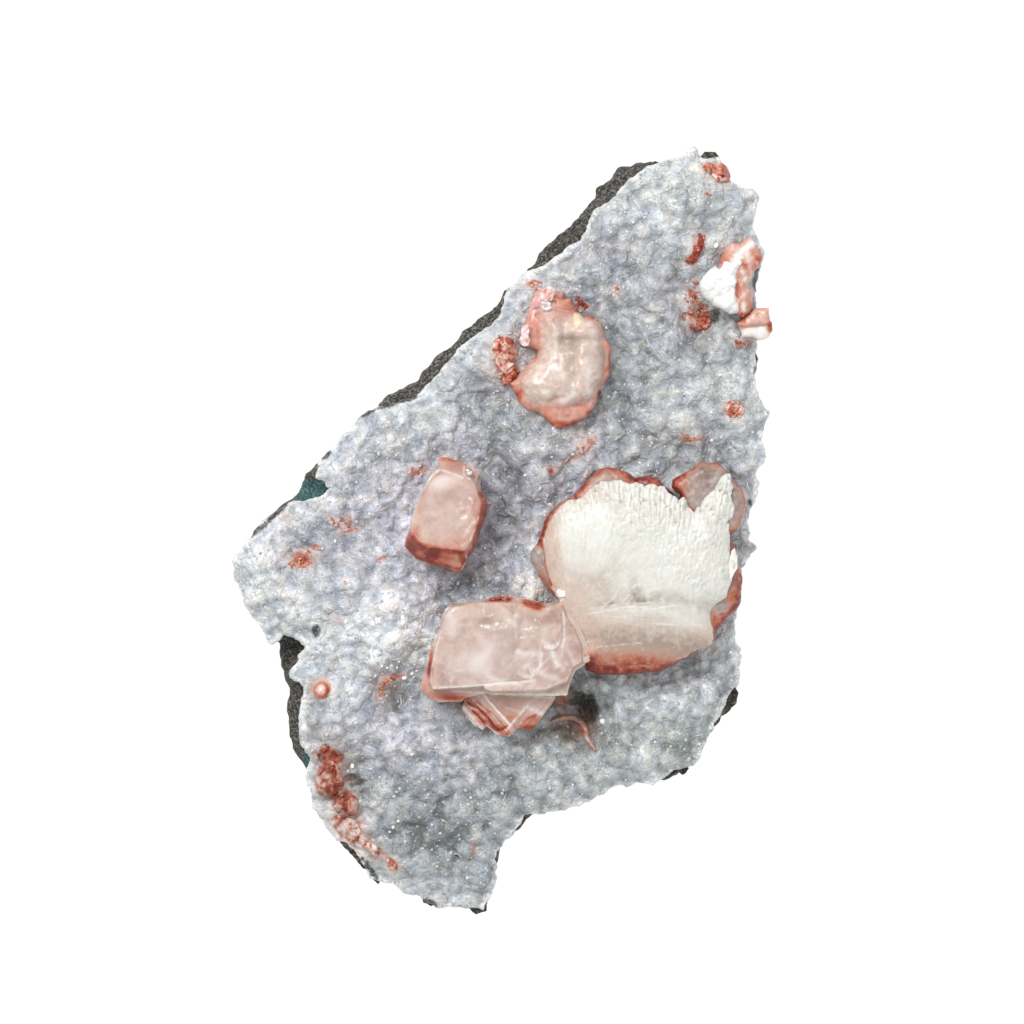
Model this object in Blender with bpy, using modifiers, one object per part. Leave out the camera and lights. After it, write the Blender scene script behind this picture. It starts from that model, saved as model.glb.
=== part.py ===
"""Apophyllite specimen: a broken slab of basalt under a crust of chalcedony druse, with peach and white
crystals grown on it.

The slab lies on its back. X runs across it, Y along it and Z up, towards the crystals. The origin is the
middle of the specimen's outline, on the plane that it rests on. Lengths are millimetres until MM turns
them into metres.
"""

import math

import bmesh
import bpy
from mathutils import Matrix, Vector, noise

MM = 0.001

# The slab.
CRUST_TOP = 25.0  # height of the level parts of the crust
CRUST_DEPTH = 6.0  # crust over the basalt, away from its edge
CRUST_SINK = 1.2  # how far the crust reaches into the basalt before it is cut to fit it
EDGE_WIDTH = 4.0  # band along the crust's edge that rolls down
EDGE_DROP = 2.6
FLANK_SLOPE = 1.5  # fall of the bare basalt beyond the crust, per millimetre
FOOT_INSET = 0.075  # share by which the basalt narrows down to its underside
FAR_END_FALL = 6.0  # how much lower the crust lies at its -Y end
FAR_END = (-42.0, -74.0)  # the stretch of Y over which it falls
LUMP_SIZE = 8.5
LUMP_RISE = 2.7
BREAK_SIZE = 11.0  # scoops of the broken basalt
BREAK_DEPTH = 4.0
FLAT_BELOW = 0.4  # points of the basalt lower than this are put on its flat underside
GAP = 0.35  # kept between two pieces
SHARPEST_CORNER = 1.6  # the most that a corner moves out, as a multiple of the gap

CRUST_VOXEL = 1.5
BASALT_VOXEL = 2.1
CRUST_DETAIL = 0.165  # share of the faces that is kept
BASALT_DETAIL = 0.088

# Outlines seen from above, as (x, y).
BASALT_OUTLINE = [
    (38.5, 74), (42.5, 74), (44, 69), (49, 64.5), (48.5, 59.5), (50, 50), (49, 42.5),
    (50.5, 34), (50, 26.5), (51, 22.5), (50, 14.5), (48.5, 11.5), (49, 8.5), (47, -0.5),
    (47.5, -4.5), (44.5, -16), (45.5, -24), (45.5, -34), (42, -37.5), (38, -45.5), (35.5, -48),
    (29, -49), (23, -49), (17.5, -52.5), (11.5, -53.5), (3.5, -58.5), (-1, -63), (-2, -71),
    (-3.5, -74.5), (-6, -75), (-8.5, -72.5), (-12.5, -74.5), (-21, -70), (-24, -70),
    (-38.5, -51), (-43, -37), (-41.5, -31), (-43, -29.5), (-45, -21.5), (-49, -14.5),
    (-51.5, -9), (-51.5, -5.5), (-46, 2.5), (-42, 6), (-35, 15), (-26.5, 23.5), (-19, 28.5),
    (3.5, 49.5), (16.5, 63.5), (20, 69), (24.5, 72.5), (28, 73.5), (35.5, 72.5),
]
CRUST_OUTLINE = [
    (37.5, 75), (39.5, 73), (42.5, 73), (44.5, 69), (50, 65), (49, 59.5), (51, 54.5),
    (49.5, 50), (49.5, 28.5), (52, 22.5), (50.5, 18.5), (51.5, 14.5), (49.5, 11.5), (50, 8.5),
    (47.5, -0.5), (49, -3.5), (46.5, -7.5), (45.5, -16), (45.5, -21.5), (46.5, -23), (46, -30),
    (43.5, -33.5), (37.5, -46), (31.5, -48), (29.5, -49.5), (23, -49.5), (17.5, -53),
    (8.5, -55.5), (4.5, -56), (-1, -63), (-1.5, -71), (-3.5, -74.5), (-12.5, -74),
    (-14.5, -72.5), (-25.5, -68), (-27.5, -64), (-31.5, -61), (-36, -55.5), (-38.5, -48.5),
    (-37, -44), (-39, -41.5), (-39, -34.5), (-38.5, -30.5), (-41, -28.5), (-39.5, -24),
    (-37, -22), (-42, -20), (-45, -22), (-50, -14), (-52.5, -9), (-52.5, -5.5), (-46, 2),
    (-41, 5.5), (-35, 6.5), (-33, 8.5), (-36, 10.5), (-35.5, 14), (-26, 23.5), (-17, 25.5),
    (-8.5, 35.5), (-0.5, 41.5), (1, 46), (3.5, 49.5), (9, 52), (15.5, 56.5), (17.5, 61.5),
    (28, 71), (35.5, 73.5),
]
SHEAF_RIM = [
    (5.8, -3.7), (7.9, -1.2), (8.1, 1.2), (10.1, 3.7), (12.1, 5.9), (14.4, 6.5), (25.6, 10.0),
    (29.9, 10.2), (31.3, 8.7), (36, 6.2), (45.6, 0.2), (44.2, -0.8), (45.3, -3.5), (46.2, -9.2),
    (41.2, -19.4), (41.2, -21.5), (39.3, -22.7), (33, -25.8), (30.2, -27.2), (25.6, -27.8),
    (19.9, -27.5), (16.1, -26.7), (16, -21.5), (11.9, -13.8), (6.7, -8),
]
SHEAF_CAP = [
    (9.5, -8.6), (9.8, -3.3), (12.4, 3.7), (17.6, 7.6), (19.2, 9), (24.1, 9.9), (29.9, 8.8),
    (36, 5.5), (37.3, 3.3), (39.7, 6.4), (43.6, 11.1), (44.9, 3.7), (44, -1.8), (44.4, -8.6),
    (43, -14), (41, -15.8), (41.2, -21.6), (38.7, -22.8), (34.8, -24.2), (29.9, -25.5),
    (25.1, -25.5), (16.9, -22.8), (13.7, -17.4), (11.4, -13.1),
]
SHEAF_UPPER_FAN = [
    (33.3, 9.4), (35.6, 11.4), (38.7, 13.1), (41.9, 13.3), (43.9, 11.1), (46.7, 7.7),
    (47.2, 3.4), (45.6, 0.2), (43, 2.1), (36, 3.2),
]
SHEAF_TOP_LOBE = [
    (14.4, 6.5), (15.5, 8.8), (18.1, 11.4), (20.1, 12.2), (22.7, 11.8), (25.6, 10.5),
    (25.4, 5.8), (19.2, 3.5),
]
SHEAF_RIGHT_LOBE = [
    (45.3, -3.5), (46.2, -9.2), (46.5, -13.8), (45.3, -15.5), (42.7, -18.6), (41.2, -19.4),
    (38.7, -14.4), (41.2, -8.6),
]
SHEAF_ROOT = (14.1, -15.8)
SHEAF_LEAVES = 13
SHEAF_HEADINGS = (-50, 103)  # of the first leaf and the last
SHEAF_PEAK = 38.6  # height of the highest leaf, and its heading
SHEAF_PEAK_HEADING = 42
SHEAF_FALL = 0.045  # how much lower a leaf is, for each degree away from that heading
SHEAF_FOOT = 29.0
SHEAF_LEAF_THICKNESS = 3.1

BLOCK_PLATE = [
    (-10.7, -14.8), (-6.5, -13.6), (0.1, -12.4), (4.4, -12.7), (8.2, -14.1), (11.4, -13.8),
    (13.8, -18.1), (15.7, -21.4), (16.1, -25.4), (14.1, -27.5), (12.4, -31.9), (-2, -31.8),
    (-7.4, -33), (-12.2, -33), (-14.3, -31.6), (-15.7, -29.4), (-14.1, -24.2), (-12.4, -19.5),
]
BLOCK_FACE = [
    (-10.2, -15.4), (-6.5, -14.2), (8.0, -14.6), (11.4, -15.2), (12.6, -20), (12.2, -26.4),
    (10.6, -29.4), (-2.4, -29.8), (-12.6, -30.6), (-12.8, -24.2), (-11.4, -19.0),
]
WEDGE_PLATE = [
    (-7.4, -31), (-7.8, -34.6), (-6, -37.2), (-3.7, -38.6), (-0.8, -39.6), (2.5, -39.5),
    (5.3, -38.8), (7.7, -36.3), (10.5, -32.5), (9.5, -29),
]
WEDGE_LEAVES = 3
WEDGE_LEAF_ROOT = (-1.6, -35.0)  # of the first leaf
WEDGE_LEAF_STEP = (2.1, 0.9)  # from each leaf to the next
WEDGE_LEAF_HEADING = -52
WEDGE_LEAF_FALL = 0.5  # how much lower each leaf is than the one before
TABULAR_PLATE = [
    (-12, 14.3), (-9.5, 13.9), (-5.9, 12.6), (-4.4, 11.6), (-3.8, 7.5), (-2.7, 5.4),
    (-3.1, 2.9), (-5.4, -3.3), (-7.8, -7.6), (-11.7, -6.8), (-16.6, -5.2), (-18.8, -2.9),
    (-18.3, -0.4), (-17, 4.2), (-14.3, 10),
]
FAN_NOTCHES = [
    (16.1, 41.8), (19.7, 39.5), (19.8, 37.6), (21.2, 34.9), (20.7, 32.0), (20.0, 28.7),
    (18.8, 25.0), (15.7, 21.9), (11.1, 20.5), (7.2, 23.1), (2.8, 26.6), (5.1, 32.6),
    (7.2, 35.1), (5.4, 38.3), (7.2, 43.5), (11.2, 44.4), (14.0, 42.4),
]
FAN_LEFT_LOBE = [
    (7.7, 35.3), (10, 38.2), (11.4, 34.9), (11.6, 30.4), (12.0, 25.3), (9.8, 24.0),
    (7.1, 24.7), (4.4, 26.9), (3.6, 29.1), (5.6, 31.8),
]
FAN_RIGHT_LOBE = [
    (12.4, 40.4), (16.1, 41.0), (18.4, 39.6), (18.7, 37.0), (19.8, 34.6), (19.5, 31),
    (18.4, 28.0), (17.4, 25.2), (14.9, 24.0), (11.6, 25.3), (10.8, 30.4), (10.8, 35.3),
]
CAPPED_BLADE = [
    (48.2, 57.1), (49.9, 54.7), (50.6, 53), (49.7, 51.1), (48.2, 48.2), (48.7, 46.3),
    (48.8, 43.6), (46.4, 41.7), (43.6, 43.5), (42.6, 50.9), (42.7, 53.8), (44.2, 55),
    (46.4, 55.9),
]
EDGE_PLATE = [
    (52, 43.6), (52.7, 40.6), (52.1, 37.8), (50.2, 37.2), (47.1, 37.4), (46.6, 39.1),
    (45.7, 40.3), (48.7, 43.2),
]

# Swells and hollows of the crust: (x, y, reach along x, reach along y, rise).
RELIEF = [
    (-23.7, -15.4, 8.8, 8.8, 3.0),
    (-31.5, 11.9, 7.8, 7.8, 2.0),
    (-19.8, 19.6, 6.0, 5.0, 1.6),
    (-4.5, 33.3, 6.0, 6.0, 1.2),
    (11.0, 49.0, 6.0, 5.0, 1.2),
    (23.0, 63.0, 5.0, 6.0, 1.5),
    (33.0, 62.6, 6.8, 6.8, 1.8),
    (27.0, 42.2, 6.0, 7.8, 1.5),
    (33.8, 23.6, 4.3, 4.3, 2.0),
    (10.4, 16.7, 6.4, 5.4, 1.6),
    (3.0, -8.5, 4.0, 4.0, 1.5),
    (-33.4, -36.9, 5.0, 5.9, 1.6),
    (-46.0, -11.5, 4.9, 4.9, 1.5),
    (36.8, -36.9, 5.9, 5.9, 1.5),
    (-10.0, -46.6, 7.0, 5.9, 1.0),
    (-0.3, 6.0, 4.5, 12.0, -3.5),
    (-7.5, -9.5, 5.9, 4.0, -2.6),
    (23.4, 31.4, 4.5, 10.0, -2.2),
    (-2.0, 24.0, 6.8, 5.0, -2.2),
    (39.7, 39.2, 3.6, 4.6, -4.5),
    (37.0, 14.5, 5.0, 4.0, -1.5),
    (14.6, -36.0, 6.0, 6.0, -8.0),
    (-20.8, -31.0, 6.5, 5.5, -2.5),
    (-27.5, -47.6, 4.6, 6.5, -4.0),
    (-39.3, -4.7, 5.9, 5.9, -1.5),
    (-29.5, 0.2, 5.9, 5.9, -1.5),
    (28.0, -30.5, 6.5, 4.5, -1.8),
]

# Small crystals, each a list of tablets: (x, y, length, width, heading, lean), angles in degrees.
RED_TUFT = [
    (0.2, 36.0, 6.5, 4.2, 20, 12),
    (1.3, 34.2, 6.8, 4.4, 75, 18),
    (0.0, 32.6, 6.2, 4.0, -35, 14),
    (1.9, 31.4, 5.6, 3.6, 50, 20),
    (0.9, 29.8, 5.4, 3.4, -70, 16),
]
RED_CLUSTER = [
    (37.5, 48.4, 5.0, 3.2, 35, 10),
    (38.2, 46.6, 5.6, 3.6, -40, 14),
    (39.5, 45.0, 5.4, 3.2, 60, 10),
    (38.0, 44.0, 5.2, 3.4, 10, 16),
    (38.9, 41.9, 5.4, 3.6, -60, 12),
    (39.8, 40.6, 5.0, 3.0, 40, 10),
]
RED_CRESCENT = [
    (39.0, 56.8, 4.6, 2.6, 80, 8),
    (38.9, 55.2, 4.8, 2.6, 60, 10),
    (37.9, 53.8, 4.6, 2.6, 40, 12),
]
CORNER_CRYSTAL = [
    (42.6, 70.9, 4.8, 3.0, 30, 10),
    (43.1, 69.6, 5.0, 3.0, -50, 14),
]
RING_CRYSTAL = [
    (-35.2, -30.8, 3.4, 3.4, 15, 4),
    (-35.2, -30.8, 3.2, 3.4, 105, 4),
]
RED_RIDGE = [
    (-33.9, -43.6, 5.6, 3.6, 20, 10),
    (-32.6, -45.8, 6.4, 3.8, -50, 12),
    (-32.2, -48.2, 6.0, 3.8, 40, 14),
    (-33.4, -50.2, 5.4, 3.4, -20, 10),
    (-31.0, -52.0, 5.6, 3.6, 70, 16),
    (-29.4, -54.4, 5.8, 3.6, -60, 12),
    (-29.0, -57.8, 5.4, 3.8, 50, 12),
    (-27.0, -60.0, 5.0, 3.8, -40, 14),
    (-24.8, -62.2, 4.8, 3.8, 45, 12),
    (-22.4, -64.4, 4.4, 3.8, -45, 12),
]
CAVE_RIM = [
    (12.9, -37.0, 5.0, 3.4, -20, 8),
    (15.6, -37.3, 5.4, 3.4, 10, 6),
    (17.8, -39.0, 5.6, 3.4, -55, 8),
    (18.6, -41.2, 5.2, 3.2, -80, 8),
]
TABLET_THICKNESS = 1.8
TABLET_ROOT = 0.18  # share of a tablet's length by which its middle stands above the crust

COLOURS = {
    "basalt": (0.075, 0.080, 0.078),
    "chalcedony": (0.56, 0.58, 0.60),
    "white": (0.86, 0.86, 0.81),
    "peach": (0.74, 0.50, 0.40),
    "cream": (0.78, 0.62, 0.50),
    "red": (0.50, 0.16, 0.10),
}
ROCK_ROUGHNESS = 0.85
CRYSTAL_ROUGHNESS = 0.35


def start_clean():
    """Empty the scene."""
    for obj in list(bpy.data.objects):
        bpy.data.objects.remove(obj, do_unlink=True)


def collection(name):
    """A collection of the scene."""
    made = bpy.data.collections.new(name)
    bpy.context.scene.collection.children.link(made)
    return made


def finish(name):
    """One mineral's material."""
    material = bpy.data.materials.new(name)
    material.use_nodes = True
    shader = material.node_tree.nodes["Principled BSDF"]
    shader.inputs["Base Color"].default_value = (*COLOURS[name], 1.0)
    shader.inputs["Roughness"].default_value = ROCK_ROUGHNESS if name == "basalt" else CRYSTAL_ROUGHNESS
    shader.inputs["Metallic"].default_value = 0.0
    return material


def as_mesh(obj):
    """Turn an object, with its modifiers, into a plain mesh in its place."""
    evaluated = obj.evaluated_get(bpy.context.evaluated_depsgraph_get())
    mesh = bpy.data.meshes.new_from_object(evaluated)
    mesh.transform(obj.matrix_world)
    name = obj.name
    bpy.data.objects.remove(obj, do_unlink=True)
    solid = bpy.data.objects.new(name, mesh)
    bpy.context.scene.collection.objects.link(solid)
    return solid


def welded(obj):
    """Close the loose caps of a mesh that was a curve."""
    shape = bmesh.new()
    shape.from_mesh(obj.data)
    bmesh.ops.remove_doubles(shape, verts=shape.verts, dist=0.01 * MM)
    shape.to_mesh(obj.data)
    shape.free()
    return obj


def plate(name, outline, low, high):
    """A flat plate with this outline, from one height to another."""
    curve = bpy.data.curves.new(name, "CURVE")
    curve.dimensions = "2D"
    curve.fill_mode = "BOTH"
    curve.extrude = (high - low) / 2 * MM
    spline = curve.splines.new("POLY")
    spline.points.add(len(outline) - 1)
    for point, (x, y) in zip(spline.points, outline):
        point.co = (x * MM, y * MM, 0, 1)
    spline.use_cyclic_u = True
    obj = bpy.data.objects.new(name, curve)
    obj.location.z = (low + high) / 2 * MM
    bpy.context.scene.collection.objects.link(obj)
    bpy.context.view_layer.update()
    return welded(as_mesh(obj))


def crown(obj, steps):
    """Raise a plate's top through steps of (height, share of its width kept), for bevelled edges."""
    shape = bmesh.new()
    shape.from_mesh(obj.data)
    top = max(vert.co.z for vert in shape.verts)
    faces = [f for f in shape.faces if all(abs(v.co.z - top) < 0.01 * MM for v in f.verts)]
    verts = {vert for face in faces for vert in face.verts}
    middle = sum((vert.co for vert in verts), Vector()) / len(verts)
    kept = 1.0
    for height, share in steps:
        raised = bmesh.ops.extrude_face_region(shape, geom=faces)["geom"]
        bmesh.ops.delete(shape, geom=faces, context="FACES_ONLY")
        faces = [item for item in raised if isinstance(item, bmesh.types.BMFace)]
        for vert in {vert for face in faces for vert in face.verts}:
            flat = middle + (vert.co - middle) * (share / kept)
            vert.co = Vector((flat.x, flat.y, height * MM))
        kept = share
    bmesh.ops.recalc_face_normals(shape, faces=shape.faces)
    shape.to_mesh(obj.data)
    shape.free()
    return obj


def turned(obj, matrix):
    """Move an object's mesh by a matrix."""
    obj.data.transform(matrix)
    return obj


def tilted(obj, about, heading, lean):
    """Lean a piece over, about a point, towards a heading; angles in degrees."""
    place = Matrix.Translation(Vector(about) * MM)
    turn = Matrix.Rotation(math.radians(heading), 4, "Z")
    fall = Matrix.Rotation(math.radians(lean), 4, "Y")
    return turned(obj, place @ turn @ fall @ turn.inverted() @ place.inverted())


def boolean(obj, other, operation):
    """Join another solid to this one, or cut it away."""
    modifier = obj.modifiers.new(operation.lower(), "BOOLEAN")
    modifier.operation = operation
    modifier.object = other
    return as_mesh(obj)


def fused(name, solids):
    """One solid made of several that overlap."""
    others = bpy.data.collections.new("others")
    for solid in solids[1:]:
        others.objects.link(solid)
    modifier = solids[0].modifiers.new("union", "BOOLEAN")
    modifier.operation = "UNION"
    modifier.operand_type = "COLLECTION"
    modifier.collection = others
    whole = as_mesh(solids[0])
    for solid in solids[1:]:
        bpy.data.objects.remove(solid, do_unlink=True)
    bpy.data.collections.remove(others)
    whole.name = name
    return whole


def grown(obj, amount, name):
    """A copy of a solid, larger by this amount all round."""
    mesh = obj.data.copy()
    shape = bmesh.new()
    shape.from_mesh(mesh)
    shape.normal_update()
    moves = []
    for vert in shape.verts:
        corner = min(vert.calc_shell_factor(), SHARPEST_CORNER)
        moves.append(vert.normal * amount * MM * corner)
    for vert, move in zip(shape.verts, moves):
        vert.co += move
    shape.to_mesh(mesh)
    shape.free()
    copy = bpy.data.objects.new(name, mesh)
    bpy.context.scene.collection.objects.link(copy)
    return copy


def main_body(obj):
    """Drop the crumbs that a cut leaves beside the largest body, and merge its flat faces."""
    shape = bmesh.new()
    shape.from_mesh(obj.data)
    bmesh.ops.dissolve_degenerate(shape, dist=0.001 * MM, edges=shape.edges)
    left = set(shape.verts)
    bodies = []
    while left:
        body = set()
        front = [left.pop()]
        while front:
            vert = front.pop()
            body.add(vert)
            for edge in vert.link_edges:
                other = edge.other_vert(vert)
                if other in left:
                    left.discard(other)
                    front.append(other)
        bodies.append(body)
    bodies.sort(key=len)
    crumbs = [vert for body in bodies[:-1] for vert in body]
    bmesh.ops.delete(shape, geom=crumbs, context="VERTS")
    bmesh.ops.dissolve_limit(
        shape, angle_limit=math.radians(0.5), verts=shape.verts, edges=shape.edges
    )
    bmesh.ops.triangulate(shape, faces=shape.faces)
    shape.to_mesh(obj.data)
    shape.free()
    return obj


def remeshed(obj, voxel):
    """Cover a solid with even faces of one size."""
    modifier = obj.modifiers.new("even", "REMESH")
    modifier.mode = "VOXEL"
    modifier.voxel_size = voxel * MM
    modifier.adaptivity = 0
    return as_mesh(obj)


def thinned(obj, share):
    """Keep this share of the faces."""
    modifier = obj.modifiers.new("fewer", "DECIMATE")
    modifier.ratio = share
    return as_mesh(obj)


def edge_distance(x, y, outline):
    """How far a point is from an outline."""
    best = math.inf
    for (x0, y0), (x1, y1) in zip(outline, outline[1:] + outline[:1]):
        dx, dy = x1 - x0, y1 - y0
        along = ((x - x0) * dx + (y - y0) * dy) / (dx * dx + dy * dy)
        along = min(1, max(0, along))
        best = min(best, math.hypot(x - x0 - along * dx, y - y0 - along * dy))
    return best


def is_inside(x, y, outline):
    """Whether a point lies within an outline."""
    within = False
    for (x0, y0), (x1, y1) in zip(outline, outline[1:] + outline[:1]):
        if (y0 > y) != (y1 > y) and x < (x1 - x0) * (y - y0) / (y1 - y0) + x0:
            within = not within
    return within


def eased(value):
    """0 to 1, slow at both ends."""
    value = min(1, max(0, value))
    return value * value * (3 - 2 * value)


def ground(x, y):
    """Height of the crust's surface without its lumps and its rolled edge."""
    height = CRUST_TOP
    for cx, cy, reach_x, reach_y, rise in RELIEF:
        height += rise * math.exp(-(((x - cx) / reach_x) ** 2) - ((y - cy) / reach_y) ** 2)
    start, end = FAR_END
    return height - FAR_END_FALL * eased((y - start) / (end - start))


def lump(x, y):
    """Round lumps of druse: high inside each cell, low between cells."""
    near = noise.voronoi(Vector((x, y, 0)) / LUMP_SIZE)[0][0]
    return LUMP_RISE * (0.45 - near)


def crust_top(x, y):
    """Height of the finished crust."""
    edge = 1 - min(1, edge_distance(x, y, CRUST_OUTLINE) / EDGE_WIDTH)
    roll = EDGE_DROP * (1 - math.sqrt(max(0, 1 - edge * edge)))
    return ground(x, y) + lump(x, y) - roll


def basalt_top(x, y):
    """Height of the basalt, under the crust and on the flanks beyond it."""
    height = ground(x, y) - CRUST_DEPTH
    if is_inside(x, y, CRUST_OUTLINE):
        return height
    return height - FLANK_SLOPE * edge_distance(x, y, CRUST_OUTLINE)


def scoop(x, y, z):
    """Depth of the scoops in the broken basalt at a point, with ridges between them."""
    near = noise.voronoi(Vector((x, y, z)) / BREAK_SIZE)[0][0]
    return BREAK_DEPTH * max(0, 1 - near) ** 1.5


def basalt_matrix():
    """The slab of basalt: flat underneath, broken round its sides."""
    obj = remeshed(plate("basalt_matrix", BASALT_OUTLINE, 0, CRUST_TOP - CRUST_DEPTH), BASALT_VOXEL)
    full = CRUST_TOP - CRUST_DEPTH
    for vert in obj.data.vertices:
        x, y, z = (value / MM for value in vert.co)
        share = min(1, max(0, z / full))
        height = basalt_top(x, y) * share
        inset = FOOT_INSET * (1 - share) ** 1.5
        if edge_distance(x, y, BASALT_OUTLINE) < BASALT_VOXEL:
            inset += scoop(x, y, height) * eased(3 - 3 * share) / math.hypot(x, y)
        if share == 1 and not is_inside(x, y, CRUST_OUTLINE):
            height -= scoop(x, y, height) / 2
        vert.co = (x * (1 - inset) * MM, y * (1 - inset) * MM, height * MM)
    slab = thinned(obj, BASALT_DETAIL)
    for vert in slab.data.vertices:
        if vert.co.z < FLAT_BELOW * MM:
            vert.co.z = 0
    return main_body(slab)


def chalcedony_crust():
    """The druse crust, reaching a little into the basalt that it is cut to fit."""
    low, high = CRUST_TOP - 2 * CRUST_DEPTH, CRUST_TOP
    obj = remeshed(plate("chalcedony_crust", CRUST_OUTLINE, low, high), CRUST_VOXEL)
    for vert in obj.data.vertices:
        x, y, z = (value / MM for value in vert.co)
        share = min(1, max(0, (z - low) / (high - low)))
        bottom = basalt_top(x, y) - CRUST_SINK
        vert.co.z = (bottom + (crust_top(x, y) - bottom) * share) * MM
    return thinned(obj, CRUST_DETAIL)


def reach(outline, root, heading):
    """How far an outline lies from a point inside it, in one direction."""
    far = 0.0
    dx, dy = math.cos(heading), math.sin(heading)
    for (x0, y0), (x1, y1) in zip(outline, outline[1:] + outline[:1]):
        ex, ey = x1 - x0, y1 - y0
        across = dx * ey - dy * ex
        if abs(across) < 1e-9:
            continue
        along = ((x0 - root[0]) * ey - (y0 - root[1]) * ex) / across
        share = ((x0 - root[0]) * dy - (y0 - root[1]) * dx) / across
        if along > 0 and 0 <= share <= 1:
            far = max(far, along)
    return far


def leaf(profile, thickness, root, heading):
    """A thin crystal leaf that stands on edge; its profile is its reach from the root, and its height."""
    obj = plate("leaf", profile, -thickness / 2, thickness / 2)
    place = Matrix.Translation(Vector((root[0], root[1], 0)) * MM)
    turn = Matrix.Rotation(heading, 4, "Z") @ Matrix.Rotation(math.pi / 2, 4, "X")
    return turned(obj, place @ turn)


def sheaf_leaves():
    """The leaves of the white sheaf, fanned out from its root, highest towards +X +Y."""
    leaves = []
    first, last = SHEAF_HEADINGS
    for index in range(SHEAF_LEAVES):
        heading = first + (last - first) * index / (SHEAF_LEAVES - 1)
        far = reach(SHEAF_CAP, SHEAF_ROOT, math.radians(heading))
        peak = SHEAF_PEAK - SHEAF_FALL * abs(heading - SHEAF_PEAK_HEADING) + 0.5 * (index % 2)
        foot = SHEAF_FOOT + 0.07 * index
        profile = [
            (far * 0.3, foot), (far * 0.32, peak - 3.2), (far * 0.62, peak - 0.8),
            (far * 0.86, peak), (far * 0.98, peak - 1.8), (far, 33.4), (far * 0.9, foot),
        ]
        leaves.append(leaf(profile, SHEAF_LEAF_THICKNESS, SHEAF_ROOT, math.radians(heading)))
    return leaves


def sheaf_crystal():
    """The large white sheaf with its translucent rims."""
    rim = crown(plate("sheaf_crystal", SHEAF_RIM, 21.5, 30.0), [(31.6, 0.95)])
    cap = crown(plate("cap", SHEAF_CAP, 28.5, 33.2), [(35.2, 0.9)])
    upper_fan = tilted(plate("upper_fan", SHEAF_UPPER_FAN, 26, 33.2), (40, 3, 30), 60, -4)
    top_lobe = plate("top_lobe", SHEAF_TOP_LOBE, 24, 32.8)
    right_lobe = plate("right_lobe", SHEAF_RIGHT_LOBE, 24, 31.8)
    spike = leaf([(18, 30), (20, 36.6), (33.5, 38.4), (38.0, 36.4), (37.0, 30)], 2.4, SHEAF_ROOT, 0.72)
    return fused("sheaf_crystal", [rim, cap, upper_fan, top_lobe, right_lobe, *sheaf_leaves(), spike])


def block_crystal():
    """The thick peach tablet, of stacked plates, with the wedge grown under its -Y edge."""
    lower = plate("block_crystal", BLOCK_PLATE, 22.0, 32.2)
    upper = crown(plate("upper", BLOCK_FACE, 30, 34.6), [(36.2, 0.93)])
    wedge = tilted(plate("wedge", WEDGE_PLATE, 20.5, 29.6), (1, -31, 29.6), -90, 8)
    solids = [lower, upper, wedge]
    for index in range(WEDGE_LEAVES):
        near, far = 30.6 - WEDGE_LEAF_FALL * index, 29.8 - 1.4 * WEDGE_LEAF_FALL * index
        profile = [(-3.4, 22), (-3.4, near), (4.6, far), (5.2, 22)]
        x, y = WEDGE_LEAF_ROOT
        step_x, step_y = WEDGE_LEAF_STEP
        root = (x + step_x * index, y + step_y * index)
        solids.append(leaf(profile, 1.3, root, math.radians(WEDGE_LEAF_HEADING)))
    return fused("block_crystal", solids)


def tabular_crystal():
    """The tabular crystal, bevelled all round, with steps along its +X side."""
    body = crown(plate("tabular_crystal", TABULAR_PLATE, 18.0, 28.6), [(31.4, 0.82)])
    steps = []
    for x, y, top in ((-5.4, 9.6, 30.6), (-4.6, 4.6, 30.2), (-5.6, 0.2, 29.8)):
        outline = [(x - 2.2, y - 2.4), (x + 1.2, y - 2.2), (x + 1.4, y + 1.6), (x - 1.6, y + 2.6)]
        steps.append(plate("step", outline, 20, top))
    return tilted(fused("tabular_crystal", [body, *steps]), (-11, 3.5, 30), 100, 3)


def scalloped(notches, bulge):
    """An outline whose edge bows out between the notches."""
    centre = Vector((sum(p[0] for p in notches), sum(p[1] for p in notches))) / len(notches)
    outline = []
    for (x0, y0), (x1, y1) in zip(notches, notches[1:] + notches[:1]):
        outline.append((x0, y0))
        middle = Vector(((x0 + x1) / 2, (y0 + y1) / 2))
        middle += (middle - centre).normalized() * bulge
        outline.append((middle.x, middle.y))
    return outline


def fan_crystal():
    """The cream fan: a scalloped rim, two domed lobes and a group of pink crystals at its -X +Y side."""
    rim = plate("fan_crystal", scalloped(FAN_NOTCHES, 0.7), 18.5, 27.4)
    left = crown(plate("left", FAN_LEFT_LOBE, 26, 29.2), [(30.8, 0.8), (31.4, 0.5)])
    right = crown(plate("right", FAN_RIGHT_LOBE, 26, 29.6), [(31.6, 0.8), (32.4, 0.5)])
    solids = [rim, left, right]
    for x, y, heading, top in (
        (5.6, 38.6, 20, 31.6), (6.6, 41.2, 60, 32.6), (7.9, 43.7, 95, 33.4),
        (10.2, 44.2, 70, 32.8), (12.9, 43.2, 40, 31.8),
    ):
        tablet = plate("pink", [(-2, -1.6), (2, -1.7), (2.2, 1.2), (0.6, 1.9), (-1.9, 1.6)], 19, top)
        turn = Matrix.Rotation(math.radians(heading), 4, "Z")
        solids.append(turned(tablet, Matrix.Translation(Vector((x, y, 0)) * MM) @ turn))
    return fused("fan_crystal", solids)


def snow_lump(x, y, z, wide, tall):
    """A low round lump of the white mineral."""
    mesh = bpy.data.meshes.new("lump")
    shape = bmesh.new()
    bmesh.ops.create_icosphere(shape, subdivisions=2, radius=MM)
    shape.to_mesh(mesh)
    shape.free()
    obj = bpy.data.objects.new("lump", mesh)
    bpy.context.scene.collection.objects.link(obj)
    size = Matrix.Diagonal((wide, wide, tall, 1))
    return turned(obj, Matrix.Translation(Vector((x, y, z)) * MM) @ size)


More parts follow.
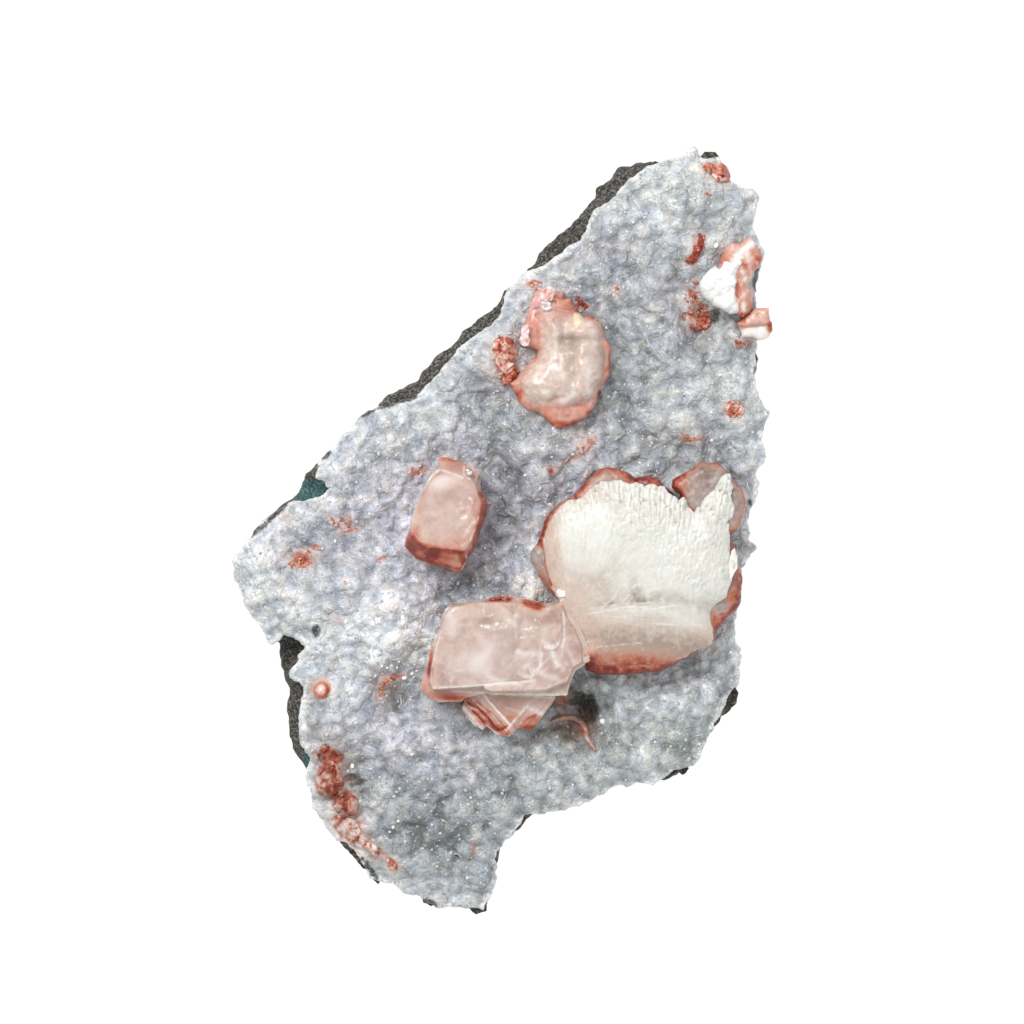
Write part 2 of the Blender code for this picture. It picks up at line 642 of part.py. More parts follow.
def white_capped_crystal():
    """Pink blades at the crust's +X edge, with a lobed snow-white mass on them."""
    blade = crown(plate("white_capped_crystal", CAPPED_BLADE, 18, 27.6), [(29.0, 0.9)])
    lumps = [
        snow_lump(41.6, 48.0, 29.6, 3.4, 3.6),
        snow_lump(44.0, 50.6, 30.2, 2.9, 3.2),
        snow_lump(43.9, 45.6, 29.4, 3.4, 3.2),
    ]
    return fused("white_capped_crystal", [blade, *lumps])


def edge_crystal():
    """The small blocky crystal that stands out over the +X edge."""
    body = crown(plate("edge_crystal", EDGE_PLATE, 19, 26.2), [(27.4, 0.86)])
    ledge = plate("ledge", [(47.4, 37.8), (51.4, 37.9), (51.0, 40.0), (47.8, 40.2)], 21, 28.4)
    return fused("edge_crystal", [body, ledge])


def tablet(x, y, length, width, heading, lean):
    """A small coffin-shaped crystal standing in the crust."""
    long, wide = length / 2, width / 2
    outline = [
        (-wide, -long * 0.4), (-wide * 0.4, -long), (wide * 0.4, -long), (wide, -long * 0.4),
        (wide, long * 0.4), (wide * 0.4, long), (-wide * 0.4, long), (-wide, long * 0.4),
    ]
    obj = plate("tablet", outline, -TABLET_THICKNESS / 2, TABLET_THICKNESS / 2)
    place = Matrix.Translation(Vector((x, y, ground(x, y) + TABLET_ROOT * length)) * MM)
    turn = Matrix.Rotation(math.radians(heading), 4, "Z")
    fall = Matrix.Rotation(math.radians(90 - lean), 4, "X")
    return turned(obj, place @ turn @ fall)


def tablet_group(name, tablets):
    """A group of small crystals grown into each other."""
    return fused(name, [tablet(*values) for values in tablets])


def place_node(obj, material, nodes):
    """Give a finished piece its material and put it with the specimen's pieces."""
    obj.data.materials.clear()
    obj.data.materials.append(material)
    bpy.context.scene.collection.objects.unlink(obj)
    nodes.objects.link(obj)


def stood(obj, *neighbours):
    """Cut a crystal so that it stands on or beside these pieces with a small gap."""
    for neighbour in neighbours:
        cutter = grown(neighbour, GAP, "cutter")
        obj = boolean(obj, cutter, "DIFFERENCE")
        bpy.data.objects.remove(cutter, do_unlink=True)
    return main_body(obj)


def main():
    """Build the specimen: the slab first, then each crystal cut to stand on it."""
    start_clean()
    nodes = collection("apophyllite_specimen")
    finishes = {name: finish(name) for name in COLOURS}

    basalt = basalt_matrix()
    crust = stood(chalcedony_crust(), basalt)
    block = stood(block_crystal(), crust)
    capped = stood(white_capped_crystal(), crust)
    fan = stood(fan_crystal(), crust)
    pieces = [
        (basalt, "basalt"),
        (crust, "chalcedony"),
        (block, "peach"),
        (capped, "white"),
        (fan, "cream"),
        (stood(sheaf_crystal(), block, crust), "white"),
        (stood(tabular_crystal(), crust), "peach"),
        (stood(edge_crystal(), crust, capped), "peach"),
        (stood(tablet_group("red_tuft_crystal", RED_TUFT), crust, fan), "red"),
        (stood(tablet_group("red_cluster", RED_CLUSTER), crust, capped), "red"),
        (stood(tablet_group("red_crescent", RED_CRESCENT), crust), "red"),
        (stood(tablet_group("corner_crystal", CORNER_CRYSTAL), crust), "red"),
        (stood(tablet_group("ring_crystal", RING_CRYSTAL), crust), "peach"),
        (stood(tablet_group("red_ridge", RED_RIDGE), crust), "red"),
        (stood(tablet_group("cave_rim_crystal", CAVE_RIM), crust, block), "red"),
    ]
    for obj, colour in pieces:
        place_node(obj, finishes[colour], nodes)


main()
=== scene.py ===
"""Looks of the apophyllite specimen: druse crust, broken basalt and crystals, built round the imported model.

Lengths are millimetres in the model's frame until MM turns them into metres. X runs across the slab, Y along
it and Z up, towards the camera. Patches are rows of (x, y, reach along x, reach along y, strength), strokes
are rows of (points, width, strength), and the last number given to drift is always its seed.
"""

import math

import bmesh
import bpy
import numpy as np
from mathutils import Matrix, Vector, geometry
from mathutils.bvhtree import BVHTree


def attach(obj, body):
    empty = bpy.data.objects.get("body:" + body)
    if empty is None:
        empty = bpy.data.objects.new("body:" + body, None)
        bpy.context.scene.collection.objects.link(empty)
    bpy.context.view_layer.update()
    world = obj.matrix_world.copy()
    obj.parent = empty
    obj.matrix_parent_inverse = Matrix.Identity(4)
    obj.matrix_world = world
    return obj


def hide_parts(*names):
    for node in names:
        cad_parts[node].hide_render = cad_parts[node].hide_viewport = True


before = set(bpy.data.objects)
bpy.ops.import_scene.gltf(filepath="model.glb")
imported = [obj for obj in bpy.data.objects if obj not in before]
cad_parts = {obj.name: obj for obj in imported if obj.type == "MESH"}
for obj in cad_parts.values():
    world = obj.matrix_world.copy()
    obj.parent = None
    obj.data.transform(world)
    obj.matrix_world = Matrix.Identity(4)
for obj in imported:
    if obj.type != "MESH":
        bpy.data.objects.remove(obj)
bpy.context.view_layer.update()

MM = 0.001

# The camera, straight above the slab.
CAMERA_X = 2.05
CAMERA_Y = 3.7
CAMERA_HEIGHT = 1023.4
CAMERA_LENS = 180
CAMERA_SENSOR = 36

# Lamps: name, place, size and power in watts.
LAMPS = [
    ("key", (-300, 340, 620), 300, 3.4),
    ("fill", (520, -260, 420), 400, 0.8),
    ("sparkle", (-60, 420, 560), 50, 0.9),
]
LAMP_AIM = (0, 0, 20)
SURROUND_STRENGTH = 0.58
FLOOR_REACH = 3000

# Maps: square cells that cover the slab, each map one value to a cell.
CELL = 0.2
COARSE = 1.0
MAP_LEFT = -56.0
MAP_NEAR = -78.0
MAP_COLUMNS = 561
MAP_ROWS = 786

CRUST_LOWEST = 17  # tops of the solid below this are its sides
CAVE_DEPTH = 0.8  # how much deeper the cave is than in the solid
CRUST_STEP = 0.36  # between the points of the crust's surface
CRUST_WALL = 7.5  # how far its sides reach down
CRUST_WALL_ROWS = 9
CRUST_RAGGED = 0.42
CRUST_BULGE = 0.25  # how far the sides stand out, before they draw in

KNOT_SEED = 300  # the first seed of each kind of piece that comes in rows
FROST_SEED = 400
LOOSE_SEED = 220
SLIVER_SEED = 202

QUARTZ_TRIES = 4200  # places tried for the tiny quartz points, most of them on the crust
BASALT_VOXEL = 0.9

CRUST_OUTLINE = [
    (37.5, 75), (39.5, 73), (42.5, 73), (44.5, 69), (50, 65), (49, 59.5), (51, 54.5), (49.5, 50),
    (49.5, 28.5), (52, 22.5), (50.5, 18.5), (51.5, 14.5), (49.5, 11.5), (50, 8.5), (47.5, -0.5), (49, -3.5),
    (46.5, -7.5), (45.5, -16), (45.5, -21.5), (46.5, -23), (46, -30), (43.5, -33.5), (37.5, -46), (31.5, -48),
    (29.5, -49.5), (23, -49.5), (17.5, -53), (8.5, -55.5), (4.5, -56), (-1, -63), (-1.5, -71), (-3.5, -74.5),
    (-12.5, -74), (-14.5, -72.5), (-25.5, -68), (-27.5, -64), (-31.5, -61), (-36, -55.5), (-38.5, -48.5),
    (-37, -44), (-39, -41.5), (-39, -34.5), (-38.5, -30.5), (-41, -28.5), (-39.5, -24), (-37, -22),
    (-42, -20), (-45, -22), (-50, -14), (-52.5, -9), (-52.5, -5.5), (-46, 2), (-41, 5.5), (-35, 6.5),
    (-33, 8.5), (-36, 10.5), (-35.5, 14), (-26, 23.5), (-17, 25.5), (-8.5, 35.5), (-0.5, 41.5), (1, 46),
    (3.5, 49.5), (9, 52), (15.5, 56.5), (17.5, 61.5), (28, 71), (35.5, 73.5),
]

# Round druse balls: (how many, smallest radius, largest radius, share of the radius that stands up).
BALLS = [(150, 2.8, 4.6, 0.34), (520, 1.5, 2.7, 0.42), (1500, 0.75, 1.4, 0.45)]
BALL_WARP = 0.9  # how far the balls are pushed out of round
BALL_GAP = 0.62  # how near two balls of a size may come, as a share of their radii
BALL_LIFT = 0.16
DRUSE_LOW = (-53, -75)  # the corners of the area where druse is scattered
DRUSE_HIGH = (53, 76)
WISPS = 1500  # fine curved blades on the druse
WISP_POINTS = 18  # six steps along each, three points at each step
QUARTZ_CORNERS = 8  # six round each point's waist, its tip and its foot
SHARD_POINTS = 32  # four rings of eight

# Patches and strokes of the crust.
# Lighter and darker places of the crust: partly its own tone, partly painted light and shade. Among them are
# shadows cast beside the crystals, a darker -Y part that slopes away from the key lamp, and a lighter -X +Y
# side that faces it.
TONE_AND_SHADOW_PATCHES = [
    (15.3, -27.5, 4.5, 3, -0.6), (14.3, -39.8, 5, 3.5, -0.3), (47.3, -4.3, 2.4, 4.5, -0.5),
    (-16.7, -5.7, 4, 4, -0.2), (-22, 20, 14, 9, 0.24), (-16, -22, 11, 13, 0.42), (-45, -10, 8, 12, 0.26),
    (33, 60, 7, 8, 0.12), (26, 44, 5, 12, -0.06), (37, 24, 9, 7, 0.1), (-19, -38, 12, 5, 0.15),
    (1, 2, 6, 14, -0.42), (-9, -12, 7, 5, -0.5), (24, 22, 6, 16, -0.36), (17, 55, 6, 6, -0.32),
    (-22, -33, 6, 4, -0.55), (3, 15, 8, 8, -0.12), (-16, -60, 9, 9, -0.55), (18, -38, 9, 6, -0.35),
    (37, -31, 6, 5, -0.15), (-30, -50, 4, 9, -0.15), (38, 36, 6, 5, -0.35), (0, -46, 8, 7, -0.22),
    (-33, -60, 5, 5, 0.55), (40, 16, 6, 6, -0.3), (-36, 0, 8, 6, -0.12), (-21.4, -13.5, 4, 4, 0.26),
    (6.7, -11.5, 5, 3, 0.7), (6.7, -3, 4, 5, 0.5), (-26, -4.1, 7, 4, 0.38), (-29, 6, 5, 4, 0.2),
    (-26, 14.6, 6, 4, 0.3), (6.7, 14.6, 4, 4, 0.45), (-30.7, -32.2, 4, 4, 0.5), (-21.4, -32.2, 4, 4, -0.6),
    (-2.6, -41.5, 5, 4, 0.5), (-30.7, -60.3, 4, 4, 0.4), (-2.6, -69.6, 4, 4, -0.55), (39, 14.6, 6, 4, -0.35),
    (16.1, 52, 4, 4, 0.45), (25, 42.7, 4, 4, 0.15), (25.4, 14.6, 4, 4, 0.15), (-2.6, -60, 5, 4, 0.16),
    (-49, -13.5, 3, 4, 0.5), (44.2, 61.4, 4, 4, 0.2), (12, 6, 4, 4, -0.3), (15, 15, 4, 3, -0.25),
    (26, -32.2, 6, 3, 0.4), (36, -32.2, 4, 3, 0.3), (45, -31, 3, 3, -0.3), (34.8, -41.5, 4, 4, -0.35),
    (-2.6, 24, 4, 4, -0.3), (-40, -4, 5, 4, 0.2), (-34, -22, 9, 5, 0.35), (-21.4, -22, 4, 4, 0.3),
    (25.4, 33.3, 4, 4, 0.25),
]
LAVENDER_PATCHES = [
    (-20, 0, 26, 16, 0.8), (0, 8, 16, 14, 0.5), (-25, -40, 14, 8, 0.5), (-12, -44, 12, 10, 0.6),
    (24, 52, 10, 12, 0.35), (36, 34, 8, 10, 0.4),
]
CRUST_STAINS = [
    (-39.5, -4.9, 3.6, 1.6, 0.3), (-38.7, -5.9, 1.5, 1, 0.62), (-30.5, 1.4, 2.4, 1.8, 0.22),
    (-23.5, -5.5, 1.2, 0.8, 0.35), (-41.8, 2.9, 1.2, 0.5, 0.25), (-18.2, -4.3, 1.2, 0.6, 0.22),
    (-16.3, 11.5, 2, 0.9, 0.22), (-21.5, 9, 0.7, 0.5, 0.3), (45.1, 23.6, 1.7, 1.5, 0.42),
    (37, 17.9, 2.4, 0.8, 0.3), (15.9, 16.2, 1.9, 1.9, 0.3), (14.3, 19.1, 2.6, 2.4, 0.12),
    (9.7, 11.9, 1.6, 0.9, 0.3), (22.3, 46.8, 1, 1.4, 0.22), (5.9, 47.8, 1.7, 0.8, 0.35),
    (37.5, 44.5, 2.3, 4.6, 0.3), (38.7, 41.1, 2.2, 2.4, 0.34), (38.1, 55.4, 1.2, 2.8, 0.35),
    (36.8, 52.5, 1.5, 0.9, 0.35), (41.8, 70.4, 2.2, 2, 0.4), (40.3, 65.7, 0.9, 0.9, 0.35),
    (0.5, 33, 3.2, 4.6, 0.3), (-22.5, -30.2, 2.6, 2.6, 0.28), (-35.2, -30.8, 2.2, 2, 0.35),
    (-33.6, -46.2, 3.2, 4.4, 0.48), (-30.9, -53.4, 2.2, 3, 0.45), (-29.2, -59.1, 3.4, 3.2, 0.45),
    (-24.9, -63.2, 2.2, 1.6, 0.45), (-21.4, -65.5, 1.6, 1.2, 0.45), (14.9, -38.4, 3.6, 2.4, 0.3),
    (12, -33.3, 1.6, 2.4, 0.35), (47.1, 36.9, 1.8, 0.8, 0.35), (-32.1, -17.6, 0.9, 1.6, 0.22),
    (-5.4, 13.1, 0.5, 0.4, 0.5), (-5.4, -62.4, 0.8, 1.6, 0.22), (30.9, 37.2, 0.8, 0.8, 0.1),
    (17.6, 54.8, 6, 3, 0.06),
]
CRUST_STROKES = [
    ([(-33.5, 2.9), (-32.5, 1.6), (-31.4, 0.1), (-30.5, -0.2), (-27.8, 0.6)], 0.2, 0.75),
    ([(-30.8, 2.1), (-30.2, 1.2)], 0.22, 0.7), ([(-29.5, 2.8), (-29.4, 1.8)], 0.2, 0.6),
    ([(-31.8, -0.7), (-30.8, -1.3)], 0.2, 0.55), ([(-41.5, -6.5), (-40, -5.4), (-39, -4.6)], 0.25, 0.6),
    ([(-39, -4.9), (-36.8, -3.6), (-36.3, -2.7)], 0.25, 0.55), ([(-36.5, -2.7), (-35, -3.4)], 0.22, 0.6),
    ([(-40.9, -6.7), (-38.5, -7.1), (-37, -6.1)], 0.3, 0.6), ([(-24.3, -5.9), (-22.8, -5.1)], 0.3, 0.5),
    ([(-30.5, -9.8), (-30.1, -10.1)], 0.18, 0.9), ([(-18.3, 11.8), (-15.1, 12.3)], 0.3, 0.5),
    ([(-18, 10.5), (-16.5, 11.1), (-14.3, 11.9)], 0.25, 0.45),
    ([(9.8, 11.1), (11, 12.3), (12, 13.3)], 0.2, 0.45), ([(21.5, 45.6), (22.3, 47), (23.1, 48.2)], 0.2, 0.4),
    ([(5, 48.2), (6.1, 48.8), (7.7, 48.4)], 0.3, 0.6),
    ([(35, 19.1), (36.4, 17.6), (38.5, 17.7), (39.7, 18.5)], 0.28, 0.5),
    ([(13, 13.7), (15.3, 14.6), (17.3, 16.4), (18.4, 18.3)], 0.3, 0.5),
    ([(-23.9, -33), (-23.5, -31), (-22.5, -29.4), (-20.6, -28.5), (-18.8, -28.1)], 0.3, 0.6),
    ([(45.3, 36.7), (46.9, 36.5), (48.5, 37.2)], 0.25, 0.6),
    ([(39.5, 57.5), (39.1, 55.6), (38.1, 54)], 0.35, 0.8),
    ([(38.1, 55.8), (37.1, 53.6), (36, 52.5)], 0.3, 0.7),
    ([(12.6, -36.7), (14.7, -37.2), (16.5, -39), (17.3, -41.5)], 0.35, 0.5),
    ([(-5.8, -61.4), (-5, -63.6)], 0.2, 0.35),
]
# Dark places of the crust: dark rock that shows through it and, in the first three rows, the cave. The cave
# is painted dark, partly as the shade inside it and partly as its dark olive inside, as well as being made
# deeper.
CRUST_DARK = [
    (13, -33, 3.8, 3, 1), (17.3, -35.3, 1.8, 2.6, 0.9), (10, -31, 2, 2, 0.8), (-29, -17.7, 1.2, 1.1, 0.42),
    (-29.3, -48.9, 1.9, 1.9, 0.5), (41.6, 42.2, 1.4, 1.6, 1.1), (-36.2, -19.5, 0.9, 1.6, 1),
    (40.9, 73.7, 1.9, 0.9, 1), (49.8, 48.9, 0.9, 3.6, 1), (49.6, 31.4, 0.7, 1.9, 0.7),
    (48.5, 5.7, 0.8, 1.4, 0.7), (45.3, -33, 1.2, 2.6, 0.9), (-27.3, -64.2, 0.5, 0.6, 1),
    (-26.4, -65.5, 0.6, 0.9, 1), (-25.4, -67, 0.6, 0.9, 1), (-24.4, -68.2, 0.6, 0.8, 1),
    (-14.7, -72.9, 1.8, 0.6, 1), (-13.6, -73.7, 1.2, 0.6, 1), (-28.2, -48.2, 2, 1.1, 0.6),
    (-26, -49.3, 2, 1.2, 0.4),
]
CAVE_DARK = CRUST_DARK[:3]
# Where the slab shows as a thin dark line along the crust's edge.
ROCK_EDGES = [
    ([(-48.9, -0.9), (-47.7, 0.1), (-46.4, 1), (-45.3, 2.3), (-44, 3.5), (-42.4, 5)], 0.55, 1),
    ([(-33.4, 15.4), (-34.6, 14.2), (-35.4, 13.3), (-36.2, 12.3)], 0.55, 1),
    ([(-27.2, 22.6), (-24.7, 23.7), (-21.9, 24.7), (-19.2, 25.4), (-16.9, 26.2)], 0.6, 1),
]
BROAD_LIP = [
    (-35.8, -52.5, 2.5, 6, 0.9), (-32.5, -61.2, 3, 5, 1.2), (-25.6, -68.1, 4, 3, 1.1),
    (-11, -72.5, 9, 2.5, 1.3), (-38.7, -36.9, 2, 6, 0.6), (-45.1, -18.3, 4, 3, 0.5), (11.4, -54, 7, 2.5, 0.5),
    (45.5, -21.3, 2.5, 8, 0.6),
]
ROCK_SLIVERS = [
    [
        (-29.4, -58), (-24.4, -64), (-21.9, -67.3), (-24.3, -69.4), (-25.8, -67.9), (-28.8, -64.2),
        (-31.7, -60.6),
    ],
    [(-16.3, -69.8), (-12.4, -71), (-12.4, -73.7), (-13.9, -74.1), (-15.5, -73.3)],
    [(-7, -71), (-2.6, -71), (-3, -74.7), (-5, -75.1), (-6.5, -73.8)],
    [(32.5, -43.6), (35.2, -43.4), (36.8, -46.6), (35.4, -47.6), (34, -46.6)],
    [(36, -42.6), (37.4, -40.4), (39.7, -41.3), (39.5, -42.9), (38.3, -44.3)],
    [
        (38.9, 72.4), (39.2, 73.7), (39.8, 74.3), (42, 74.4), (42.5, 73.8), (42.9, 72.7), (41.7, 71.5),
        (39.8, 71.4),
    ],
    [
        (42.6, -31.5), (45.8, -30), (46.3, -31.9), (45.9, -33.8), (44.4, -35.3), (43.3, -36.5), (42.2, -35.6),
        (42.4, -33.5),
    ],
]
TEAL_PATCHES = [(-37.4, 7.6, 5, 2.6, 1), (-37.8, -45.2, 1.8, 3.2, 0.9), (-26.6, -64.8, 1.2, 1, 0.9)]
GREEN_PATCHES = [
    (30, -40, 18, 9, 0.8), (8, -46, 16, 9, 0.4), (-14, -62, 14, 10, 0.6), (45, 15, 7, 24, 0.4),
    (30, 66, 9, 8, 0.4), (-28, -50, 6, 8, 0.6),
]


def map_positions():
    """X and Y of every cell."""
    across = MAP_LEFT + CELL * np.arange(MAP_COLUMNS)
    along = MAP_NEAR + CELL * np.arange(MAP_ROWS)
    return np.meshgrid(across, along)


MAP_X, MAP_Y = map_positions()


def read_map(values, x, y, cell=CELL):
    """A map's values at points that lie between its cells."""
    rows, columns = values.shape
    across = np.clip((x - MAP_LEFT) / cell, 0, columns - 1.001)
    along = np.clip((y - MAP_NEAR) / cell, 0, rows - 1.001)
    i = across.astype(int)
    j = along.astype(int)
    a = across - i
    b = along - j
    near = values[j, i] * (1 - a) + values[j, i + 1] * a
    far = values[j + 1, i] * (1 - a) + values[j + 1, i + 1] * a
    return near * (1 - b) + far * b


def eased(value):
    """0 to 1, slow at both ends."""
    value = np.clip(value, 0, 1)
    return value * value * (3 - 2 * value)


def drift(x, y, size, seed):
    """Smooth random values from -1 to 1 that change over this many millimetres."""
    table = np.random.default_rng(seed).uniform(-1, 1, (256, 256))
    u = (x + 400) / size
    v = (y + 400) / size
    i = np.floor(u).astype(int)
    j = np.floor(v).astype(int)
    a = eased(u - i)
    b = eased(v - j)
    near = table[j % 256, i % 256] * (1 - a) + table[j % 256, (i + 1) % 256] * a
    far = table[(j + 1) % 256, i % 256] * (1 - a) + table[(j + 1) % 256, (i + 1) % 256] * a
    return near * (1 - b) + far * b


def drift_3d(x, y, z, size, seed):
    """The same for points in space."""
    level = np.floor(z / size)
    share = eased(z / size - level)
    shift = 37.7 * size
    low = drift(x + shift * level, y - shift * level, size, seed)
    high = drift(x + shift * (level + 1), y - shift * (level + 1), size, seed)
    return low * (1 - share) + high * share


def softened(values, reach, times=3):
    """A map blurred over this many cells each way."""
    for _ in range(times):
        for axis in (0, 1):
            margins = [(reach + 1, reach) if a == axis else (0, 0) for a in (0, 1)]
            padded = np.pad(values, margins, mode="edge")
            total = np.cumsum(padded, axis=axis)
            size = values.shape[axis]
            high = np.take(total, np.arange(2 * reach + 1, 2 * reach + 1 + size), axis=axis)
            low = np.take(total, np.arange(0, size), axis=axis)
            values = (high - low) / (2 * reach + 1)
    return values


def patches(x, y, rows):
    """Sum of round soft patches."""
    total = np.zeros_like(x)
    for cx, cy, reach_x, reach_y, strength in rows:
        total += strength * np.exp(-(((x - cx) / reach_x) ** 2) - ((y - cy) / reach_y) ** 2)
    return total


def is_inside(x, y, outline):
    """Whether points lie within an outline."""
    within = np.zeros(np.shape(x), bool)
    for (x0, y0), (x1, y1) in zip(outline, outline[1:] + outline[:1]):
        if y0 != y1:
            crossing = (x1 - x0) * (y - y0) / (y1 - y0) + x0
            within ^= ((y0 > y) != (y1 > y)) & (x < crossing)
    return within


def line_distance(x, y, line):
    """How far points are from an open line."""
    best = np.full(np.shape(x), np.inf)
    for (x0, y0), (x1, y1) in zip(line, line[1:]):
        dx = x1 - x0
        dy = y1 - y0
        along = np.clip(((x - x0) * dx + (y - y0) * dy) / (dx * dx + dy * dy), 0, 1)
        best = np.minimum(best, np.hypot(x - x0 - along * dx, y - y0 - along * dy))
    return best


def edge_distance(x, y, outline):
    """How far points are from an outline."""
    return line_distance(x, y, outline + outline[:1])


def strokes(x, y, rows):
    """Soft lines: (points, width, strength); the strongest at each place."""
    total = np.zeros(np.shape(x))
    for line, width, strength in rows:
        total = np.maximum(total, strength * np.exp(-((line_distance(x, y, line) / width) ** 2)))
    return total


def inset(x, y, outline):
    """How far points lie inside an outline; negative outside it."""
    return edge_distance(x, y, outline) * np.where(is_inside(x, y, outline), 1, -1)


def rise_from(deep, height, soft):
    """A swell that rises from an edge to its full height."""
    return height * (1 - np.exp(-np.maximum(deep, 0) / soft))


def rim(x, y, outline, reach):
    """1 at an outline and outside it, fading inwards over this many millimetres."""
    return np.exp(-np.maximum(inset(x, y, outline), 0) / reach)


def polar(x, y, root):
    """Distance and heading of points from a root; headings in degrees."""
    return np.hypot(x - root[0], y - root[1]), np.degrees(np.arctan2(y - root[1], x - root[0]))


def walked(line, step, closed=True):
    """Points at even steps along an outline, or along an open line."""
    points = []
    for (x0, y0), (x1, y1) in zip(line, line[1:] + line[:1] if closed else line[1:]):
        count = max(1, round(math.hypot(x1 - x0, y1 - y0) / step))
        for index in range(count):
            points.append((x0 + (x1 - x0) * index / count, y0 + (y1 - y0) * index / count))
    return points if closed else points + [line[-1]]


def ragged(outline, step, depth, seed):
    """An outline with a fine broken edge."""
    points = np.array(walked(outline, step))
    ahead = np.roll(points, -2, axis=0) - np.roll(points, 2, axis=0)
    normal = np.stack([ahead[:, 1], -ahead[:, 0]], axis=1)
    normal /= np.linalg.norm(normal, axis=1)[:, None]
    x, y = points.T
    bite = drift(x, y, 3.1, seed) + 0.7 * drift(x, y, 1.3, seed + 1) + 0.4 * drift(x, y, 0.6, seed + 2)
    moved = points + normal * (depth * bite)[:, None]
    return [(float(px), float(py)) for px, py in moved]


def mesh_piece(name, points, faces, smooth=True):
    """A mesh object from points in millimetres."""
    mesh = bpy.data.meshes.new(name)
    mesh.from_pydata([tuple(p) for p in np.asarray(points, float) * MM], [], faces)
    mesh.validate()
    mesh.update()
    if smooth:
        mesh.shade_smooth()
    obj = bpy.data.objects.new(name, mesh)
    bpy.context.scene.collection.objects.link(obj)
    return obj


def paint(obj, name, values):
    """Keep one number for each point of a piece, for its material."""
    layer = obj.data.attributes.new(name, "FLOAT", "POINT")
    layer.data.foreach_set("value", np.asarray(values, np.float32))


def tint(obj, name, shares):
    """The same, held between 0 and 1."""
    paint(obj, name, np.clip(shares, 0, 1))


def wear(obj, material, slot, *nodes):
    """Give a piece its material, put it on the slab and let it stand for its CAD nodes."""
    obj.data.materials.clear()
    obj.data.materials.append(material)
    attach(obj, "root")
    if nodes:
        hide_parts(*nodes)


# ---------------------------------------------------------------- shader helpers


def new_material(name):
    """A material, its nodes, its links and its Principled shader."""
    material = bpy.data.materials.new(name)
    material.use_nodes = True
    tree = material.node_tree
    return material, tree, tree.nodes["Principled BSDF"]


def node(tree, kind, **inputs):
    """A node with some of its inputs set or linked."""
    made = tree.nodes.new(kind)
    for key, value in inputs.items():
        numbered = key[0] == "i" and key[1:].isdigit()
        socket = made.inputs[int(key[1:]) if numbered else key.replace("_", " ")]
        if isinstance(value, bpy.types.NodeSocket):
            tree.links.new(value, socket)
        else:
            socket.default_value = value
    return made


def mask(tree, name, share=None):
    """One of a piece's painted numbers, or a share of it."""
    made = tree.nodes.new("ShaderNodeAttribute")
    made.attribute_name = name
    return times(tree, made.outputs["Fac"], share) if share else made.outputs["Fac"]


def place(tree):
    """The point's place on the slab, in metres."""
    return tree.nodes.new("ShaderNodeTexCoord").outputs["Object"]


def maths(tree, operation, first, second=0.0, clamp=False):
    """One step of arithmetic."""
    made = node(tree, "ShaderNodeMath", i0=first, i1=second)
    made.operation = operation
    made.use_clamp = clamp
    return made.outputs[0]


def plus(tree, first, second, clamp=False):
    """The sum of two values."""
    return maths(tree, "ADD", first, second, clamp)


def times(tree, first, second):
    """The product of two values."""
    return maths(tree, "MULTIPLY", first, second)


def blend(tree, share, first, second, kind="MIX"):
    """Two colours mixed."""
    made = tree.nodes.new("ShaderNodeMix")
    made.data_type = "RGBA"
    made.blend_type = kind
    made.clamp_factor = True
    for index, value in ((0, share), (6, first), (7, second)):
        if isinstance(value, bpy.types.NodeSocket):
            tree.links.new(value, made.inputs[index])
        elif index == 0:
            made.inputs[0].default_value = value
        else:
            made.inputs[index].default_value = (*value, 1.0)
    return made.outputs[2]


def ramp(tree, value, stops):
    """A colour ramp: stops of (place, colour)."""
    made = tree.nodes.new("ShaderNodeValToRGB")
    tree.links.new(value, made.inputs[0])
    elements = made.color_ramp.elements
    while len(elements) < len(stops):
        elements.new(0.5)
    for element, (where, colour) in zip(elements, stops):
        element.position = where
        element.color = (*colour, 1.0)
    return made.outputs[0]


def spread(tree, value, low, high, to_low=0.0, to_high=1.0):
    """A value stretched from one range to another and held there."""
    made = node(tree, "ShaderNodeMapRange", i0=value, i1=low, i2=high, i3=to_low, i4=to_high)
    made.clamp = True
    return made.outputs[0]


def cloud(tree, size, detail=3.0, rough=0.55, twist=0.0, where=None):
    """Noise whose patches are about this many millimetres across."""
    scale = 1 / (size * MM)
    made = node(tree, "ShaderNodeTexNoise", Scale=scale, Detail=detail, Roughness=rough, Distortion=twist)
    tree.links.new(where or place(tree), made.inputs["Vector"])
    return made.outputs["Fac"]


def cells(tree, size, feature="F1", metric="EUCLIDEAN", where=None, give="Distance"):
    """Cells about this many millimetres across."""
    made = tree.nodes.new("ShaderNodeTexVoronoi")
    made.feature = feature
    if feature != "DISTANCE_TO_EDGE":
        made.distance = metric
    made.inputs["Scale"].default_value = 1 / (size * MM)
    tree.links.new(where or place(tree), made.inputs["Vector"])
    return made.outputs[give]


def bumped(tree, shader, height, depth, strength=1.0):
    """Low relief on a material; depth in millimetres."""
    made = node(tree, "ShaderNodeBump", Height=height, Distance=depth * MM, Strength=strength)
    tree.links.new(made.outputs[0], shader.inputs["Normal"])


def warped(tree, size, push):
    """The point's place, pushed about by noise, both in millimetres."""
    noise = node(tree, "ShaderNodeTexNoise", Scale=1 / (size * MM), Detail=2.0)
    tree.links.new(place(tree), noise.inputs["Vector"])
    centred = node(tree, "ShaderNodeVectorMath", i0=noise.outputs["Color"], i1=(0.5, 0.5, 0.5))
    centred.operation = "SUBTRACT"
    scaled = node(tree, "ShaderNodeVectorMath", i0=centred.outputs[0])
    scaled.operation = "SCALE"
    scaled.inputs["Scale"].default_value = push * MM
    moved = node(tree, "ShaderNodeVectorMath", i0=place(tree), i1=scaled.outputs[0])
    moved.operation = "ADD"
    return moved.outputs[0]


# ---------------------------------------------------------------- the crust


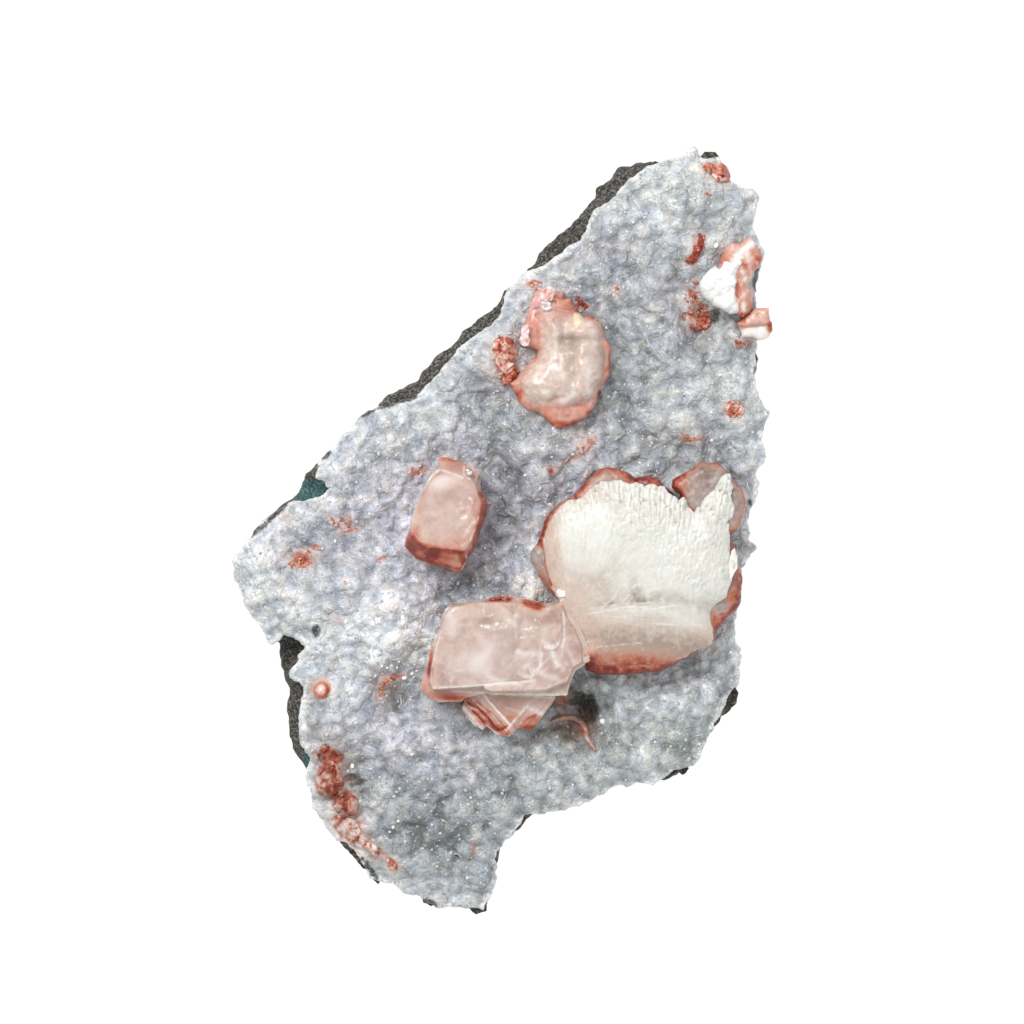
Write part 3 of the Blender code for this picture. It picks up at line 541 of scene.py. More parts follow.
def cad_heights(name, lowest):
    """Height of a CAD node's top on a coarse map, carried past its edge and smoothed."""
    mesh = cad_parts[name].data
    tree = BVHTree.FromPolygons([v.co for v in mesh.vertices], [p.vertices for p in mesh.polygons])
    columns = int(MAP_COLUMNS * CELL / COARSE) + 2
    rows = int(MAP_ROWS * CELL / COARSE) + 2
    heights = np.full((rows, columns), np.nan)
    for j in range(rows):
        for i in range(columns):
            start = Vector((MAP_LEFT + i * COARSE, MAP_NEAR + j * COARSE, 60)) * MM
            hit = tree.ray_cast(start, Vector((0, 0, -1)))[0]
            if hit is not None and hit.z > lowest * MM:
                heights[j, i] = hit.z / MM
    steps = [(dj, di) for dj in (-1, 0, 1) for di in (-1, 0, 1)]
    while np.isnan(heights).any():
        near = np.stack([np.roll(heights, step, (0, 1)) for step in steps])
        known = ~np.isnan(near)
        mean = np.where(known, near, 0).sum(0) / np.maximum(known.sum(0), 1)
        fresh = np.isnan(heights) & known.any(0)
        heights[fresh] = mean[fresh]
    return read_map(softened(heights, 1, 2), MAP_X, MAP_Y, COARSE)


def druse_balls(rng, within):
    """Places, radii and heights of the round druse balls, kept a little apart within each size."""
    balls = []
    for count, smallest, largest, rise in BALLS:
        placed = np.zeros((0, 3))
        for _ in range(count * 5):
            if len(placed) == count:
                break
            x, y = rng.uniform(DRUSE_LOW, DRUSE_HIGH)
            radius = smallest + (largest - smallest) * rng.random() ** 1.5
            if not within[int((y - MAP_NEAR) / CELL), int((x - MAP_LEFT) / CELL)]:
                continue
            gaps = np.hypot(placed[:, 0] - x, placed[:, 1] - y) - BALL_GAP * (placed[:, 2] + radius)
            if len(placed) and gaps.min() < 0:
                continue
            placed = np.vstack([placed, (x, y, radius)])
        lifts = rng.normal(0, BALL_LIFT, len(placed))
        balls += [(x, y, r, r * rise + lift) for (x, y, r), lift in zip(placed, lifts)]
    return balls


def stamped(balls):
    """Height of the balls over the crust's ground, the highest one at each cell."""
    field = np.full(MAP_X.shape, -0.25)
    for x, y, radius, rise in balls:
        i0 = int((x - radius - MAP_LEFT) / CELL)
        j0 = int((y - radius - MAP_NEAR) / CELL)
        i1 = int((x + radius - MAP_LEFT) / CELL) + 2
        j1 = int((y + radius - MAP_NEAR) / CELL) + 2
        part = field[j0:j1, i0:i1]
        across = MAP_X[j0:j1, i0:i1] - x
        along = MAP_Y[j0:j1, i0:i1] - y
        inside = 1 - (across**2 + along**2) / radius**2
        dome = rise - radius * 0.9 * (1 - np.sqrt(np.maximum(inside, 0)))
        np.maximum(part, np.where(inside > 0, dome, -9), out=part)
    return field


def crust_maps():
    """Maps of the crust: its height, and how far each place stands above what is round it."""
    rng = np.random.default_rng(11)
    balls = stamped(druse_balls(rng, is_inside(MAP_X, MAP_Y, CRUST_OUTLINE)))
    warp_x = BALL_WARP * drift(MAP_X, MAP_Y, 3.0, 25) + 0.4 * drift(MAP_X, MAP_Y, 1.2, 26)
    warp_y = BALL_WARP * drift(MAP_X, MAP_Y, 3.0, 27) + 0.4 * drift(MAP_X, MAP_Y, 1.2, 28)
    lumps = softened(read_map(balls, MAP_X + warp_x, MAP_Y + warp_y), 1, 1)
    fuzz = 0.09 * drift(MAP_X, MAP_Y, 0.9, 21) + 0.07 * drift(MAP_X, MAP_Y, 0.45, 22)
    cave = CAVE_DEPTH * eased((patches(MAP_X, MAP_Y, CAVE_DARK) - 0.3) / 0.5)
    height = cad_heights("chalcedony_crust", CRUST_LOWEST) + lumps + fuzz - cave
    return height, height - softened(height, 6)


def inside_points(outline, rim, step, slack, rng):
    """Points spread evenly inside a ragged rim, a little way from it."""
    left, near = np.min(rim, axis=0)
    right, far = np.max(rim, axis=0)
    across = np.arange(left, right, step)
    along = np.arange(near, far, step * 0.866)
    x, y = np.meshgrid(across, along)
    x = x + (np.arange(len(along)) % 2)[:, None] * step / 2
    x = (x + rng.uniform(-0.25, 0.25, x.shape) * step).ravel()
    y = (y + rng.uniform(-0.25, 0.25, y.shape) * step).ravel()
    gap = edge_distance(x, y, outline)
    keep = is_inside(x, y, outline) | (gap < slack)
    close = np.flatnonzero(keep & (gap < slack + step))
    inner = is_inside(x[close], y[close], rim) & (edge_distance(x[close], y[close], rim) > step * 0.45)
    keep[close[~inner]] = False
    return x[keep], y[keep]


def clear_of(x, y, creases, reach):
    """Which points are not close to any of these lines."""
    away = np.ones(len(x), bool)
    for crease in creases:
        away &= line_distance(x, y, crease) > reach
    return away


def flat_mesh(outline, step, wobble, seed, creases=()):
    """Even triangles inside an outline, with edges along its creases; points and faces, all turned up."""
    rng = np.random.default_rng(seed)
    rim = ragged(outline, step, wobble, seed) if wobble else walked(outline, step)
    x, y = inside_points(outline, rim, step, wobble * 2.2, rng)
    lines = [walked(crease, step, closed=False) for crease in creases]
    away = clear_of(x, y, creases, step * 0.5)
    points = list(rim)
    edges = [(i, (i + 1) % len(rim)) for i in range(len(rim))]
    for line in lines:
        edges += [(len(points) + i, len(points) + i + 1) for i in range(len(line) - 1)]
        points += line
    points += list(zip(x[away], y[away]))
    flat = [Vector(point) for point in points]
    made, _, faces = geometry.delaunay_2d_cdt(flat, edges, [], 0, 1e-4, False)[:3]
    made = np.array([tuple(point) for point in made])
    faces = np.array(faces)
    corners = made[faces]
    first = corners[:, 1] - corners[:, 0]
    second = corners[:, 2] - corners[:, 0]
    area = first[:, 0] * second[:, 1] - first[:, 1] * second[:, 0]
    faces[area < 0] = faces[area < 0][:, ::-1]
    middle = corners.mean(axis=1)
    doubtful = np.flatnonzero((faces < len(rim)).all(axis=1))
    outside = ~is_inside(middle[doubtful, 0], middle[doubtful, 1], rim)
    keep = np.abs(area) > 1e-9
    keep[doubtful[outside]] = False
    return made, faces[keep]


def boundary(faces):
    """The outer edges of a set of faces, each with the faces on its left."""
    edges = np.concatenate([faces[:, [0, 1]], faces[:, [1, 2]], faces[:, [2, 0]]])
    known = {tuple(edge) for edge in edges.tolist()}
    return [edge for edge in known if (edge[1], edge[0]) not in known]


def relief(name, outline, step, height, wall, rows=6, bulge=0.0, wobble=0.1, seed=1, creases=(), sharp=None):
    """A closed piece seen from above: its top follows height(x, y), its sides go down by wall.

    Its bottom is flat across, hidden in what it stands on.
    """
    flat, faces = flat_mesh(outline, step, wobble, seed, creases)
    points = np.column_stack([flat, height(flat[:, 0], flat[:, 1])])
    edges = boundary(faces)
    ring = sorted({vert for edge in edges for vert in edge})
    place = {vert: index for index, vert in enumerate(ring)}
    outward = np.zeros((len(ring), 2))
    for a, b in edges:
        along = flat[b] - flat[a]
        for vert in (a, b):
            outward[place[vert]] += (along[1], -along[0])
    outward /= np.maximum(np.linalg.norm(outward, axis=1), 1e-9)[:, None]
    layers = [points]
    sides = []
    last = {vert: vert for vert in ring}
    total = len(points)
    for row in range(1, rows + 1):
        share = row / rows
        push = bulge * (math.sin(math.pi * min(1, share * 1.6)) - 1.6 * share * share)
        moved = points[ring].copy()
        moved[:, :2] += outward * push
        moved[:, 2] -= wall * share
        layers.append(moved)
        here = {vert: total + index for index, vert in enumerate(ring)}
        sides += [(last[b], last[a], here[a], here[b]) for a, b in edges]
        last = here
        total += len(ring)
    obj = mesh_piece(name, np.concatenate(layers), faces.tolist() + sides)
    shape = bmesh.new()
    shape.from_mesh(obj.data)
    open_edges = [edge for edge in shape.edges if edge.is_boundary]
    bmesh.ops.triangle_fill(shape, edges=open_edges, use_beauty=False)
    bmesh.ops.recalc_face_normals(shape, faces=shape.faces)
    shape.to_mesh(obj.data)
    shape.free()
    obj.data.shade_smooth()
    if sharp:
        obj.data.set_sharp_from_angle(angle=math.radians(sharp))
    return obj


def places_of(obj):
    """X, Y and Z of a piece's points."""
    flat = np.zeros(len(obj.data.vertices) * 3)
    obj.data.vertices.foreach_get("co", flat)
    return (flat.reshape(-1, 3) / MM).T


def put_back(obj, x, y, z):
    """Move a piece's points."""
    obj.data.vertices.foreach_set("co", (np.column_stack([x, y, z]) * MM).ravel())
    obj.data.update()


def crust_piece():
    """The druse crust with its masks."""
    heights, stands = crust_maps()
    obj = relief(
        "druse_crust", CRUST_OUTLINE, step=CRUST_STEP, height=lambda x, y: read_map(heights, x, y),
        wall=CRUST_WALL, rows=CRUST_WALL_ROWS, bulge=CRUST_BULGE, wobble=CRUST_RAGGED, seed=31,
    )
    x, y, z = places_of(obj)
    top = read_map(heights, x, y)
    below = np.clip(top - z, 0, None)
    edge = edge_distance(x, y, CRUST_OUTLINE)
    bumpy = 0.3 * drift_3d(x, y, z, 2.2, 41) + 0.3 * drift_3d(x, y, z, 0.9, 42)
    side = eased(below / 1.2)
    put_back(obj, x + bumpy * side, y + 0.8 * bumpy * side, z)
    # Painted shade and light: the crust is coloured darker where it lies below what is round it and paler
    # where it stands above it. This partly stands for the druse being thinner and clearer in its grooves.
    paint(obj, "stands", np.where(below > 0.5, 0.1, read_map(stands, x, y)))
    # The tone mask: the crust's own random tone and, from the patches, painted light and shade.
    paint(obj, "tone", patches(x, y, TONE_AND_SHADOW_PATCHES) + 0.24 * drift(x, y, 11, 51) + 0.14 * drift(x, y, 5, 52))
    paint(obj, "lavender", patches(x, y, LAVENDER_PATCHES) + 0.25 * drift(x, y, 7, 53))
    paint(obj, "green", patches(x, y, GREEN_PATCHES) + 0.25 * drift(x, y, 7, 54))
    blotchy = 0.75 + 0.6 * drift(x, y, 1.1, 59) + 0.4 * drift(x, y, 0.5, 60)
    stain = patches(x, y, CRUST_STAINS) * blotchy
    tint(obj, "red", np.maximum(stain, strokes(x, y, CRUST_STROKES)))
    # The dark mask: rock that shows through, and painted shade in the cave.
    dark = np.maximum(patches(x, y, CRUST_DARK), strokes(x, y, ROCK_EDGES))
    dark = dark * (1 + 0.5 * drift(x, y, 2.2, 57) + 0.3 * drift(x, y, 0.9, 58))
    paint(obj, "dark", eased((dark - 0.35) / 0.3))
    fringe = 0.7 + patches(x, y, BROAD_LIP) + 0.5 * drift(x, y, 3, 55) + 0.6 * drift(x, y, 0.8, 56)
    paint(obj, "lip", eased(1.2 - edge / np.maximum(fringe, 0.15)) * (0.75 + 0.4 * drift(x, y, 2, 50)))
    return obj, heights


# ---------------------------------------------------------------- the white sheaf

SHEAF_ROOT = (14.1, -15.8)
SHEAF_RIM = [
    (5.8, -4.1), (6.9, -2.7), (7.7, -0.4), (8.5, 1.8), (10, 3.9), (11.4, 5.4), (14.1, 6.8), (19.2, 6),
    (34.8, 2.1), (42.6, -5.7), (43, -13.5), (41, -21.3), (37.3, -23.6), (33.4, -25.9), (30.5, -27.1),
    (24.5, -27.9), (19.2, -27.7), (16.5, -26.9), (16.1, -23.2), (14.9, -19.3), (12.6, -14.6), (10, -12.3),
    (8.5, -10.1), (7.1, -8.4), (5.9, -6),
]
SHEAF_CAP = [
    (9.3, -8.8), (8.6, -6.8), (8.3, -4.9), (8.2, -2.9), (8.6, -0.6), (9.3, 1.6), (10.1, 3.1), (11.4, 4.7),
    (13, 5.7), (14.7, 5.9), (16.4, 7.4), (17.8, 8.6), (19.1, 9.6), (20.4, 9.6), (21.5, 9.8), (23.1, 9.9),
    (24.5, 9.4), (26.2, 9.4), (27.6, 8.8), (29, 9), (30.3, 8.4), (31.4, 8.5), (32.1, 7.4), (33.4, 6.8),
    (34.4, 6), (35.3, 6.5), (35.6, 6), (35.8, 4.9), (36.6, 4.5), (37.3, 3.7), (37.7, 4.5), (38.2, 5.1),
    (39.1, 5.7), (40, 6.8), (41, 7.6), (42.1, 8.9), (42.6, 10.1), (43.3, 10.9), (44, 10.9), (44.3, 9.9),
    (44.5, 8.6), (44.2, 6.8), (44.8, 5.5), (45.1, 4.1), (44.9, 2.7), (44.5, 1.8), (44.4, -0.2), (44.2, -2),
    (44, -3.5), (44.5, -5.3), (44.8, -7.2), (44.8, -8.6), (44.4, -10.3), (43.6, -12.3), (42.8, -13.5),
    (42.1, -14.2), (41, -15), (40.6, -15.9), (40.8, -18.5), (41, -20.9), (40.6, -22), (39.1, -22.6),
    (37.3, -23.3), (35.4, -24.4), (33.4, -25.4), (30.9, -26), (28, -26.1), (24.1, -26.3), (20.2, -26.2),
    (17.3, -25.2), (15.9, -24.2), (15.9, -21.4), (14.9, -19.3), (14.1, -17.7), (12.6, -15), (11, -12.7),
    (9.8, -10.7),
]
SHEAF_TOP_LOBE = [
    (14.3, 6.6), (14.3, 7.1), (15.5, 8.5), (17.9, 10.7), (19.2, 11.9), (20.3, 12.3), (22.7, 12.1),
    (24.5, 11.2), (25.8, 10.1), (27, 8), (24.1, 5.1), (17.3, 5.1), (14.9, 5.5),
]
SHEAF_DARK_LOBE = [
    (25.8, 9.8), (26.3, 10.4), (28.4, 10.6), (30.1, 10.1), (30.9, 9.1), (32, 8.3), (33.4, 7.1), (34.8, 5.1),
    (29, 5.1), (27, 7),
]
SHEAF_UPPER_FAN = [
    (39.1, 13.4), (40.6, 13.1), (41.8, 13.3), (43.3, 11.9), (44.8, 9.8), (46.6, 7.7), (47.2, 5.9),
    (46.9, 3.3), (45.8, 0.3), (44.8, -0.4), (43, -0.8), (38.7, 1.2), (37.3, 3.3), (36.1, 4.8), (34.9, 7.1),
    (33.3, 8.6), (33.4, 9.8), (36.4, 11.6),
]
SHEAF_RIGHT_LOBE = [
    (44.1, -1.2), (45.1, -2.7), (45.8, -6.3), (46.6, -9), (46.4, -11.1), (46.3, -13.7), (45.3, -15.6),
    (43.9, -16.7), (42.6, -18.5), (41.2, -19.4), (39.9, -18.3), (39.7, -13.5), (42.2, -7.6), (42.6, -2.7),
]
SHEAF_TIP = [(44.5, -3.9), (45.1, -3.3), (45.5, -4.9), (45.6, -7.2), (44.8, -8.4), (44.3, -9.6), (44, -6.6)]

SILK_DOME = (16.1, -2, 7.9)  # x, y and radius of the smooth dome in the cap's lower left
FLAKE_START = 16  # how far from its root the cap turns flaky
FLAKE_HEADING = -3  # the heading, in degrees, from which it does
FLAKE_MEETING = (27, -60)  # where the lanes of the flakes would meet
FLAKE_CYCLE = 97  # lanes before their random starts come round again
FLAKE_SIZES = ((0.9, 4.4, 62), (0.6, 2.8, 63))  # width, length and seed of each layer of flakes
CAP_BY_BLOCK = 2.2  # how much higher the cap is where it meets the block
CAP_PEACH = [
    (9.8, -5.7, 2.4, 6.5, 0.95), (9.3, -1.8, 1.4, 4, 0.8), (13.7, -13.1, 5, 4.5, 0.75),
    (18.8, -20.5, 7.5, 4.5, 0.85), (16.5, -23.2, 3, 4, 0.8), (25.4, -24.2, 10, 3, 1),
    (33.2, -23.6, 8, 3, 0.85), (38.7, -21.3, 4.5, 3.6, 0.65), (19.2, -8.6, 6, 6, 0.28),
    (27, -18.9, 10, 3, 0.35), (17.6, 7.6, 4, 2.2, 0.5),
]
CAP_GREY = [
    (21.5, -14, 3, 0.9, 0.6), (28.2, -13.5, 2, 1, 0.6), (25.4, -13.4, 1, 0.7, 0.6),
    (32.5, -13.1, 4, 1.4, 0.4), (25.8, -11.5, 1, 2.4, 0.45), (19.2, -10.5, 2.5, 1.6, 0.3),
    (38.7, -14.8, 4, 1.6, 0.3), (27, -21.4, 11, 2.8, 0.8), (19.2, -21.3, 4, 3, 0.4), (25.5, -25, 10, 2.4, 1),
    (21, -13, 8, 5, 0.16), (36.8, -23.2, 6, 1.6, 0.45), (29.9, -16.4, 4, 1.2, 0.25),
]
CAP_RED = [
    (21.2, -27.2, 7, 1.1, 0.8), (28, -27.4, 7, 1, 0.75), (17.2, -25.6, 1.8, 1.8, 0.5),
    (30.9, -26, 7, 1.3, 0.3), (25.1, -25.2, 10, 2, 0.42), (17.6, -22.2, 1.6, 3, 0.12),
    (21.5, -23.2, 5, 1.5, 0.12), (33, -23.4, 5, 1.4, 0.08),
]
CAP_EDGE = [
    ([(7.7, 0.2), (7.5, -0.6), (7.7, -2.3), (8.1, -4.3), (8.3, -6.4), (8.9, -8.8), (9.7, -10.5)], 0.32, 0.85),
]
CAP_VEINS = [
    ([(16.9, -15.9), (19.2, -15.6), (24.1, -14.6), (29, -13.7)], 0.16, 0.5),
    ([(19.2, -15), (21.5, -13.1), (22.7, -11.1)], 0.16, 0.5),
    ([(21.5, -14.2), (23.5, -13.5), (25.1, -11.9), (25.8, -10.3)], 0.2, 0.7),
    ([(24.7, -14.6), (29, -14.8), (34.8, -14.2)], 0.14, 0.45),
    ([(18.5, -22.4), (22.7, -22), (27.2, -21.6)], 0.14, 0.55), ([(29.9, -17.9), (38.7, -18.2)], 0.13, 0.4),
    ([(14.1, 5.9), (16.3, 6.2), (18.6, 5.5), (20.4, 3.7)], 0.5, 0.5),
]


def cap_lines(x, y):
    """The cap's fibres: a number that stays the same along each, and how far along it a point is."""
    r, heading = polar(x, y, SHEAF_ROOT)
    return heading * 0.16 + 0.22 * drift(x, y, 2.4, 60) + 0.08 * drift(x, y, 0.9, 65), r


def flake_lines(x, y):
    """The upright lanes of the cap's flakes, which meet far below it, and how far up each a point is."""
    meet_x, meet_y = FLAKE_MEETING
    lane = (x - meet_x) * -meet_y / (y - meet_y)
    return lane + 0.30 * drift(x, y, 2.2, 66) + 0.12 * drift(x, y, 0.9, 68), y


def cap_flakes(x, y):
    """The flaky outer part of the cap: how much of it there is, and how far each narrow flake stands up."""
    r, heading = polar(x, y, SHEAF_ROOT)
    share = eased((r - FLAKE_START - 3 * drift(x, y, 5, 61)) / 7) * eased((heading - FLAKE_HEADING) / 18)
    lane, along = flake_lines(x, y)
    stands = np.zeros(np.shape(x))
    for width, length, seed in FLAKE_SIZES:
        strip = lane / width
        number = np.floor(strip).astype(int) % FLAKE_CYCLE
        start = np.random.default_rng(seed).random(FLAKE_CYCLE)[number]
        flake = along / length + start + 0.25 * drift(x, y, 1.8, seed + 10)
        flake = flake - np.floor(flake)
        across = 2 * np.abs(strip - np.floor(strip) - 0.5)
        stands = stands + width * 0.68 * flake**0.7 * (1 - 0.6 * across**2)
    return share, stands


def cap_fibres(x, y, size, seed):
    """Silky fibres that run out from the root."""
    lane, along = cap_lines(x, y)
    return drift(lane * 1.9, along * 0.12, size, seed)


CAP_RIM = 31.4  # the cap's height at its rim
SEAM_HEIGHT = 33.6  # of the sheaf's root and its thin tips
CAP_HOLLOWS = [(27, -13.7, 7, 1.6, 1), (36.8, -14.6, 6, 1.4, 0.5)]


def cap_height(x, y):
    """Height of the sheaf's white cap."""
    r, heading = polar(x, y, SHEAF_ROOT)
    deep = inset(x, y, SHEAF_CAP)
    dome = CAP_RIM + rise_from(deep, 3.9, 3.4)
    rise = 1.6 * eased(r / 30) * eased((heading + 30) / 90)
    share, stands = cap_flakes(x, y)
    silk = 0.025 * cap_fibres(x, y, 0.5, 64) * eased(r / 14)
    steep = 0.45 + 1.0 * eased((y + 3) / 10)
    shingles = share * (steep * stands + 0.07 * drift(x, y, 0.6, 69)) - 0.2 * share
    hollow = -0.4 * patches(x, y, CAP_HOLLOWS)
    arc = 0.35 * eased((SILK_DOME[2] - polar(x, y, SILK_DOME)[0]) / 2.2)
    by_block = CAP_BY_BLOCK * np.exp(inset(x, y, BLOCK_PLATE) / 1.3)
    return dome + rise + silk + shingles + hollow + arc + np.minimum(by_block, CAP_BY_BLOCK)


def lay_fibres(obj, lane, along):
    """Tell a piece's shader how the fibres run, in metres."""
    paint(obj, "lane", lane * MM)
    paint(obj, "along", along * MM)


def sheaf_cap():
    """The white cap of the sheaf, silky near its root and flaky at its outer edge."""
    obj = relief(
        "sheaf_cap", SHEAF_CAP, step=0.2, height=cap_height, wall=4.5, rows=5, bulge=0.2, wobble=0.28,
        seed=71,
    )
    x, y = places_of(obj)[:2]
    share, stands = cap_flakes(x, y)
    deep = inset(x, y, SHEAF_CAP)
    heading = polar(x, y, SHEAF_ROOT)[1]
    silk_lane, silk_along = cap_lines(x, y)
    flake_lane, flake_along = flake_lines(x, y)
    lane = np.where(share > 0.35, flake_lane * 0.5, silk_lane)
    along = np.where(share > 0.35, flake_along, silk_along)
    pale_edge = eased((heading - 75) / 20) * eased(1 - deep / 2.2) * 0.4
    tint(obj, "peach", patches(x, y, CAP_PEACH) + pale_edge + 0.10 * drift(x, y, 2.5, 67))
    cloudy = 1 + 0.5 * drift(x, y, 0.9, 73) + 0.4 * drift(x, y, 0.45, 74)
    columns = 0.12 * np.maximum(drift(x * 2, y * 0.4, 0.9, 75), 0) * eased((-14 - y) / 3)
    # Painted shadow: grey between the flakes, stronger towards the +Y edge where they stand taller.
    between = (0.5 + 0.8 * eased((y + 1) / 8)) * share * (0.40 - stands)
    tint(obj, "grey", patches(x, y, CAP_GREY) * cloudy + columns + between)
    paint(obj, "vein", strokes(x, y, CAP_VEINS))
    tint(obj, "red", patches(x, y, CAP_RED) * (0.6 + 0.4 * cloudy) + strokes(x, y, CAP_EDGE))
    lay_fibres(obj, lane, along)
    return obj


def lobe(name, outline, top, tilt, foot, seed):
    """A glassy lobe of the sheaf: gently domed, its edge rounded, its surface fluted."""
    slope_x, slope_y = tilt
    middle = np.mean(outline, axis=0)

    def height(x, y):
        edge = 1.3 * rim(x, y, outline, 0.6)
        flutes = 0.10 * drift(x, y, 1.1, seed) + 0.05 * cap_fibres(x, y, 0.5, seed + 1)
        return top + slope_x * (x - middle[0]) + slope_y * (y - middle[1]) - edge + flutes

    return relief(
        name, outline, step=0.27, height=height, wall=top - foot, rows=5, bulge=0.25, wobble=0.12,
        seed=seed,
    )


LOBES = [
    ("sheaf_rim", SHEAF_RIM, 31.6, (0.02, 0), 22.5, 81),
    ("sheaf_top_lobe", SHEAF_TOP_LOBE, 32.8, (0, -0.1), 24, 82),
    ("sheaf_dark_lobe", SHEAF_DARK_LOBE, 31.9, (0, -0.05), 24, 83),
    ("sheaf_upper_fan", SHEAF_UPPER_FAN, 33, (-0.06, -0.12), 24, 84),
    ("sheaf_right_lobe", SHEAF_RIGHT_LOBE, 31.6, (-0.12, 0), 24, 85),
]
LOBE_RED = [
    (27.4, 9.2, 6, 2.4, 0.75), (27, -27.5, 10, 2, 0.95), (18.8, -26.7, 3, 1.8, 0.7), (8, -1.5, 0.7, 1.8, 0.6),
    (8.3, -6, 0.6, 3, 0.45), (9.5, -10, 0.7, 1.2, 0.5), (45.5, -13.5, 3, 5.5, 0.62),
    (42.6, -17.7, 3, 2.2, 0.6), (45.1, -2.7, 2, 3, 0.5), (34, 9.2, 2.2, 2.4, 0.45), (8.5, 2.1, 2, 4, 0.35),
    (15.7, 8.4, 2.2, 2.2, 0.35),
]
# Paler places of the lobes; the row at (39.1, 8.4) is a painted highlight on the upper fan.
LOBE_PALE = [
    (6.5, -5.7, 2.2, 4, 0.9), (39.1, 8.4, 4.2, 2.6, 0.42), (37.2, 5.8, 1.6, 1.2, 0.8),
    (41.6, 9.4, 1.2, 2.2, 0.6), (21, 9.6, 5, 0.9, 0.5), (45.7, 5.1, 1.4, 5, 0.55),
    (42.8, -14.6, 1.8, 1.8, 0.8),
]


def sheaf_lobes():
    """The glassy rims and lobes round the cap, red along their edges."""
    made = []
    for name, outline, top, tilt, foot, seed in LOBES:
        obj = lobe(name, outline, top, tilt, foot, seed)
        x, y = places_of(obj)[:2]
        deep = inset(x, y, outline)
        notched = 0.9 + 0.35 * drift(x, y, 1.6, seed + 5)
        band = np.exp(-np.maximum(deep, 0) / (0.55 * notched))
        pale = patches(x, y, LOBE_PALE)
        mottled = 0.85 + 0.3 * drift(x, y, 0.9, seed + 7) + 0.2 * drift(x, y, 0.45, seed + 8)
        red = (0.75 * band + patches(x, y, LOBE_RED)) * np.clip(mottled, 0.2, 1.4)
        tint(obj, "red", red - 0.9 * pale * (pale > 0.5))
        tint(obj, "peach", 0.9 - 0.5 * pale)
        tint(obj, "grey", 0.75 * pale + 0.25 * drift(x, y, 0.8, seed + 9) * (pale > 0.2))
        paint(obj, "silk", cap_fibres(x, y, 0.5, seed + 6))
        made.append(obj)
    return made


ROOT_GLINT_FLAKE = [(10.6, -11.7), (11, -11.1), (12.6, -11.7), (12.4, -12.7), (11.4, -12.9), (10.8, -12.3)]
ROOT_SEAM = [
    (11.9, -14), (13, -15), (14.2, -16.9), (15.3, -18.8), (16.2, -20.9), (17, -23), (17.1, -25.2),
    (16.2, -25.6), (15.3, -24.8), (15.1, -22.8), (14.2, -20.6), (13.2, -18.4), (12.1, -16.6), (11.2, -15),
]


def root_seam():
    """The sheaf's root where it closes on the block's flange."""
    def height(x, y):
        return SEAM_HEIGHT + 0.1 * drift(x, y, 1.2, 94)

    obj = relief(
        "root_seam", ROOT_SEAM, step=0.2, height=height, wall=2.5, rows=4, bulge=0, wobble=0.05, seed=95,
    )
    x, y = places_of(obj)[:2]
    lane, along = cap_lines(x, y)
    tint(obj, "peach", 1 + 0.3 * drift(x, y, 1.5, 96))
    paint(obj, "grey", 0.15 + 0 * x)
    lay_fibres(obj, lane, along)
    return obj


def sheaf_tips():
    """The thin white blade tips at the sheaf's outer side and the small bright flake at its root, whose white
    is partly a painted highlight.
    """
    def height(x, y):
        return SEAM_HEIGHT + 0.5 * drift(x * 3, y, 1.5, 91)

    made = []
    for name, outline, seed in (("sheaf_tip", SHEAF_TIP, 92), ("sheaf_root_glint_flake", ROOT_GLINT_FLAKE, 93)):
        obj = relief(name, outline, step=0.2, height=height, wall=4, rows=4, bulge=0, wobble=0.05, seed=seed)
        x, y = places_of(obj)[:2]
        lane, along = cap_lines(x, y)
        # Near white on both; on the root flake it is partly a painted highlight.
        paint(obj, "vein", 0.8 + 0 * x)
        lay_fibres(obj, lane, along)
        made.append(obj)
    return made


# ---------------------------------------------------------------- the peach block

BLOCK_PLATE = [
    (-10, -14.4), (-6.1, -13.6), (-3.2, -13.4), (-1.3, -12.9), (2, -12.7), (4.4, -13.1), (6.7, -13.6),
    (8.5, -14.2), (11.5, -13.6), (11.9, -14.6), (13, -16.4), (14.1, -18.3), (14.9, -20.1), (15.9, -21.8),
    (16.2, -23.6), (16.1, -25.9), (14.3, -27), (13.2, -29.6), (12.7, -31.8), (10.2, -31.9), (5.6, -31.8),
    (-2, -31.6), (-3.4, -31.4), (-7.2, -32.3), (-7.7, -32.9), (-12.4, -33.1), (-14.7, -31.6), (-15.7, -30.4),
    (-15.1, -28.1), (-14.3, -25.9), (-13.9, -23.2), (-13.1, -21.4), (-12.6, -20.1), (-11.9, -19),
    (-11.6, -17), (-10.8, -15.2),
]
BLOCK_FACE = [
    (-9.7, -14.8), (-6.1, -14), (-0.3, -13.7), (5.6, -14.3), (8.5, -14.8), (11.6, -13.9), (12.1, -17.4),
    (12.1, -21.3), (10.8, -23.2), (7.9, -23.6), (7.1, -26.7), (6.5, -28.7), (3.6, -29.2), (-1.3, -29.4),
    (-3.7, -29.8), (-7.7, -30.1), (-13.1, -30.4), (-13.7, -29.1), (-13.4, -26.1), (-12.6, -22.2),
    (-11.7, -19.3), (-11, -17),
]
BLOCK_SIDE = [
    (11.6, -13.9), (12.8, -16.4), (14.1, -18.5), (15.7, -21.8), (15.9, -25.4), (14.1, -26.7), (13, -29.4),
    (11.4, -29.8), (8.5, -31), (-2, -31.3), (-3.6, -30.6), (-3.7, -29.8), (-1.3, -29.4), (3.6, -29.2),
    (6.5, -28.7), (7.1, -26.7), (7.9, -23.6), (10.8, -23.2), (12.1, -21.3), (12.1, -17.4),
]
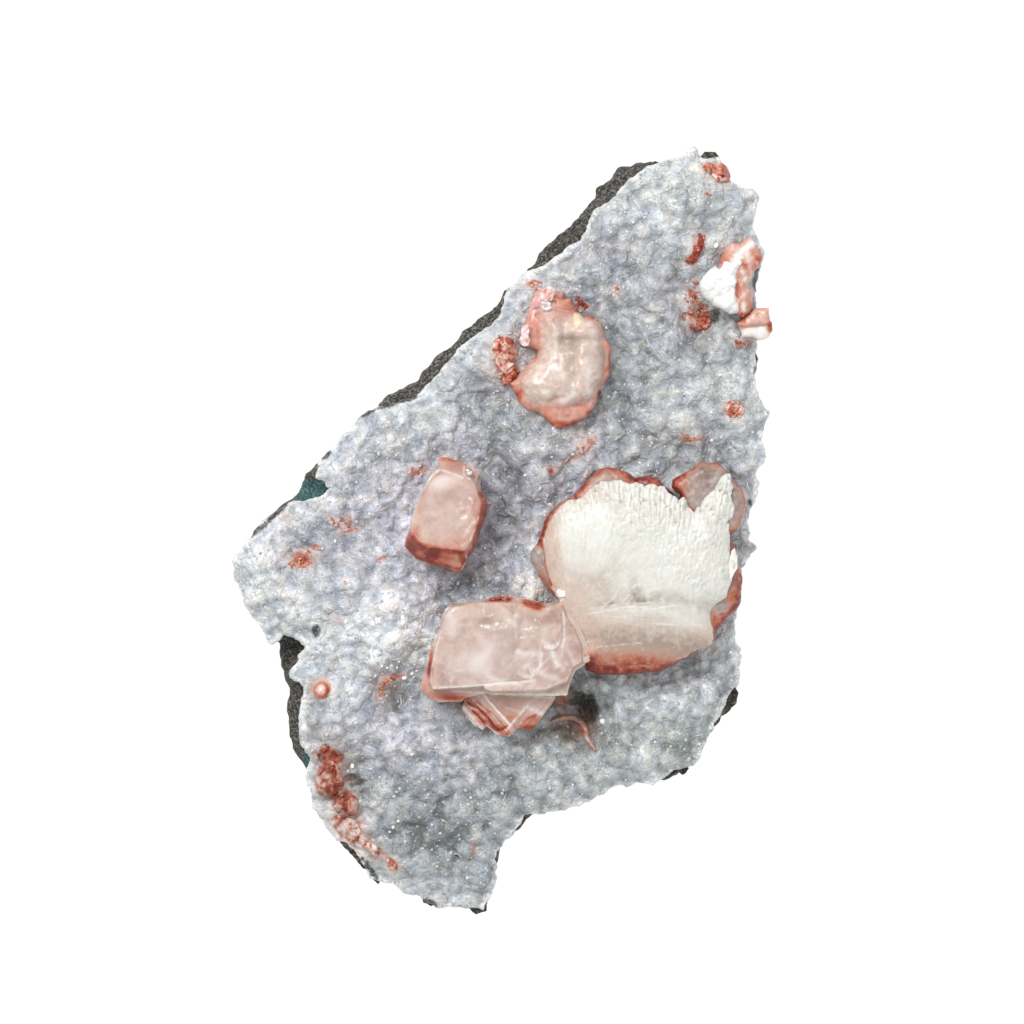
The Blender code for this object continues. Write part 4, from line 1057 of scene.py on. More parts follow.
WEDGE = [
    (-7.7, -30.6), (-7.2, -32.8), (-7.7, -34.6), (-6.9, -35.7), (-5.1, -37.9), (-3.7, -38.6), (-2.8, -37.9),
    (-0.9, -39.6), (1.5, -39.9), (2.2, -39), (3.4, -38.2), (4.4, -38.4), (5.6, -38.7), (6.5, -38.2),
    (7.2, -37), (8.9, -34.7), (10.5, -32.5), (10.6, -30.6),
]
# Painted highlights on the block's face, the two strongest on its slight swells, and paler painted inner
# glows.
BLOCK_GLOWS = [
    (-9.7, -17.7, 1.4, 2.6, 0.6), (-4.6, -25.2, 2.8, 2.8, 0.85), (-0.5, -21.5, 4.5, 4, 0.2),
    (-6.9, -31, 3, 1, 0.2), (6.3, -25.9, 4.5, 3, 0.15), (7.5, -30.2, 5, 0.8, 0.3),
]
BLOCK_VEILS = [
    ([(3.2, -23.2), (4.8, -23.8), (6.1, -23.6)], 0.5, 0.7),
    ([(8.1, -21.3), (9.3, -22.4), (10.2, -24.2)], 0.45, 0.7),
    ([(6.3, -26.7), (8.5, -27.9), (10.8, -28.5)], 0.6, 0.6),
    ([(-0.5, -28.9), (1.7, -29.2), (3.8, -29.8)], 0.4, 0.6), ([(7.1, -23.6), (7.7, -25.9)], 0.35, 0.5),
    ([(10.6, -25.2), (12, -26.7)], 0.6, 0.6), ([(13, -23.2), (14.1, -25.5)], 0.5, 0.45),
    ([(-12.6, -15.8), (-13.2, -18.1), (-13.9, -21.3)], 0.3, 0.6), ([(3.6, -27.5), (5.6, -28.3)], 0.4, 0.5),
]
BLOCK_CRACKED = [(4.6, -25.2, 7, 4, 1), (12, -21.3, 3, 6, 1), (2.6, -16.4, 6, 3, 0.5)]
BLOCK_RED = [
    (-1.9, -13, 1.8, 0.8, 0.6), (0.7, -12.9, 2.2, 0.8, 0.75), (5, -13.8, 1.2, 1, 0.75),
    (7.1, -14.4, 1.4, 1.1, 0.85), (-13.9, -26.7, 0.7, 1.4, 0.8), (-15.1, -30, 1.4, 2.4, 0.35),
    (-10.8, -31.8, 4, 1.1, 0.45), (-13.6, -24.2, 0.5, 4.6, 0.55), (-8.5, -32.4, 3, 0.5, 0.5),
    (-12.3, -18.8, 0.4, 2, 0.5), (-8.8, -14.2, 2.2, 0.35, 0.6), (11.8, -14.2, 0.4, 1.6, 0.5),
]
BLOCK_LEDGE = [([(-5, -30.1), (-3.7, -30), (-1.3, -29.6), (3.6, -29.4), (6.5, -28.9)], 0.5, 0.6)]
BLOCK_VEINS = [
    ([(-13.2, -30.4), (-7.7, -30.1), (-3.7, -29.8), (-1.3, -29.4), (3.6, -29.2), (6.3, -28.7)], 0.3, 1),
    ([(-9.7, -30.9), (-3.7, -31.3)], 0.2, 0.8), ([(-2, -31.6), (5.6, -31.7), (12.6, -31.7)], 0.26, 1),
    ([(11.7, -13.8), (12.2, -17.4), (12.1, -21.3)], 0.16, 0.8),
    ([(7.8, -23.2), (7.6, -25.2), (6.9, -27.1), (5.6, -28.5)], 0.16, 0.8),
    ([(14.1, -18.3), (14.5, -20.1)], 0.15, 0.8), ([(15.9, -21.8), (16.1, -25.7), (14.3, -27)], 0.26, 0.9),
    ([(-11.7, -19.3), (-12.6, -22.2), (-13.4, -26.1), (-13.7, -29.1)], 0.2, 0.6),
    ([(9.8, -22.2), (10, -24.4), (10.8, -25.9)], 0.3, 0.7), ([(2.6, -17.4), (2.8, -21.3)], 0.12, 0.5),
    ([(-12, -19.1), (-12.6, -20.5)], 0.25, 0.8), ([(-10.8, -15.2), (-8.1, -14.1), (-4.2, -13.5)], 0.15, 0.7),
    ([(-9.7, -28.1), (-9.7, -29.8)], 0.3, 0.4), ([(11.8, -13.7), (12, -20.1), (11.6, -24)], 0.12, 0.8),
    ([(7.5, -22), (7.7, -27.7)], 0.12, 0.6), ([(5.2, -25.9), (6.7, -29.6)], 0.12, 0.5),
    ([(4, -18.9), (7.1, -19.5)], 0.1, 0.6), ([(9.1, -21.6), (10.6, -24)], 0.12, 0.6),
    ([(12.6, -25.5), (13.6, -27.7)], 0.12, 0.5),
]
# Painted sparkle: short bright streaks on the block's face that stand for glints.
BLOCK_SPARKS = [
    ([(-4.2, -18.1), (-2.6, -18.5), (-0.3, -17.7), (2.2, -17.3)], 0.35, 1),
    ([(-3.4, -16.6), (-1.1, -16)], 0.3, 0.7), ([(-1.3, -18.9), (0.9, -18.3)], 0.25, 0.8),
    ([(4, -18.9), (6.5, -18.4)], 0.4, 0.9), ([(3.8, -20.5), (6.1, -20.3)], 0.2, 0.9),
    ([(8.5, -22.2), (9.8, -22.6), (11, -21.8)], 0.35, 0.9), ([(6.5, -17), (7.1, -17.7)], 0.3, 0.8),
    ([(-3.6, -14.6), (-3.4, -15.8)], 0.3, 0.5), ([(5.9, -28.3), (6.7, -27.3)], 0.3, 0.8),
]
BLOCK_DEEP = [
    (10.4, -16.4, 4, 4, 0.12), (-11, -31.4, 6, 1.5, 0.6), (9.5, -26.5, 5, 3.5, 0.42),
    (13.5, -22, 2.4, 5, 0.3),
]
BLOCK_SWELLS = [(-9.1, -19.3, 5, 6, 1), (-4.2, -25.5, 8, 6, 1)]
BLOCK_VEILED = [(8.2, -27, 7, 4.5, 0.8)]
BLOCK_PLATE_TOP = 33.0
BLOCK_FACE_TOP = 35.6
BLOCK_SHELF_TOP = 35.0


def block_height(x, y):
    """Height of the peach block: a low plate, the main face on it and a lower shelf at its right."""
    low = BLOCK_PLATE_TOP - 0.25 * rim(x, y, BLOCK_PLATE, 0.3)
    face = BLOCK_FACE_TOP + 0.5 * patches(x, y, BLOCK_SWELLS) + 0.05 * drift(x, y, 3, 101)
    face = face - 0.028 * (x + 6)
    on_face = np.clip(inset(x, y, BLOCK_FACE) / 0.45, 0, 1)
    shelf = BLOCK_SHELF_TOP - 0.06 * (x - 8) + 0.2 * drift(x, y, 1.8, 102)
    by_face = np.clip(inset(x, y, BLOCK_FACE) + 0.35, 0, 0.35)
    on_shelf = np.clip((np.maximum(inset(x, y, BLOCK_SIDE), 0) + by_face) / 0.35, 0, 1)
    height = low + (shelf - low) * on_shelf
    height = np.maximum(height, low + (face - low) * on_face)
    uneven = (0.14 * drift(x, y, 2.0, 103) + 0.12 * drift(x, y, 0.8, 104)) * patches(x, y, BLOCK_CRACKED)
    return height + uneven


def peach_block():
    """The thick peach block of stacked plates."""
    creases = [BLOCK_FACE + BLOCK_FACE[:1]]
    obj = relief(
        "peach_block", BLOCK_PLATE, step=0.27, height=block_height, wall=11, rows=8, bulge=0.12,
        wobble=0.05, seed=111, creases=creases, sharp=28,
    )
    x, y, z = places_of(obj)
    top = block_height(x, y)
    veil = np.maximum(drift((x + y) * 0.4, (y - x) * 1.3, 1.1, 105), 0) * patches(x, y, BLOCK_VEILED)
    veil += strokes(x, y, BLOCK_VEILS)
    # glow: the painted highlights and inner glow, with the pale veils, kept to the top.
    tint(obj, "glow", (patches(x, y, BLOCK_GLOWS) + veil) * np.exp(-(top - z) / 2))
    paint(obj, "red", np.clip(patches(x, y, BLOCK_RED), 0, 1) * np.exp(-(top - z) / 3))
    paint(obj, "vein", strokes(x, y, BLOCK_VEINS) * np.exp(-(top - z)))
    paint(obj, "spark", strokes(x, y, BLOCK_SPARKS))
    paint(obj, "deep", patches(x, y, BLOCK_DEEP))
    # Painted light: the upper band of the block's sides and its ledge are painted a lighter peach. This
    # stands for light coming through them where they would lie in shade.
    paint(obj, "side", eased((top - z - 0.3) / 0.8) * eased(2 - (top - z) / 3) + strokes(x, y, BLOCK_LEDGE))
    return obj


WEDGE_LEFT = [(-3.7, -31.2), (1.8, -37.2)]  # the lines where its pane ends
WEDGE_RIGHT = [(5.4, -34.1), (1.3, -38.4)]


def beside(x, y, line):
    """How far points lie to the left of the line through two points; negative on its right."""
    (ax, ay), (bx, by) = line
    return ((bx - ax) * (y - ay) - (by - ay) * (x - ax)) / math.hypot(bx - ax, by - ay)


def wedge_height(x, y):
    """Height of the wedge under the block: a sloping pane with leaning leaves on both sides."""
    pane = 30.6 + 0.05 * (y + 33)
    left = beside(x, y, WEDGE_LEFT)
    right = beside(x, y, WEDGE_RIGHT)
    leaf = np.abs(left) / 1.3
    leaves = 30.9 - 0.35 * np.abs(left) + 0.55 * (leaf - np.floor(leaf))
    slope = 30.2 - 0.25 * right + 0.3 * (right / 1.9 - np.floor(right / 1.9))
    height = np.where(left < 0, leaves, np.where(right > 0, slope, pane))
    return height - 0.6 * rim(x, y, WEDGE, 0.4)


WEDGE_VEINS = [
    ([(-4, -31), (-1.3, -34.3), (1.7, -37.6)], 0.22, 1),
    ([(-4.8, -31.8), (-2.6, -34.5), (-0.5, -37.2)], 0.16, 0.7),
    ([(5, -33.9), (3, -36.3), (0.9, -38.6)], 0.2, 1), ([(3, -38.4), (4, -37.1)], 0.15, 0.9),
    ([(-7.5, -34.1), (-5.2, -37.4), (-3.8, -38.4)], 0.45, 0.9), ([(-3.2, -37.6), (-0.9, -39.4)], 0.25, 0.7),
    ([(-2, -31.6), (3.6, -31.9), (9.7, -32.3)], 0.18, 1), ([(4.8, -34.1), (7.9, -35.5)], 0.5, 0.8),
    ([(0.9, -34.3), (3.6, -35.1)], 0.25, 0.4), ([(1.5, -39.8), (2.2, -38.8)], 0.15, 0.8),
]
WEDGE_RED = [
    (-4.2, -35.3, 2.6, 0.7, 0.35), (-6.1, -33.5, 1.6, 0.5, 0.3), (-1.3, -38.2, 1.8, 0.9, 0.6),
    (5.6, -38.2, 2.2, 0.7, 0.7), (-3, -36.9, 2, 0.6, 0.4), (2, -36.1, 1.2, 0.8, 0.3),
    (6.7, -36.5, 1.6, 1, 0.35), (-6.5, -32.4, 1, 1, 0.3), (1.3, -39.4, 1.2, 0.6, 0.4),
]
WEDGE_STREAKS = [
    ([(-6.5, -33.4), (-4.4, -34.4), (-2.5, -36.2), (-1.5, -38)], 0.22, 0.6),
    ([(-5.6, -34.8), (-4, -36.3), (-3, -37.6)], 0.2, 0.7),
    ([(-4.8, -33), (-2.8, -34.6), (-0.6, -37)], 0.14, 0.5),
    ([(-2.4, -38.3), (-0.4, -38.6), (1.4, -37.8)], 0.25, 0.7),
    ([(3.4, -37.9), (5.2, -36.3), (6.6, -35.6)], 0.2, 0.4),
]
WEDGE_GLOWS = [(7.1, -34.5, 3, 1.6, 0.6), (-6.1, -36.1, 1.6, 2.6, 0.7)]
WEDGE_DEEP = [(5, -37, 4, 2.2, 0.5), (-5, -34.5, 3.5, 3, -0.5)]


def block_wedge():
    """The pinker wedge of crossing leaves that grew into the block's lower edge."""
    creases = [WEDGE_LEFT, WEDGE_RIGHT]
    obj = relief(
        "block_wedge", WEDGE, step=0.25, height=wedge_height, wall=9.5, rows=6, bulge=0.1, wobble=0.06,
        seed=121, creases=creases, sharp=25,
    )
    x, y, z = places_of(obj)
    top = wedge_height(x, y)
    tint(obj, "glow", patches(x, y, WEDGE_GLOWS))
    red = 0.14 + patches(x, y, WEDGE_RED) + strokes(x, y, WEDGE_STREAKS)
    paint(obj, "red", np.clip(red, 0, 1) * np.exp(-(top - z) / 4))
    paint(obj, "vein", strokes(x, y, WEDGE_VEINS) * np.exp(-(top - z)))
    tint(obj, "deep", 0.42 + patches(x, y, WEDGE_DEEP))
    return obj


# ---------------------------------------------------------------- the tabular crystal

TABULAR = [
    (-12, 14.4), (-10.7, 14.3), (-9, 13.8), (-7.1, 13), (-6, 12.4), (-5, 11.9), (-4.2, 11.2), (-4.5, 10.2),
    (-4.1, 9.9), (-4.1, 8), (-3.6, 7.4), (-3.2, 6.4), (-2.7, 5.2), (-2.9, 3.5), (-3.3, 2), (-4, 0.3),
    (-4.5, -1.5), (-5.2, -3.2), (-6.5, -5.2), (-7.8, -7.7), (-9, -7.7), (-10.7, -7.1), (-13.6, -6.4),
    (-16.6, -5.4), (-17.6, -4.2), (-18.8, -2.9), (-18.5, -1.5), (-17.9, 0), (-17.6, 2), (-16.9, 4.5),
    (-15.9, 7), (-14.7, 9.2), (-13.6, 11.7), (-12.4, 12.2), (-12.3, 13.4),
]
TABULAR_FACE = [
    (-13.4, 11.4), (-12, 11.9), (-10.7, 11.6), (-9, 11), (-7.8, 10.7), (-6.3, 10.2), (-5.2, 9.2), (-4.6, 7),
    (-4, 5.3), (-4.2, 3.1), (-5, 0.2), (-5.9, -2), (-7.3, -3.9), (-9.8, -3.7), (-12, -3.2), (-14.1, -3.2),
    (-15.2, -2.9), (-17.5, -1.2), (-17.2, 2.1), (-16.4, 4.9), (-15.1, 8), (-14.1, 9.9),
]
TABULAR_STEPS = [
    ([(-7.1, 12.9), (-5.9, 12.4), (-5.4, 11.1), (-5.8, 9.9), (-7.3, 10.6)], 30.9),
    ([(-5.4, 11.5), (-4.2, 11.1), (-4.5, 9.6), (-4, 8), (-5.6, 8.4)], 30.4),
    ([(-4.8, 7.2), (-3.6, 7.2), (-2.7, 5.2), (-2.9, 3.3), (-4.2, 2.1), (-4.6, 5.1)], 30),
]
TABULAR_TOP = 31.7
TABULAR_RIM = 28.9  # the height where its bevels end
TABULAR_SWELLS = [(-11.4, 8.4, 3.5, 3.5, 1), (-10.8, 2.1, 6, 7, 0.8)]
TABULAR_ROUGH = [(-5.8, 2.1, 2.4, 6.5, 1)]
TABULAR_EDGE = [(-12, 11.9), (-13.9, 10.1), (-14.9, 8.7), (-15.9, 7), (-16.9, 4.7), (-17.5, 2.5)]
TABULAR_GREY = [
    (-14.9, 8.4, 1.4, 2.2, 0.7), (-12.6, 11.1, 1.6, 0.8, 0.7), (-9.1, 12.7, 3.6, 1.6, 1.0),
    (-5.6, 10.5, 1.6, 1.6, 0.6), (-4.6, 4, 1.4, 5, 0.7), (-10.8, 3, 6, 7, 0.14), (-10.5, -5.6, 4, 1.4, 0.6),
]


def tabular_height(x, y):
    """Height of the tabular crystal: a glossy face with bevels all round and small steps at its right."""
    inner = inset(x, y, TABULAR_FACE)
    outer = np.maximum(inset(x, y, TABULAR), 0)
    edge_share = np.clip(outer / np.maximum(outer - np.minimum(inner, 0), 1e-6), 0, 1)
    height = np.where(inner > 0, TABULAR_TOP, TABULAR_RIM + 2.8 * edge_share)
    height += 0.22 * patches(x, y, TABULAR_SWELLS)
    for outline, top in TABULAR_STEPS:
        height = np.maximum(height, 28.5 + (top - 28.5) * np.clip(inset(x, y, outline) / 0.3, 0, 1))
    ridge = strokes(x, y, [(TABULAR_EDGE, 0.35, 0.5)])
    rough = 0.35 * patches(x, y, TABULAR_ROUGH) * drift(x, y, 0.9, 131)
    return height + ridge + rough + 0.03 * drift(x, y, 2, 132)


TABULAR_RED = [
    (-13.4, -4.5, 1.4, 0.8, 1.2), (-17.8, -1.8, 1.2, 1.8, 0.8), (-16.3, -3.3, 1.8, 1.2, 0.6),
    (-11, -5.4, 4.5, 1.6, 0.42), (-6.9, -5.9, 1.4, 2, 0.5), (-10.4, 14, 3, 0.7, 0.4),
    (-7.7, 12.7, 2.2, 1.2, 0.25), (-3.2, 3.7, 0.9, 3.4, 0.75), (-3.8, 7.2, 0.8, 0.7, 0.7),
    (-4, 0.8, 0.9, 2.6, 0.6), (-16.4, 0.4, 1, 2.4, 0.3), (-5, -2.3, 0.7, 3, 0.4), (-12, -2.4, 5.5, 1.4, 0.2),
    (-8.4, -2.4, 2.6, 1.6, 0.16), (-5.4, 2, 1.7, 5.5, 0.14),
]
TABULAR_RED_EDGES = [
    ([(-17.9, -3.8), (-16.6, -5.1), (-13.6, -6.2), (-10.7, -6.9), (-7.8, -7.5)], 0.55, 0.6),
    ([(-15.4, -3.2), (-12, -3.5), (-9.8, -4), (-7.3, -4.2)], 0.5, 0.5),
    ([(-7.8, -7.5), (-6.5, -5), (-5.2, -3)], 0.5, 0.5), ([(-17.3, -1.2), (-15.2, -3.2)], 0.4, 0.5),
]
# Painted highlights on the tabular crystal's face, the strongest near its -X +Y corner.
TABULAR_GLOWS = [
    (-12, 9.2, 2.2, 1.4, 0.9), (-10.4, 10.3, 2.2, 0.8, 0.5), (-14, 6.4, 1.2, 2.6, 0.35),
    (-8.1, 5.1, 2.6, 3.6, 0.15), (-7.4, 7.6, 1.6, 1.6, 0.3), (-6.4, 3.2, 1.4, 3, 0.2),
]
TABULAR_VEINS = [
    (TABULAR_EDGE, 0.2, 1),
    ([(-13.4, 11.5), (-12, 12), (-10.6, 11.5), (-9, 11), (-7.5, 10.3)], 0.16, 0.8),
    ([(-7.3, 12.7), (-7.3, 11.1), (-6.1, 10.1)], 0.2, 0.8), ([(-6.7, 0.4), (-5, 2)], 0.14, 0.8),
    ([(-7.7, -2.9), (-6.1, -1.8), (-5.2, 0.2)], 0.2, 0.5), ([(-6.5, 12.7), (-4.4, 11.3)], 0.25, 0.6),
    ([(-7.5, -7.4), (-6.7, -5.7), (-6.9, -4.1)], 0.2, 0.6), ([(-7.2, -1), (-5.2, 2.6)], 0.12, 0.6),
    ([(-7.9, 1.2), (-6.1, 4.2), (-5.4, 6.4)], 0.1, 0.45), ([(-8.6, 3.8), (-7.4, 6.6)], 0.12, 0.4),
]


def tabular_crystal():
    """The bevelled, glossy tablet, red at its lower end."""
    creases = [TABULAR_FACE + TABULAR_FACE[:1]]
    obj = relief(
        "tabular_tablet", TABULAR, step=0.22, height=tabular_height, wall=9, rows=7, bulge=0.1, wobble=0.05,
        seed=133, creases=creases, sharp=24,
    )
    x, y, z = places_of(obj)
    top = tabular_height(x, y)
    tint(obj, "glow", patches(x, y, TABULAR_GLOWS))
    mottled = 0.95 + 0.25 * drift(x, y, 2.2, 134) + 0.2 * drift(x, y, 0.7, 135)
    stain = patches(x, y, TABULAR_RED) + strokes(x, y, TABULAR_RED_EDGES)
    tint(obj, "red", 0.05 + stain * mottled)
    paint(obj, "vein", strokes(x, y, TABULAR_VEINS) * np.exp(-(top - z)))
    tint(obj, "deep", patches(x, y, TABULAR_GREY))
    return obj


# ---------------------------------------------------------------- the cream fan

FAN = [
    (8, 47.3), (9.3, 47.3), (10.6, 46.6), (12, 46.4), (12.1, 45.1), (13.5, 45.2), (14.1, 43.7), (14.4, 42.7),
    (15.3, 42.4), (16, 41.6), (17, 41.9), (18, 41.5), (19.3, 40.3), (19.8, 39.1), (20.1, 37.6), (21.2, 36.5),
    (21.4, 35.3), (21.1, 34), (21.2, 32.5), (20.9, 31.4), (21, 30.4), (20.2, 29.1), (19.3, 28.1), (18.9, 27),
    (18.4, 24.9), (17.6, 23.4), (16.1, 21.9), (13.6, 20.7), (11.9, 20.1), (10.4, 20.2), (8.9, 21.5),
    (7.2, 23.2), (5.1, 23.6), (3.6, 25.1), (2.6, 27), (1.6, 28.7), (3, 29.7), (3.6, 30.8), (5.1, 32.3),
    (6.8, 33.8), (7.2, 35.1), (5.1, 35.9), (3.8, 36.3), (3.5, 37.1), (4.3, 39.1), (4.9, 41.6), (5.4, 43.5),
    (5.9, 45), (6.8, 46.4),
]
FAN_BODY = [
    (7.7, 45), (9.8, 45.6), (12.6, 44.5), (13.7, 42.3), (15.9, 41.9), (18, 40.8), (19.2, 39.2), (19.6, 36.9),
    (20.2, 34.9), (20, 32.2), (19.8, 29.8), (18.8, 27.9), (18, 25.9), (16.7, 24.6), (14.7, 24.2), (12.8, 24),
    (10.6, 23.8), (8.5, 24), (6.3, 24.6), (4.6, 25.9), (3.6, 27.5), (3.4, 29.4), (5, 31.2), (6.7, 33),
    (7.5, 34.9), (7.1, 37.6), (6.5, 40.2), (6.9, 43.1),
]
FAN_LEFT = [
    (10.6, 35.7), (11.2, 34.1), (11.6, 31), (11.8, 27.5), (10.6, 25.5), (8.5, 25), (6.3, 25.2), (4.6, 26.3),
    (3.4, 27.9), (3.6, 29.6), (5.2, 31.4), (7.1, 33.3), (8.5, 35.3),
]
FAN_RIGHT = [
    (12, 38.2), (12.6, 40.4), (14.1, 41.3), (16.3, 41.5), (18, 41), (19.2, 39.6), (19.6, 37.6), (20.2, 35.3),
    (20.2, 33), (20, 30.6), (19.2, 28.7), (18, 26.7), (16.9, 25.2), (14.7, 24.4), (12.6, 24.8), (11.4, 27.1),
    (11, 31), (11.2, 34.9),
]
FAN_HOLLOW = [(12.6, 36.3, 2.2, 1.6, 1.3), (14.9, 37.2, 3.6, 0.7, 0.8), (13.7, 32.2, 1.3, 5.5, 0.8)]
# the ridge down its middle
FAN_COLUMN = [([(9.7, 40.8), (10.6, 37.6), (11, 34.9), (11.2, 32.2), (11.6, 28.7)], 1.2, 1)]
FAN_BUMP = [
    (14.1, 42.7), (15.1, 42.7), (15.6, 42.1), (16.1, 41.2), (16, 40.4), (15.4, 39.9), (14.5, 39.4),
    (13.9, 40.3),
]
FAN_RED = [
    (6.4, 41, 1.6, 4.5, 0.13), (11.6, 44, 2.8, 2, 0.15), (13.4, 20.9, 5.5, 0.9, 0.6),
    (17.3, 23.2, 2.6, 0.7, 0.45), (9.1, 23, 1.5, 1.8, 0.4), (3.4, 26.5, 0.9, 1.3, 0.8),
    (2.4, 28.1, 1, 1.2, 0.3), (20.6, 36.3, 0.7, 1.8, 0.4), (21, 33.3, 0.6, 1.6, 0.4),
    (20.2, 31, 0.7, 1.6, 0.35), (6.9, 38.6, 1.1, 3.4, 0.3), (11, 45.6, 1.2, 1.3, 0.45),
    (13.2, 43.9, 1.3, 1.6, 0.42), (19.2, 26.9, 0.5, 0.6, 0.8), (5.6, 41.1, 0.6, 1.2, 0.35),
    (18.2, 41.3, 2.2, 0.5, 0.5),
]
FAN_PINK = [
    (6.7, 44.7, 1.6, 2, 1), (6.1, 43.1, 1.2, 1.4, 1), (11, 45.6, 1.8, 1.6, 1), (13.2, 43.9, 1.8, 2, 0.9),
    (6.7, 38.6, 1.3, 3.8, 0.95), (13, 22.6, 6, 2.4, 0.9), (17.3, 23.6, 2.5, 1.8, 0.6),
    (2.8, 27.7, 1.8, 2.6, 0.8), (18.8, 39.2, 1.5, 1.8, 0.5), (10.6, 41.9, 3, 2.4, 0.35),
    (11.6, 43.6, 2.6, 1.8, 0.5), (6.8, 39.5, 1.6, 3.4, 0.35),
]
FAN_LILAC = [
    (6.1, 43, 0.9, 0.8, 0.5), (5.8, 45.2, 0.7, 0.8, 0.4), (9.3, 46.6, 1.8, 1, 0.8), (8.5, 45.2, 1, 1.4, 0.4),
    (4.7, 38, 0.9, 2.1, 1), (5.6, 41.1, 0.7, 0.9, 0.5), (6.7, 44.5, 0.9, 1.6, 0.3),
]
FAN_WHITE = [
    (8.6, 43.5, 0.9, 1, 1), (10.6, 36.9, 1, 4.5, 0.3), (16.9, 32.2, 1.8, 5, 0.3), (10.9, 31.4, 0.8, 0.7, 0.7),
    (8.5, 26.7, 1, 0.8, 0.8), (12.6, 25.3, 1.2, 0.8, 0.85), (13.9, 26.3, 0.9, 0.9, 0.7),
    (17.3, 26.7, 0.8, 0.9, 0.5), (9.8, 29.8, 2.5, 3, 0.2), (18.6, 38.4, 1.4, 1, 0.3),
]
FAN_SHADE = [
    (12.6, 36.5, 1.9, 1.4, 0.55), (14.7, 37.2, 3.2, 0.7, 0.45), (13.6, 31, 0.7, 5, 0.4),
    (15.9, 34.9, 2.5, 1.4, 0.25), (11.4, 39.2, 1.8, 1.6, 0.15), (20.2, 33.4, 1.4, 4.8, 0.8),
    (14.1, 34.1, 2, 3, 0.2), (12.4, 44.3, 2.8, 1.8, 0.28), (13, 22.4, 6, 2, 0.14),
]
FAN_FLANGE_TOP = 28.6
FAN_FROST_GROUND = 30.0


def fan_height(x, y):
    """Height of the cream fan: a scalloped flange and, on it, a lumpy body of two lobes."""
    flange = FAN_FLANGE_TOP - 1.2 * rim(x, y, FAN, 0.5) + 0.12 * drift(x, y, 1.1, 141)
    body = rise_from(inset(x, y, FAN_BODY), 1.5, 2.2)
    left = rise_from(inset(x, y, FAN_LEFT), 1.5, 2.0)
    lobes = np.maximum(left, rise_from(inset(x, y, FAN_RIGHT), 2.0, 2.0))
    hollow = 0.9 * patches(x, y, FAN_HOLLOW)
    bump = rise_from(inset(x, y, FAN_BUMP), 1.2, 0.7)
    lumps = 0.12 * drift(x * 1.4, y * 0.7, 2.2, 142) + 0.05 * drift(x, y, 0.9, 145)
    lumps = lumps + 0.5 * patches(x, y, FAN_WHITE) + 0.7 * strokes(x, y, FAN_COLUMN)
    steps = 0.7 * np.round(1.5 * drift(x, y, 2.0, 146)) * patches(x, y, PINK_STEPS)
    return flange + body + lobes - hollow + bump + lumps + steps


# Patches of frost on the fan: name, outline, how far it stands up and how white it is.
FAN_FROST = [
    ("fan_frost_top", [
        (7.6, 45.3), (7.8, 46.6), (8.5, 47.3), (9.3, 47.4), (10, 47), (10.5, 46.4), (10.2, 45.6), (9.9, 44.9),
        (9.5, 44.5), (8.5, 44.5), (7.8, 44.7),
    ], 0.3, 0.45),
    ("fan_frost_spot", [
        (7.8, 44.4), (8.6, 44.6), (9.6, 44.2), (9.9, 43.5), (9.6, 42.9), (8.8, 42.7), (8, 43),
    ], 0.3, 0.95),
    ("fan_frost_side", [
        (4, 40), (4.8, 40.3), (5.4, 39.8), (5.6, 38.6), (5.6, 37.2), (5.2, 36.1), (4.4, 36), (3.8, 36.7),
        (3.8, 38),
    ], 0.4, 0.75),
]
# Where the fan's -X +Y corner is built of small pink blocks.
PINK_STEPS = [(8.5, 45, 3.4, 2.2, 1), (5.6, 39.6, 1.8, 4.5, 1), (12.4, 44.5, 2.6, 2, 0.8)]


def cream_fan():
    """The cream fan-shaped crystal."""
    obj = relief(
        "cream_fan", FAN, step=0.2, height=fan_height, wall=8, rows=7, bulge=0.15, wobble=0.12, seed=144,
    )
    x, y = places_of(obj)[:2]
    flange = eased(0.5 - inset(x, y, FAN_BODY) / 1.6)
    scattered = 0.85 + 0.35 * drift(x, y, 0.9, 147)
    scallops = 0.5 + 0.5 * np.sin(1.6 * (x + y) + 2 * drift(x, y, 2, 138))
    edge = 0.42 * rim(x, y, FAN, 0.2) + 0.08 * flange * scallops
    tint(obj, "red", (edge + patches(x, y, FAN_RED)) * scattered)
    tint(obj, "pink", 0.9 * flange + patches(x, y, FAN_PINK) + 0.1 * drift(x, y, 1.5, 137))
    tint(obj, "lilac", patches(x, y, FAN_LILAC) * (0.9 + 1.2 * drift(x, y, 0.5, 136)))
    tint(obj, "white", (1 - flange) * patches(x, y, FAN_WHITE) + 0.12 * drift(x, y, 1.0, 148))
    tint(obj, "shade", patches(x, y, FAN_SHADE) + 0.05 * drift(x, y, 2.5, 149))
    paint(obj, "yellow", eased(0.5 + inset(x, y, FAN_BUMP) / 0.35))
    return obj


def fan_frost():
    """The lilac-white frost of tiny crystals on the fan's -X +Y corner."""
    made = []
    for index, (name, outline, rise, whiteness) in enumerate(FAN_FROST):
        seed = FROST_SEED + 10 * index

        def height(x, y, outline=outline, rise=rise, seed=seed):
            lumps = np.round(3 * drift(x, y, 0.5, seed)) * 0.13 + 0.06 * drift(x, y, 0.3, seed + 1)
            return FAN_FROST_GROUND + rise_from(inset(x, y, outline), rise, 0.4) + lumps

        obj = relief(
            name, outline, step=0.16, height=height, wall=2.4, rows=4, bulge=0.1, wobble=0.35, seed=seed,
            sharp=28,
        )
        x, y = places_of(obj)[:2]
        tint(obj, "red", 0.06 + 0.4 * drift(x, y, 0.6, seed + 2))
        tint(obj, "white", whiteness + 0.3 * drift(x, y, 0.9, seed + 3))
        tint(obj, "lilac", 0.3 + 0.7 * drift(x, y, 0.4, seed + 4))
        made.append(obj)
    return made


# ---------------------------------------------------------------- the white-capped and edge crystals

